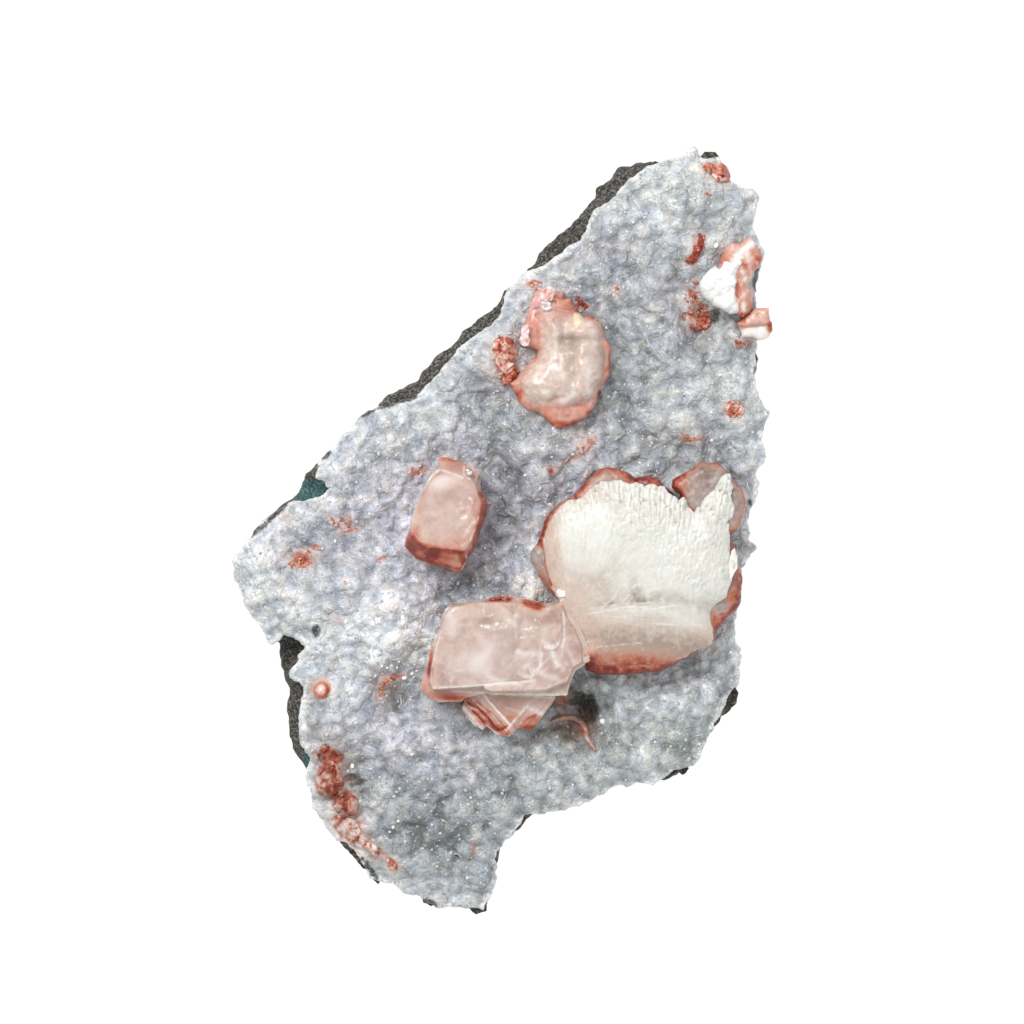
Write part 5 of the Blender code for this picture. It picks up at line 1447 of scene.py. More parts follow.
CAPPED = [
    (45.3, 55.9), (46.4, 55.9), (47.3, 56.6), (48.3, 57.1), (49.2, 56.1), (50, 54.7), (50.7, 53),
    (50.1, 51.3), (49.3, 50.8), (48.6, 49.7), (48.1, 48.2), (47.8, 47.2), (48.7, 46.4), (48.8, 45),
    (48.7, 43.5), (48.1, 42.4), (46.9, 41.6), (46.1, 41.9), (44.6, 43.5), (43, 45), (41.6, 48), (42.3, 51),
    (42.8, 53.1), (43.6, 54.5), (44.4, 55.8),
]
SNOW = [
    (41.6, 51.3), (42.2, 50.5), (42.8, 50.8), (43.7, 52.7), (45.3, 53.1), (46.8, 54.4), (47.8, 55.3),
    (48.4, 55), (48.6, 53.8), (47.3, 52.8), (46.1, 51.4), (45.8, 49.6), (45.3, 47.9), (45.1, 46),
    (45.8, 44.1), (46.2, 42.9), (45.6, 42.4), (44.4, 42.3), (43.1, 42.9), (42.3, 43.5), (41.2, 44.1),
    (40.5, 44.9), (39.4, 45.7), (38.8, 46.9), (38.8, 48.2), (39.5, 49.4), (40.6, 50.5),
]
EDGE = [
    (49.3, 43.3), (50.4, 43.4), (52.1, 43.5), (52.1, 42.6), (52.3, 41), (52.7, 40.6), (52.7, 39.1),
    (52.1, 37.9), (51.1, 37.3), (50, 37.2), (48.9, 37.8), (46.9, 37.8), (46.6, 39), (45.9, 40.4),
    (48.1, 42.3),
]
EDGE_STEP_Y = 39.8  # where the edge block's orange top steps down to its cream front
SNOW_LUMPS = [
    (40.5, 47.8, 1.9, 3.2), (41.8, 48.9, 1.8, 3.1), (41, 46.2, 1.7, 2.9), (42.6, 47, 2, 3.4),
    (44, 50.5, 1.7, 2.7), (44, 48.2, 1.8, 3.2), (43.6, 44.5, 1.9, 3.2), (44.8, 43.5, 1.3, 2.6),
    (42.4, 44.7, 1.6, 2.6), (45.5, 51.9, 1.4, 2.2), (47.3, 53.8, 1.1, 1.6), (44.4, 46, 1.7, 3),
]
BLADES_RIM = 29.0
EDGE_RIM = 27.0
SNOW_FLOOR = 29.2  # between the lumps, whose round bodies begin at SNOW_FOOT
SNOW_FOOT = 28.9
EDGE_CORNERS = [(52.4, 39.8, 0.9, 1.4, 0.8), (46.9, 40.8, 1.6, 1.4, 0.35), (50.4, 42.5, 3, 1.2, 0.2)]


def capped_blade_height(x, y):
    """Height of the pink blades beside the snow-white mass."""
    deep = inset(x, y, CAPPED)
    facets = 0.5 * np.abs(drift(x + y, y - x, 2.4, 151)) + 0.15 * drift(x, y, 0.9, 152)
    return BLADES_RIM + rise_from(deep, 1.6, 1.1) + facets


def snow_height(x, y):
    """Height of the snow-white mass: small lumps heaped together."""
    height = np.full(np.shape(x), SNOW_FLOOR)
    for cx, cy, radius, rise in SNOW_LUMPS:
        inside = 1 - ((x - cx) ** 2 + (y - cy) ** 2) / (radius * 1.25) ** 2
        height = np.maximum(height, SNOW_FOOT + rise * np.sqrt(np.maximum(inside, 0)))
    return height + 0.3 * drift(x, y, 0.9, 153) + 0.16 * drift(x, y, 0.45, 154)


def edge_block_height(x, y):
    """Height of the small block at the crust's edge."""
    deep = inset(x, y, EDGE)
    ledge = 0.9 * eased((y - EDGE_STEP_Y - 0.1 * (x - 49)) / 0.5)
    return EDGE_RIM + rise_from(deep, 0.9, 0.5) + ledge + 0.2 * drift(x, y, 1.0, 155)


BLADE_WHITE = [
    ([(44.8, 51.7), (46.1, 53.8), (47.3, 54.8), (48.5, 55.8)], 0.7, 1),
    ([(46.9, 44.1), (47.1, 42.7)], 0.4, 0.9), ([(47.7, 54.2), (47.9, 52.5)], 0.5, 0.6),
    ([(46.7, 50.5), (47.3, 48.9)], 0.4, 0.5),
]
BLADE_RED = [
    (49.8, 52.5, 1.2, 1.6, 0.35), (46.9, 51.3, 1.4, 1, 0.35), (45.7, 48, 0.5, 4, 0.4),
    (46.7, 41.9, 1.6, 0.8, 0.5), (43.4, 52.5, 1.4, 1.4, 0.3),
]
BLADE_DULL = [(48.1, 45, 1, 2.4, 0.6), (46.9, 50.9, 1.6, 1.2, 0.25)]


def white_capped_pieces():
    """The pink blades and the snow-white mass on them."""
    blade = relief(
        "capped_blades", CAPPED, step=0.22, height=capped_blade_height, wall=9, rows=7, bulge=0.15,
        wobble=0.12, seed=156, sharp=40,
    )
    x, y = places_of(blade)[:2]
    edge = rim(x, y, CAPPED, 0.8)
    streaks = strokes(x, y, BLADE_WHITE) + 0.5 * np.maximum(drift(x * 1.6, y * 0.8, 0.7, 158), 0)
    stain = 0.16 + 0.2 * edge + patches(x, y, BLADE_RED)
    stain = stain + 0.16 * drift(x, y, 2.4, 157) + 0.1 * drift(x, y, 0.7, 160)
    tint(blade, "red", stain * (1 - np.minimum(streaks, 0.9)))
    paint(blade, "pink", 0.7 * np.clip(1 - streaks, 0, 1))
    tint(blade, "white", streaks)
    paint(blade, "shade", patches(x, y, BLADE_DULL))
    snow = relief(
        "snow_mass", SNOW, step=0.2, height=snow_height, wall=4, rows=5, bulge=0.35, wobble=0.16, seed=159,
    )
    return blade, snow


def edge_block():
    """The small orange and cream block that stands out over the edge."""
    obj = relief(
        "edge_block", EDGE, step=0.22, height=edge_block_height, wall=8, rows=6, bulge=0.1, wobble=0.12,
        seed=161, sharp=40,
    )
    x, y = places_of(obj)[:2]
    front = eased((EDGE_STEP_Y - y + 0.1 * (x - 49)) / 0.7)
    corner = patches(x, y, EDGE_CORNERS)
    tint(obj, "red", (0.12 + 0.1 * drift(x, y, 2, 162)) * (1 - front) + corner)
    tint(obj, "pink", 0.55 * (1 - front))
    tint(obj, "white", 0.2 + 0.8 * front * (1 - corner) + 0.2 * drift(x, y, 0.8, 163))
    return obj


# ---------------------------------------------------------------- small crystals

# Knots of small crystals grown together: name, the CAD node it stands for, outline, how far it stands up,
# size of its crystals, how red it is, how far its sides go down, and how brown it is.
KNOTS = [
    ("red_tuft", "red_tuft_crystal", [
        (-1.8, 35.6), (-1.2, 37), (0.8, 38), (2.4, 37.4), (2.8, 35.8), (2.8, 34.4), (1.9, 33), (2.8, 32.4),
        (3.6, 31.2), (2.8, 30), (1.8, 29), (0.4, 28.2), (-0.4, 29.2), (0, 29.8), (-0.8, 31), (-1.2, 32.8),
        (-1.4, 34.4),
    ], 1.3, 1, 0.42, 4.5, 0),
    ("red_speckles", "red_cluster", [
        (38.1, 41.5), (39.3, 42.5), (40.3, 42.3), (41, 41.5), (40.9, 40.2), (39.9, 39.4), (38.5, 39),
        (37.1, 39), (36.4, 39.8), (36.8, 40.6), (37.7, 40.8),
    ], 0.8, 0.6, 0.55, 4, 0),
    ("red_fin", "red_crescent", [
        (38.6, 57.8), (39.2, 57.4), (39.4, 56.6), (39.4, 55.2), (38.9, 54.1), (38.1, 53.1), (37.4, 52.3),
        (36.5, 52.2), (35.9, 52.7), (36.8, 53.1), (37.6, 53.5), (37.6, 54.4), (38.2, 55.4), (38.4, 56.6),
    ], 0.7, 0.45, 0.8, 4, 0),
    ("corner_tuft", "corner_crystal", [
        (39.1, 71.8), (40.5, 71.7), (41.6, 71.3), (43, 71.7), (44, 71.1), (44.6, 69.8), (44.5, 68.6),
        (43.8, 68.2), (42.4, 68.3), (41.2, 69.2), (41, 70.2), (39.9, 70.8),
    ], 1.4, 1.1, 0.5, 4, 0),
    ("ridge_head", "red_ridge", [
        (-35.3, -42.3), (-34.4, -41.6), (-33.2, -42.2), (-32.5, -43.7), (-31.2, -44), (-31, -45.4),
        (-31.5, -47), (-31.2, -48.8), (-31.1, -50.3), (-30.1, -51.1), (-28.8, -52), (-28.2, -53.6),
        (-28.4, -55.2), (-29.2, -55.5), (-30.3, -54.8), (-31.9, -54.9), (-32.9, -53.6), (-32.2, -52.3),
        (-33.8, -51.7), (-35.7, -51.4), (-36.1, -50.1), (-36.2, -48.4), (-35.6, -46.6), (-35.1, -44.7),
        (-35.8, -43.7),
    ], 1.2, 1.5, 0.5, 5, 0.27),
    ("ridge_foot", None, [
        (-33.1, -56.7), (-31.7, -55.9), (-30.1, -56), (-28.6, -56.9), (-27.8, -58.1), (-26.6, -59.9),
        (-25.6, -61.2), (-24.1, -61.5), (-24.2, -62.8), (-24.1, -64), (-25.4, -63.6), (-26.4, -62.3),
        (-28.2, -61.8), (-30.1, -60.6), (-31.7, -59.3), (-32.9, -57.9),
    ], 0.8, 1.1, 0.2, 4, 0.08),
    ("ridge_end", None, [
        (-22.5, -64.2), (-21.4, -64.4), (-20.7, -65.1), (-20.4, -66.3), (-21.1, -66.6), (-21.9, -65.8),
    ], 0.6, 0.6, 0.5, 3, 0.1),
    ("pink_disc", None, [
        (43.6, 24.2), (44.6, 25.1), (46.1, 25.2), (47.1, 24.4), (47, 23.2), (46.1, 22.1), (44.8, 22.3),
        (43.8, 23.1),
    ], 0.4, 0.5, 0.36, 2.5, 0.1),
]
# A thin red-brown fin along the cave's edge.
CAVE_FIN = [
    (9.8, -37.2), (11.4, -36.8), (12.9, -36.5), (14.3, -36.7), (15.7, -37.4), (16.4, -38.8), (16.7, -40.4),
    (17.5, -41.5), (18.2, -42.7),
]


def knot_height(x, y, outline, rise, size, seed, ground):
    """Height of small crystals packed together, each with a flat leaning top, and each point's crystal."""
    rng = np.random.default_rng(seed)
    left, near = np.min(outline, axis=0)
    right, far = np.max(outline, axis=0)
    count = int((right - left) * (far - near) / (size * size) * 2.6) + 4
    best = np.full(np.shape(x), -9.0)
    owner = np.zeros(np.shape(x), int)
    rim = np.zeros(np.shape(x))
    for index in range(count):
        cx, cy = rng.uniform((left, near), (right, far))
        turn = rng.uniform(0, math.tau)
        half_u, half_v = size * rng.uniform(0.5, 1.1), size * rng.uniform(0.3, 0.7)
        u = (x - cx) * math.cos(turn) + (y - cy) * math.sin(turn)
        v = (y - cy) * math.cos(turn) - (x - cx) * math.sin(turn)
        away = np.maximum(np.abs(u) / half_u, np.abs(v) / half_v)
        top = rng.uniform(0.0, 0.9) * rise + u * rng.normal(0, 0.35) + v * rng.normal(0, 0.35)
        here = top - 2.2 * size * np.maximum(0, away - 1)
        owner = np.where(here > best, index, owner)
        rim = np.where(here > best, away, rim)
        best = np.maximum(best, here)
    swell = rise_from(inset(x, y, outline), 0.8 * rise, 0.7)
    return read_map(ground, x, y) + swell + np.maximum(best, -0.3), owner, rim


def crystal_knot(name, outline, rise, size, redness, wall, brown, seed, ground):
    """A knot of small crystals grown together, each redder along its rim."""
    obj = relief(
        name, outline, step=0.16,
        height=lambda x, y: knot_height(x, y, outline, rise, size, seed, ground)[0], wall=wall, rows=6,
        bulge=0.15, wobble=0.35, seed=seed, sharp=28,
    )
    x, y = places_of(obj)[:2]
    owner, rim = knot_height(x, y, outline, rise, size, seed, ground)[1:]
    own = np.random.default_rng(seed + 1).normal(0, 0.12, owner.max() + 1)[owner]
    mottled = 0.22 * drift(x, y, 1.1, seed) + 0.18 * drift(x, y, 0.5, seed + 2)
    red = redness + own + mottled + 0.55 * (np.clip(rim, 0, 1.3) - 0.75)
    paint(obj, "red", np.clip(red, 0.02, 1))
    paint(obj, "white", 0.75 * np.clip(0.85 - 1.6 * red, 0, 1))
    tint(obj, "pink", 0.3 + 0.6 * red)
    paint(obj, "umber", brown * np.clip(1 + 1.2 * drift(x, y, 0.8, seed + 3), 0, 2))
    return obj


def cave_fin(ground):
    """The thin fin that stands along the cave's edge."""
    line = np.array(walked(CAVE_FIN, 0.4, closed=False))
    along = np.gradient(line, axis=0)
    normal = np.stack([-along[:, 1], along[:, 0]], axis=1) / np.linalg.norm(along, axis=1)[:, None]
    share = np.linspace(0, 1, len(line))
    half = (0.14 + 0.42 * np.sin(math.pi * share) ** 0.5)[:, None]
    outline = [tuple(p) for p in (line + normal * half).tolist() + (line - normal * half).tolist()[::-1]]

    def height(x, y):
        frilled = 0.5 * np.abs(drift(x, y, 1.4, 175))
        edge = rim(x, y, outline, 0.2)
        return read_map(ground, x, y) + 1.6 + frilled - 0.6 * edge

    obj = relief(
        "cave_fin", outline, step=0.18, height=height, wall=4.5, rows=6, bulge=0.0, wobble=0.04, seed=176,
    )
    x, y = places_of(obj)[:2]
    paint(obj, "red", np.clip(0.16 + 0.4 * drift(x, y, 1.1, 177), 0.02, 1))
    paint(obj, "pink", 0.5 + 0 * x)
    tint(obj, "white", 0.1 + 0.5 * drift(x, y, 0.8, 178))
    tint(obj, "shade", 0.55 + 0.4 * drift(x, y, 1.0, 179))
    return obj


# Loose small tablets: name, how red, the height that they stand at or 0 for the crust's own, and
# (x, y, spread, how many, length) for each handful.
LOOSE_GROUPS = [
    ("dark_red_shards", 1.15, 28.8, [
        (15.1, 44.1, 0.5, 8, 1.1), (16.1, 43.7, 0.4, 7, 1), (14.7, 43.1, 0.3, 4, 0.9),
    ]),
    ("block_edge_reds", 0.7, 33.4, [
        (-1.9, -13, 0.3, 4, 0.8), (-0.3, -12.8, 0.4, 5, 0.9), (1.3, -12.9, 0.3, 4, 0.8),
        (5.2, -13.8, 0.3, 4, 0.8), (6.5, -14.2, 0.4, 5, 0.9), (7.7, -14.8, 0.3, 4, 0.8),
    ]),
    ("pale_cubes", -0.6, 31.2, [
        (-6.5, 11.5, 0.3, 3, 1.2), (11.2, -12.1, 0.3, 3, 1.2), (-6.1, 11.1, 0.3, 2, 1),
    ]),
    ("left_tufts", 0.6, 0, [
        (-39.1, -5.5, 0.8, 8, 0.8), (-37.5, -4.1, 0.5, 5, 0.7), (-40.7, -6.4, 0.5, 4, 0.7),
        (-30.9, 2.1, 0.7, 5, 0.7), (-29.5, 0.8, 0.5, 4, 0.7), (-32.5, 1.6, 0.4, 3, 0.7),
        (-22.7, -29.6, 0.5, 6, 0.8), (-21.5, -28.7, 0.4, 5, 0.8), (-23.5, -31.4, 0.4, 5, 0.8),
        (-16.9, 11.3, 0.9, 8, 0.8),
    ]),
    ("upper_tufts", 0.7, 0, [
        (36.8, 17.7, 0.6, 5, 0.7), (15.7, 15.6, 0.6, 6, 0.7), (17.3, 17.2, 0.5, 6, 0.7),
        (9.3, 11.9, 0.5, 6, 0.8), (22.5, 47.2, 0.3, 4, 0.6), (6.3, 48.2, 0.7, 6, 0.7),
        (37.7, 48.4, 0.4, 8, 0.8), (37, 46.6, 0.6, 10, 0.8), (37.9, 45.2, 0.7, 10, 0.9),
        (38.9, 43.9, 0.8, 10, 0.9), (39.5, 42.9, 0.7, 8, 1), (35.4, 41.9, 0.5, 8, 0.8),
        (36.8, 42.5, 0.5, 5, 0.8), (46.5, 36.9, 0.7, 8, 0.8), (36.2, 44.9, 0.5, 5, 0.8),
        (40.3, 65.7, 0.4, 4, 0.7), (37.5, 55.4, 0.4, 4, 0.7),
    ]),
]
ROSETTE = (-35.2, -30.8, 2.0)  # x, y and radius of the small rosette
RING_RADIUS = 1.35  # of the orange ring on it
# Bright flat faces that catch the light and are also painted the whitest, a painted highlight: (x, y, size).
GLINTS = [
    (19.8, -37.2, 0.9), (-19.2, -16.8, 0.6), (-23.3, -26.3, 0.35), (-22.3, -26.7, 0.35), (-21.4, -26.3, 0.4),
    (-20.4, -26.7, 0.35), (-20, -25.5, 0.3), (-19, -28.7, 0.6), (-17.5, -27.9, 0.5), (-16.5, -27.3, 0.4),
    (-30.3, -17.7, 0.5), (13.9, -49.5, 0.35), (9.5, 5.1, 0.6), (41.8, 55.6, 0.7), (-29.2, -46, 0.6),
    (-30.1, -47, 0.4), (9.8, 14.4, 0.35), (4.6, 10.9, 0.45), (-21.2, -57.9, 0.5), (-20.2, -56.7, 0.4),
    (-21.9, -58.9, 0.4), (8.5, 3.1, 0.4), (-0.3, -24.2, 0.3), (-35, 6.6, 0.5), (22.3, 27.1, 0.35),
    (27, 13.3, 0.4), (28.6, 12.7, 0.3), (-25.6, -46.6, 0.3), (-11.6, -39.8, 0.3), (29.9, -41.1, 0.35),
    (38.7, -21.3, 0.3), (-32.5, -2, 0.45), (-15.9, 12.7, 0.3), (-27.4, 6.6, 0.5),
]


def shard(centre, length, width, thick, turn):
    """Points and faces of one small bevelled tablet."""
    half = length / 2
    profile = [(-width, -half * 0.5), (-width * 0.45, -half), (width * 0.45, -half), (width, -half * 0.5),
               (width, half * 0.5), (width * 0.45, half), (-width * 0.45, half), (-width, half * 0.5)]
    points = []
    for level, share in ((-thick, 0.75), (-thick * 0.55, 1.0), (thick * 0.55, 1.0), (thick, 0.75)):
        points += [turn @ Vector((px * share, py * share, level)) + centre for px, py in profile]
    faces = [tuple(range(7, -1, -1)), tuple(range(24, 32))]
    for layer in range(3):
        for index in range(8):
            after = (index + 1) % 8
            faces.append((layer * 8 + index, layer * 8 + after, layer * 8 + 8 + after, layer * 8 + 8 + index))
    return points, faces


def add_shard(points, faces, *shape):
    """Add one small tablet to a growing mesh."""
    made, sides = shard(*shape)
    faces += [tuple(index + len(points) for index in face) for face in sides]
    points += made


def shard_group(name, spots, base, deep, ground, seed):
    """Handfuls of small tablets, each standing in what carries it."""
    rng = np.random.default_rng(seed)
    points = []
    faces = []
    shades = []
    for x, y, spread, count, length in spots:
        for _ in range(count):
            px, py = rng.normal((x, y), spread * 0.75)
            size = length * rng.uniform(0.6, 1.25)
            pz = base or float(read_map(ground, np.array(px), np.array(py)))
            heading = Matrix.Rotation(rng.uniform(0, math.tau), 3, "Z")
            lean = Matrix.Rotation(math.radians(rng.uniform(25, 88)), 3, "X")
            roll = Matrix.Rotation(rng.uniform(0, math.tau), 3, "Y")
            centre = Vector((px, py, pz + size * rng.uniform(0.05, 0.3)))
            width = size * rng.uniform(0.26, 0.4)
            thick = size * rng.uniform(0.09, 0.16)
            add_shard(points, faces, centre, size, width, thick, heading @ lean @ roll)
            shades += [deep + rng.normal(0, 0.22)] * SHARD_POINTS
    obj = mesh_piece(name, [tuple(point) for point in points], faces, smooth=False)
    paint(obj, "deep_red", shades)
    return obj


def glints(ground):
    """The few larger clear faces on the druse that catch the light."""
    rng = np.random.default_rng(172)
    points = []
    faces = []
    for x, y, size in GLINTS:
        pz = float(read_map(ground, np.array(x), np.array(y))) + 0.3 * size
        heading = Matrix.Rotation(rng.uniform(0, math.tau), 3, "Z")
        lean = Matrix.Rotation(rng.uniform(0.1, 0.5), 3, "X")
        add_shard(points, faces, Vector((x, y, pz)), size * 1.5, size * 0.55, size * 0.3, heading @ lean)
    obj = mesh_piece("bright_faces", [tuple(point) for point in points], faces, smooth=False)
    # glint 1 gives them the whitest colour: a painted highlight.
    paint(obj, "glint", [1.0] * len(points))
    return obj


def ring_rosette(ground):
    """The small rosette at the -X side: an orange ring round a pale, domed core."""
    cx, cy, reach = ROSETTE
    outline = [(cx + reach * math.cos(a * 0.5), cy + reach * math.sin(a * 0.5)) for a in range(12)]

    def height(x, y):
        r = np.hypot(x - cx, y - cy)
        core = 1.3 * np.exp(-((r / 0.8) ** 2))
        ring = 0.7 * np.exp(-(((r - RING_RADIUS) / 0.35) ** 2))
        return read_map(ground, x, y) + 0.5 + core + ring + 0.15 * drift(x, y, 0.6, 171)

    obj = relief(
        "ring_rosette", outline, step=0.16, height=height, wall=4, rows=5, bulge=0.1, wobble=0.2, seed=172,
        sharp=35,
    )
    x, y = places_of(obj)[:2]
    r = np.hypot(x - cx, y - cy)
    turned = 0.7 + 0.4 * np.cos(np.arctan2(y - cy, x - cx) + 0.7) + 0.3 * drift(x, y, 0.5, 173)
    ring = 0.62 * np.exp(-(((r - RING_RADIUS) / 0.45) ** 2))
    tint(obj, "red", ring * turned + 0.14)
    paint(obj, "white", np.exp(-((r / 1.0) ** 2)))
    paint(obj, "shade", 0.25 * (r > 1.7))
    return obj


def scattered(rng, count):
    """Random places over the whole druse."""
    return [rng.uniform(low, high, count) for low, high in zip(DRUSE_LOW, DRUSE_HIGH)]


def repeated(sides, count, size):
    """The faces of many copies of one small shape of this many points."""
    firsts = np.arange(count) * size
    return (np.array(sides)[None] + firsts[:, None, None]).reshape(-1, len(sides[0])).tolist()


def wisps(ground):
    """Fine curved blades on the druse, the edges of thin shells that grew one over another."""
    rng = np.random.default_rng(185)
    x, y = scattered(rng, WISPS * 3)
    open_druse = (inset(x, y, CRUST_OUTLINE) > 1.0) & (patches(x, y, CRUST_DARK) < 0.2)
    kept = np.flatnonzero(open_druse)[:WISPS]
    count = len(kept)
    steps = np.linspace(-0.5, 0.5, 6)
    turn = 2.6 * math.pi * drift(x[kept], y[kept], 5.0, 186) + rng.normal(0, 0.45, count)
    curve = rng.normal(1.2, 1.2, count)
    length = rng.uniform(0.8, 2.6, count)
    heading = turn[:, None] + curve[:, None] * steps
    run_x = np.cos(turn)[:, None] * length[:, None] * steps
    run_y = np.sin(turn)[:, None] * length[:, None] * steps
    line_x = x[kept, None] + run_x - np.sin(heading) * 0.35 * curve[:, None]
    line_y = y[kept, None] + run_y + np.cos(heading) * 0.35 * curve[:, None]
    width = rng.uniform(0.10, 0.24, count)[:, None] * (1 - (2 * np.abs(steps)) ** 3)
    rise = rng.uniform(0.08, 0.24, count)[:, None] * (1 - (2 * np.abs(steps)) ** 2 * 0.6)
    lean = rng.normal(0, 0.12, count)[:, None]
    across_x = -np.sin(turn)[:, None]
    across_y = np.cos(turn)[:, None]
    level = read_map(ground, line_x, line_y)
    left = np.stack([line_x + across_x * width, line_y + across_y * width, level - 0.12], axis=2)
    right = np.stack([line_x - across_x * width, line_y - across_y * width, level - 0.12], axis=2)
    crest = np.stack([line_x + across_x * lean, line_y + across_y * lean, level + rise], axis=2)
    points = np.stack([left, crest, right], axis=2).reshape(-1, 3)
    sides = []
    for step in range(5):
        for corner in range(3):
            here = step * 3 + corner
            after = step * 3 + (corner + 1) % 3
            sides.append((here, after, after + 3, here + 3))
    obj = mesh_piece("druse_wisps", points, repeated(sides, count, WISP_POINTS), smooth=False)
    paint(obj, "glint", np.repeat(0.25 + 0.6 * rng.random(count), WISP_POINTS))
    return obj


def quartz_points(ground):
    """Thousands of tiny six-sided points on the druse, that give it its frosted look."""
    rng = np.random.default_rng(181)
    x, y = scattered(rng, QUARTZ_TRIES)
    keep = (inset(x, y, CRUST_OUTLINE) > 0.5) & (patches(x, y, CRUST_DARK) < 0.3)
    x, y = x[keep], y[keep]
    count = len(x)
    z = read_map(ground, x, y)
    size = rng.uniform(0.16, 0.36, count) * (1 + 0.4 * (rng.random(count) < 0.05))
    lean = rng.normal(0, 0.45, (count, 2))
    turn = rng.uniform(0, math.tau, count)
    corners = turn[:, None] + np.arange(6) * math.tau / 6
    ring = np.stack([np.cos(corners), np.sin(corners), np.zeros_like(corners)], axis=2) * size[:, None, None]
    ring[:, :, 2] -= ring[:, :, 0] * lean[:, :1] + ring[:, :, 1] * lean[:, 1:]
    length = size * rng.uniform(0.9, 1.5, count)
    tip = np.stack([lean[:, 0], lean[:, 1], np.ones(count)], axis=1) * length[:, None]
    foot = -tip * 0.4
    middle = np.stack([x, y, z - 0.05], axis=1)[:, None]
    points = np.concatenate([ring + middle, tip[:, None] + middle, foot[:, None] + middle], axis=1)
    sides = [(i, (i + 1) % 6, 6) for i in range(6)] + [((i + 1) % 6, i, 7) for i in range(6)]
    faces = repeated(sides, count, QUARTZ_CORNERS)
    obj = mesh_piece("quartz_points", points.reshape(-1, 3), faces, smooth=False)
    paint(obj, "glint", np.repeat(rng.random(count), QUARTZ_CORNERS))
    return obj


# ---------------------------------------------------------------- the basalt


def basalt_piece():
    """The broken slab of basalt, with rough fracture faces."""
    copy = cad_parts["basalt_matrix"].data.copy()
    obj = bpy.data.objects.new("broken_slab", copy)
    bpy.context.scene.collection.objects.link(obj)
    even = obj.modifiers.new("even", "REMESH")
    even.mode = "VOXEL"
    even.voxel_size = BASALT_VOXEL * MM
    bpy.context.view_layer.update()
    solid = bpy.data.meshes.new_from_object(obj.evaluated_get(bpy.context.evaluated_depsgraph_get()))
    obj.modifiers.clear()
    obj.data = solid
    x, y, z = places_of(obj)
    normals = np.zeros(len(x) * 3)
    solid.vertices.foreach_get("normal", normals)
    normals = normals.reshape(-1, 3)
    broad = np.abs(drift_3d(x, y, z, 6.5, 191)) * -1.4 + 0.5
    rough = 0.5 * drift_3d(x, y, z, 2.4, 192) + 0.4 * drift_3d(x, y, z, 1.2, 193)
    push = (broad + rough) * eased(z / 2.0)
    put_back(obj, x + normals[:, 0] * push, y + normals[:, 1] * push, z + normals[:, 2] * push)
    solid.shade_smooth()
    solid.set_sharp_from_angle(angle=math.radians(38))
    tint(obj, "teal", patches(x, y, TEAL_PATCHES) + 0.25 * drift_3d(x, y, z, 3, 194))
    return obj


def rock_slivers(ground, rock):
    """Thin breaks of the slab that show below the crust's edge."""
    for index, outline in enumerate(ROCK_SLIVERS):
        def height(x, y):
            return read_map(ground, x, y) - 1.4 + 0.4 * drift(x, y, 1.2, 201)

        obj = relief(
            "slab_sliver_%d" % (index + 1), outline, step=0.3, height=height, wall=4.5, rows=5, bulge=0.0,
            wobble=0.35, seed=SLIVER_SEED + index, sharp=35,
        )
        x, y = places_of(obj)[:2]
        tint(obj, "teal", patches(x, y, TEAL_PATCHES))
        wear(obj, rock, "basalt")


# ---------------------------------------------------------------- materials


def effect(name, inputs, outputs):
    """An empty node group for an effect that several materials share, its input node and its output node."""
    group = bpy.data.node_groups.new(name, "ShaderNodeTree")
    for label, kind, value in inputs:
        socket = group.interface.new_socket(label, in_out="INPUT", socket_type=kind)
        socket.default_value = value
    for label, kind in outputs:
        group.interface.new_socket(label, in_out="OUTPUT", socket_type=kind)
    return group, group.nodes.new("NodeGroupInput"), group.nodes.new("NodeGroupOutput")


def rust_effect():
    """Iron stain: a colour turned orange where the stain is weak and deep red where it is strong."""
    group, given, result = effect(
        "iron_rust",
        [("Colour", "NodeSocketColor", (1, 1, 1, 1)), ("Amount", "NodeSocketFloat", 0.0)],
        [("Colour", "NodeSocketColor")],
    )
    speck = cloud(group, 0.7, 4.0, 0.7, 0.6)
    uneven = times(group, maths(group, "SUBTRACT", speck, 0.5), 1.3)
    amount = given.outputs["Amount"]
    level = plus(group, amount, times(group, uneven, amount), clamp=True)
    red = ramp(group, level, [
        (0.0, (0.84, 0.56, 0.44)), (0.25, (0.68, 0.34, 0.25)), (0.5, (0.52, 0.153, 0.08)),
        (0.75, (0.35, 0.050, 0.022)), (1.0, (0.21, 0.014, 0.008)),
    ])
    share = spread(group, level, 0.0, 0.5, 0.0, 0.96)
    group.links.new(blend(group, share, given.outputs["Colour"], red), result.inputs["Colour"])
    return group


def apply(tree, group, **inputs):
    """One use of a shared effect; gives its first output."""
    made = tree.nodes.new("ShaderNodeGroup")
    made.node_tree = group
    for name, value in inputs.items():
        if isinstance(value, bpy.types.NodeSocket):
            tree.links.new(value, made.inputs[name])
        else:
            made.inputs[name].default_value = value
    return made.outputs[0]


def surface(tree, shader, colour, **settings):
    """Give a material its colour and set the constants of its shader, such as Coat_Weight=0.2."""
    tree.links.new(colour, shader.inputs["Base Color"])
    for name, value in settings.items():
        shader.inputs[name.replace("_", " ")].default_value = value


def soften_inside(shader, weight, radius, reach):
    """Light that travels inside a material: its share, its reach for each colour, and its size in mm."""
    shader.inputs["Subsurface Weight"].default_value = weight
    shader.inputs["Subsurface Radius"].default_value = radius
    shader.inputs["Subsurface Scale"].default_value = reach * MM


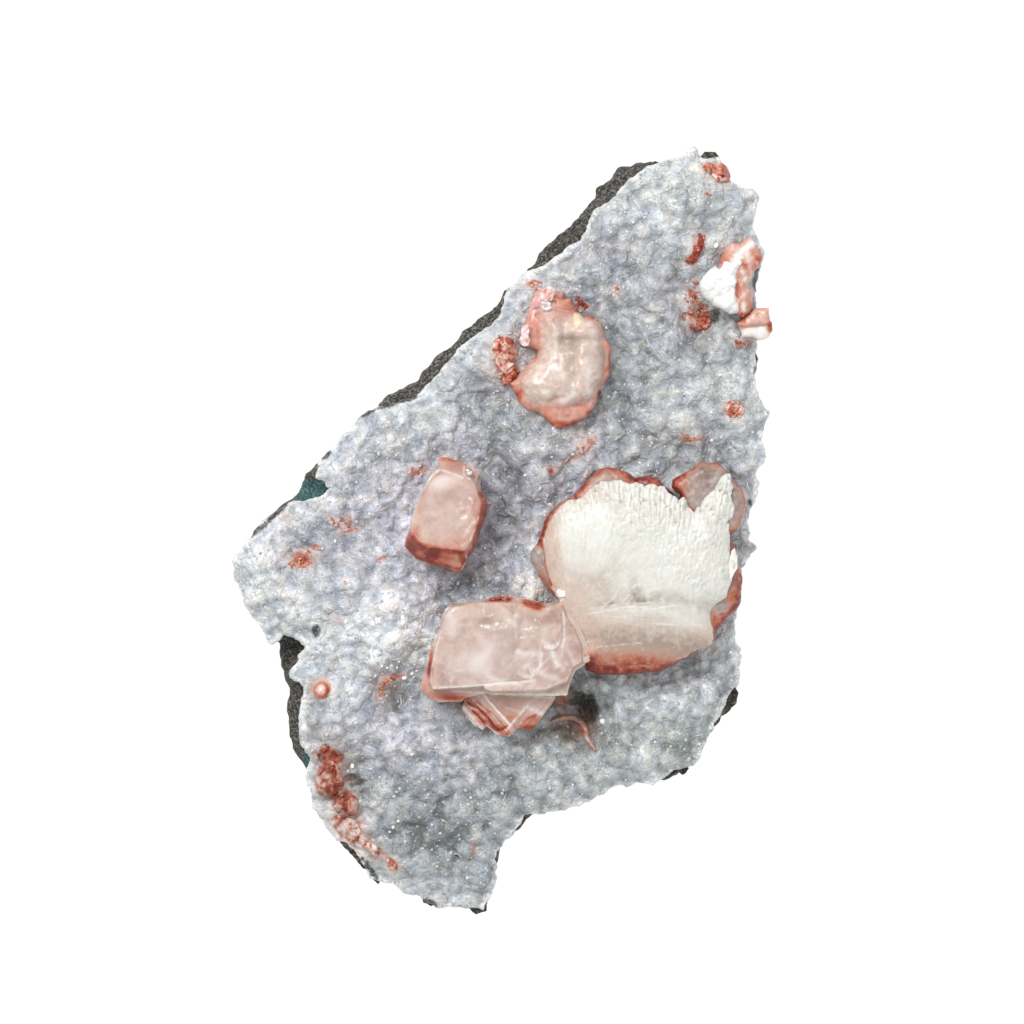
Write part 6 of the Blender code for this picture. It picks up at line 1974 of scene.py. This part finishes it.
def bead_layer(tree, size, where):
    """Beads grown side by side: each one's tone, its dome, its thin pale rim and the gap beside it, painted
    dark as shade.
    """
    edge = cells(tree, size, "DISTANCE_TO_EDGE", where=where)
    tone = cells(tree, size, where=where, give="Color")
    kept = spread(tree, cloud(tree, size * 0.8, 1.0, 0.5, 0.0, where), 0.42, 0.56)
    rim = times(tree, spread(tree, edge, 0.03, 0.07), spread(tree, edge, 0.09, 0.14, 1.0, 0.0))
    gap = spread(tree, edge, 0.0, 0.05, 1.0, 0.0)
    return tone, spread(tree, edge, 0.0, 0.30), times(tree, rim, kept), times(tree, gap, kept)


def sum_of(tree, start, parts):
    """A value with others added to it, each as (value, its middle, its share)."""
    total = start
    for value, middle, share in parts:
        centred = maths(tree, "SUBTRACT", value, middle) if middle else value
        total = plus(tree, total, times(tree, centred, share))
    return total


def chalcedony():
    """Pale grey-blue druse: soft clouds with fine curved wisps, tinted and stained in places."""
    material, tree, shader = new_material("chalcedony_druse")
    cloudy = cloud(tree, 2.6, 3.0, 0.5, 0.5)
    fine = cloud(tree, 0.7, 3.0, 0.6, 1.0)
    tone, dome, rim, gap = bead_layer(tree, 2.3, warped(tree, 1.7, 1.3))
    small_tone, small_dome, small_rim, small_gap = bead_layer(tree, 1.25, warped(tree, 1.0, 0.8))
    # The druse's colour follows stands: darker in its hollows as painted shade, paler on its rises as painted
    # light.
    level = sum_of(tree, spread(tree, mask(tree, "stands"), -1.5, 1.5), [
        (cloudy, 0.5, 0.30), (fine, 0.5, 0.50), (tone, 0.5, 0.24), (small_tone, 0.5, 0.22),
        # The painted light and shade of the tone patches, with the crust's own random tone.
        (mask(tree, "tone"), 0, 0.6),
        # gap and small_gap darken the druse between its beads: painted shade.
        (rim, 0, 0.16), (small_rim, 0, 0.12), (gap, 0, -0.16), (small_gap, 0, -0.10), (dome, 0.6, 0.06),
    ])
    pale = ramp(tree, level, [
        (0.0, (0.15, 0.163, 0.165)), (0.28, (0.30, 0.32, 0.34)), (0.55, (0.47, 0.49, 0.515)),
        (0.8, (0.66, 0.68, 0.69)), (1.0, (0.86, 0.87, 0.87)),
    ])
    cool = sum_of(tree, cloud(tree, 3.4, 2.0), [(small_tone, 0.5, 0.7), (tone, 0.5, -0.5)])
    tinted = blend(tree, spread(tree, cool, 0.2, 0.8), (1.035, 1.0, 0.93), (0.95, 0.995, 1.05))
    tinted = blend(tree, 1.0, pale, tinted, "MULTIPLY")
    lilac = blend(tree, mask(tree, "lavender", 0.6), tinted, (1.02, 0.92, 1.05), "MULTIPLY")
    mossy = blend(tree, mask(tree, "green", 0.6), lilac, (0.95, 1.0, 0.91), "MULTIPLY")
    frosted = times(tree, mask(tree, "lip"), spread(tree, fine, 0.42, 0.54, 0.35, 1.0))
    lipped = blend(tree, frosted, mossy, (0.90, 0.91, 0.89))
    # The dark colour of rock that shows through the druse, also used as painted shade in the cave.
    rock_and_cave_shade = ramp(tree, cloud(tree, 0.6, 4.0, 0.7), [
        (0.42, (0.012, 0.016, 0.014)), (0.60, (0.12, 0.13, 0.12)),
    ])
    shaded = blend(tree, mask(tree, "dark"), lipped, rock_and_cave_shade)
    stained = apply(tree, SHARED["rust"], Colour=shaded, Amount=mask(tree, "red"))
    surface(tree, shader, stained, Roughness=0.5, Coat_Weight=0.3, Coat_Roughness=0.12)
    soften_inside(shader, 0.15, (1.0, 1.0, 1.1), 0.5)
    bumps = sum_of(tree, times(tree, fine, 0.6), [(dome, 0, 0.9), (small_dome, 0, 0.5), (small_rim, 0, 0.15)])
    bumped(tree, shader, bumps, 0.26, 0.9)
    return material


def sheaf_white():
    """The sheaf's own stuff: silky white, peach where it is thin, clear and red towards its edges."""
    material, tree, shader = new_material("sheaf_white")
    thread = node(tree, "ShaderNodeCombineXYZ")
    tree.links.new(mask(tree, "lane"), thread.inputs[0])
    tree.links.new(mask(tree, "along", 0.06), thread.inputs[1])
    threads = cloud(tree, 0.3, 4.0, 0.62, 0.0, thread.outputs[0])
    soft = cloud(tree, 2.2, 3.0, 0.5, 0.3)
    fluff = cloud(tree, 0.55, 3.0, 0.6, 0.3)
    silk = times(tree, threads, 0.42)
    silk = sum_of(tree, silk, [(soft, 0, 0.30), (fluff, 0, 0.28)])
    white = ramp(tree, silk, [
        (0.32, (0.60, 0.60, 0.54)), (0.47, (0.71, 0.71, 0.655)), (0.64, (0.81, 0.81, 0.775)),
    ])
    peach = ramp(tree, silk, [
        (0.32, (0.53, 0.385, 0.305)), (0.47, (0.62, 0.475, 0.39)), (0.64, (0.72, 0.60, 0.52)),
    ])
    warm = blend(tree, mask(tree, "peach"), white, peach)
    # grey: grey patches, and painted shadow between the cap's flakes.
    grey = blend(tree, mask(tree, "grey"), warm, (0.36, 0.29, 0.235))
    haired = spread(tree, threads, 0.42, 0.56, 0.1, 1.0)
    veined = blend(tree, times(tree, mask(tree, "vein"), haired), grey, (0.93, 0.92, 0.88))
    stained = apply(tree, SHARED["rust"], Colour=veined, Amount=mask(tree, "red"))
    surface(tree, shader, stained, Roughness=0.36, Coat_Weight=0.25, Coat_Roughness=0.12)
    soften_inside(shader, 0.35, (1.0, 0.85, 0.75), 0.7)
    bumped(tree, shader, sum_of(tree, threads, [(fluff, 0, 0.7)]), 0.08, 0.9)
    return material


def sheaf_glass():
    """The sheaf's glassy rims and lobes: clear brownish pink, deep red along the edges."""
    material, tree, shader = new_material("sheaf_glass")
    silk = spread(tree, mask(tree, "silk"), -0.9, 0.9)
    patchy = cloud(tree, 1.2, 5.0, 0.68, 0.8)
    level = plus(tree, times(tree, silk, 0.35), times(tree, patchy, 0.9))
    pink = ramp(tree, level, [
        (0.25, (0.16, 0.080, 0.062)), (0.5, (0.25, 0.152, 0.128)),
        (0.75, (0.37, 0.268, 0.235)), (1.0, (0.60, 0.52, 0.48)),
    ])
    pale = blend(tree, mask(tree, "grey"), pink, (0.57, 0.50, 0.46))
    stained = apply(tree, SHARED["rust"], Colour=pale, Amount=mask(tree, "red"))
    surface(
        tree, shader, stained, Roughness=0.22, IOR=1.5,
        Transmission_Weight=0.18, Coat_Weight=0.15, Coat_Roughness=0.06,
    )
    soften_inside(shader, 0.5, (1.2, 0.6, 0.4), 1.6)
    bumped(tree, shader, cloud(tree, 0.8, 4.0, 0.6, 0.5), 0.25, 0.8)
    return material


def peach_tablet():
    """The glassy peach of the block, its wedge and the tabular crystal, with pearly leaf edges."""
    material, tree, shader = new_material("peach_tablet")
    drifted = cloud(tree, 4.5, 4.0, 0.55, 0.6)
    small = cloud(tree, 0.8, 4.0, 0.6)
    level = plus(tree, times(tree, drifted, 0.75), times(tree, small, 0.25))
    peach = ramp(tree, level, [
        (0.36, (0.49, 0.335, 0.28)), (0.46, (0.61, 0.455, 0.395)),
        (0.56, (0.71, 0.565, 0.50)), (0.68, (0.83, 0.71, 0.65)),
    ])
    deep = blend(tree, mask(tree, "deep"), peach, (0.47, 0.25, 0.215))
    # side: painted light on the block's sides and ledge.
    side = blend(tree, mask(tree, "side", 0.6), deep, (0.98, 0.76, 0.67))
    # glow: painted highlights and inner glow.
    glowing = blend(tree, mask(tree, "glow", 0.85), side, (0.91, 0.83, 0.81))
    flecks = spread(tree, cells(tree, 0.9, "F1"), 0.02, 0.14, 1.0, 0.0)
    here = spread(tree, cloud(tree, 2.4, 2.0, 0.5), 0.52, 0.60)
    flecked = blend(tree, times(tree, times(tree, flecks, here), 0.4), glowing, (0.93, 0.86, 0.80))
    stained = apply(tree, SHARED["rust"], Colour=flecked, Amount=mask(tree, "red"))
    broken = spread(tree, cells(tree, 0.7, "F1", "CHEBYCHEV"), 0.30, 0.42, 1.0, 0.15)
    running = spread(tree, cloud(tree, 1.5, 3.0, 0.6), 0.38, 0.52, 0.35, 1.0)
    veined = blend(tree, times(tree, mask(tree, "vein"), running), stained, (0.95, 0.91, 0.87))
    # spark: painted glints, broken into flecks.
    sparked = blend(tree, times(tree, mask(tree, "spark"), broken), veined, (1.0, 0.93, 0.86))
    surface(
        tree, shader, sparked, Roughness=0.28, IOR=1.5,
        Transmission_Weight=0.15, Coat_Weight=0.15, Coat_Roughness=0.12,
    )
    soften_inside(shader, 0.6, (1.4, 0.8, 0.5), 2.0)
    waves = plus(tree, times(tree, drifted, 2.0), times(tree, small, 0.35))
    bumped(tree, shader, waves, 0.14, 0.6)
    return material


def cream_crystal():
    """Cream with a fine grain, whiter knobs, and a pink glassy rim stained red."""
    material, tree, shader = new_material("cream_crystal")
    grain = cloud(tree, 1.1, 4.0, 0.6, 0.4)
    cream = ramp(tree, grain, [
        (0.32, (0.52, 0.39, 0.32)), (0.5, (0.63, 0.50, 0.43)), (0.68, (0.75, 0.64, 0.57)),
    ])
    pinkish = ramp(tree, grain, [
        (0.36, (0.43, 0.185, 0.14)), (0.5, (0.54, 0.25, 0.20)), (0.66, (0.67, 0.37, 0.32)),
    ])
    rimmed = blend(tree, mask(tree, "pink"), cream, pinkish)
    whitened = blend(tree, mask(tree, "white"), rimmed, (0.86, 0.815, 0.785))
    yellowed = blend(tree, mask(tree, "yellow"), whitened, (0.84, 0.70, 0.50))
    frosted = blend(tree, mask(tree, "lilac"), yellowed, (0.84, 0.56, 0.70))
    shaded = blend(tree, mask(tree, "shade"), frosted, (0.33, 0.24, 0.19))
    stained = apply(tree, SHARED["rust"], Colour=shaded, Amount=mask(tree, "red"))
    browned = blend(tree, mask(tree, "umber"), stained, (0.12, 0.07, 0.05))
    surface(tree, shader, browned, Roughness=0.3, Coat_Weight=0.15, Coat_Roughness=0.08)
    soften_inside(shader, 0.5, (1.2, 0.8, 0.6), 1.2)
    bumped(tree, shader, grain, 0.10, 0.7)
    return material


def snow():
    """The snow-white mass on the pink blades."""
    material, tree, shader = new_material("snow_white")
    grain = cloud(tree, 0.5, 4.0, 0.6)
    white = ramp(tree, grain, [(0.35, (0.80, 0.81, 0.80)), (0.6, (0.92, 0.92, 0.91))])
    surface(tree, shader, white, Roughness=0.6)
    soften_inside(shader, 0.4, (1.0, 1.0, 1.0), 0.8)
    bumped(tree, shader, grain, 0.3, 1.0)
    return material


def small_tablets():
    """The small glassy tablets, from white through pink to deep red."""
    material, tree, shader = new_material("small_tablets")
    level = plus(tree, mask(tree, "deep_red", 0.5), 0.25)
    uneven = times(tree, maths(tree, "SUBTRACT", cloud(tree, 0.5, 3.0, 0.6), 0.5), 0.5)
    colour = ramp(tree, plus(tree, level, uneven), [
        (0.0, (0.88, 0.85, 0.82)), (0.22, (0.82, 0.68, 0.60)), (0.42, (0.74, 0.40, 0.28)),
        (0.6, (0.55, 0.17, 0.08)), (0.8, (0.34, 0.06, 0.035)), (1.0, (0.15, 0.02, 0.015)),
    ])
    surface(tree, shader, colour, Roughness=0.25, Coat_Weight=0.15, Coat_Roughness=0.08)
    soften_inside(shader, 0.5, (1.2, 0.5, 0.3), 0.8)
    return material


def quartz_sparkle():
    """Tiny clear points, most of them milky."""
    material, tree, shader = new_material("quartz_sparkle")
    milk = ramp(tree, mask(tree, "glint"), [
        (0.0, (0.36, 0.38, 0.41)), (0.6, (0.56, 0.58, 0.61)),
        (0.9, (0.74, 0.75, 0.77)), (1.0, (0.93, 0.93, 0.95)),
    ])
    surface(tree, shader, milk, Roughness=0.3, Coat_Weight=0.2, Coat_Roughness=0.05)
    soften_inside(shader, 0.4, (1.0, 1.0, 1.1), 0.5)
    return material


def broken_basalt():
    """Dark grey broken rock with paler grains and blue-green celadonite patches."""
    material, tree, shader = new_material("broken_basalt")
    grain = cloud(tree, 0.6, 5.0, 0.7)
    broad = cloud(tree, 6.0, 3.0, 0.5)
    dark = ramp(tree, grain, [
        (0.40, (0.012, 0.013, 0.012)), (0.47, (0.04, 0.04, 0.037)),
        (0.53, (0.09, 0.085, 0.078)), (0.61, (0.27, 0.24, 0.21)),
    ])
    toned = blend(tree, spread(tree, broad, 0.4, 0.65), dark, (0.75, 0.70, 0.62), "MULTIPLY")
    speckled = plus(tree, mask(tree, "teal"), maths(tree, "SUBTRACT", cloud(tree, 1.1, 4.0, 0.7), 0.5))
    weathered = ramp(tree, grain, [
        (0.40, (0.015, 0.05, 0.05)), (0.52, (0.035, 0.11, 0.11)), (0.62, (0.14, 0.24, 0.23)),
    ])
    teal = blend(tree, spread(tree, speckled, 0.35, 0.55), toned, weathered)
    surface(tree, shader, teal, Roughness=0.8)
    bumped(tree, shader, grain, 0.4, 1.0)
    return material


def floor_finish():
    """Plain white floor that shines evenly, so that no shadow shows on it."""
    material, _, shader = new_material("pale_floor")
    shader.inputs["Base Color"].default_value = (0.05, 0.05, 0.05, 1)
    shader.inputs["Emission Color"].default_value = (1, 1, 1, 1)
    shader.inputs["Emission Strength"].default_value = 1.0
    shader.inputs["Roughness"].default_value = 0.9
    shader.inputs["Specular IOR Level"].default_value = 0.1
    return material


# ---------------------------------------------------------------- stage


def floor():
    """The plain floor that the specimen lies on."""
    corners = [(x * FLOOR_REACH, y * FLOOR_REACH, 0) for x, y in ((-1, -1), (1, -1), (1, 1), (-1, 1))]
    obj = mesh_piece("floor", corners, [(0, 1, 2, 3)])
    obj.data.materials.append(floor_finish())


def lamp(name, place, size, power):
    """A soft square lamp, aimed at the middle of the specimen."""
    light = bpy.data.lights.new(name, "AREA")
    light.size = size * MM
    light.energy = power
    obj = bpy.data.objects.new(name, light)
    obj.location = Vector(place) * MM
    obj.rotation_euler = (Vector(LAMP_AIM) - Vector(place)).to_track_quat("-Z", "Y").to_euler()
    bpy.context.scene.collection.objects.link(obj)


def light_the_stage():
    """Soft light: a key from the -X +Y side, a weaker one from +X, a small hard one, and a pale surround."""
    for name, place, size, power in LAMPS:
        lamp(name, place, size, power)
    world = bpy.data.worlds.new("surround")
    world.use_nodes = True
    world.node_tree.nodes["Background"].inputs["Color"].default_value = (1, 1, 1, 1)
    world.node_tree.nodes["Background"].inputs["Strength"].default_value = SURROUND_STRENGTH
    bpy.context.scene.world = world
    bpy.context.scene.view_settings.view_transform = "Standard"


def camera():
    """The camera, looking straight down."""
    lens = bpy.data.cameras.new("camera")
    lens.lens = CAMERA_LENS
    lens.sensor_width = CAMERA_SENSOR
    obj = bpy.data.objects.new("camera", lens)
    obj.location = Vector((CAMERA_X, CAMERA_Y, CAMERA_HEIGHT)) * MM
    bpy.context.scene.collection.objects.link(obj)
    bpy.context.scene.camera = obj


# Effects that several materials use, made at the start of main.
SHARED = {}


def small_crystals(heights, skin, cream):
    """The knots of small crystals, the loose tablets, the cave's fin and the rosette."""
    for index, (name, stands_for, outline, rise, size, redness, wall, brown) in enumerate(KNOTS):
        made = crystal_knot(name, outline, rise, size, redness, wall, brown, KNOT_SEED + 10 * index, heights)
        nodes = [stands_for] if stands_for else []
        wear(made, cream, "red_crystal", *nodes)
    wear(cave_fin(heights), cream, "red_crystal", "cave_rim_crystal")
    for index, (name, redness, base, spots) in enumerate(LOOSE_GROUPS):
        wear(shard_group(name, spots, base, redness, heights, LOOSE_SEED + index), skin, "red_crystal")
    wear(ring_rosette(heights), cream, "red_crystal", "ring_crystal")


def main():
    """Dress the specimen, then light and frame it."""
    SHARED["rust"] = rust_effect()
    crust, heights = crust_piece()
    wear(crust, chalcedony(), "chalcedony", "chalcedony_crust")
    sparkle = quartz_sparkle()
    wear(quartz_points(heights), sparkle, "chalcedony")
    wear(wisps(heights), sparkle, "chalcedony")
    wear(glints(heights), sparkle, "chalcedony")
    rock = broken_basalt()
    wear(basalt_piece(), rock, "basalt", "basalt_matrix")
    rock_slivers(heights, rock)
    white = sheaf_white()
    glass = sheaf_glass()
    wear(sheaf_cap(), white, "white_crystal", "sheaf_crystal")
    wear(root_seam(), white, "white_crystal")
    for made in sheaf_tips():
        wear(made, white, "white_crystal")
    for made in sheaf_lobes():
        wear(made, glass, "white_crystal")
    peach = peach_tablet()
    wear(peach_block(), peach, "peach_crystal", "block_crystal")
    wear(block_wedge(), peach, "peach_crystal")
    wear(tabular_crystal(), peach, "peach_crystal", "tabular_crystal")
    cream = cream_crystal()
    wear(cream_fan(), cream, "cream_crystal", "fan_crystal")
    for made in fan_frost():
        wear(made, cream, "cream_crystal")
    blades, mass = white_capped_pieces()
    wear(blades, cream, "cream_crystal", "white_capped_crystal")
    wear(mass, snow(), "white_crystal")
    wear(edge_block(), cream, "cream_crystal", "edge_crystal")
    small_crystals(heights, small_tablets(), cream)
    floor()
    light_the_stage()
    camera()


main()
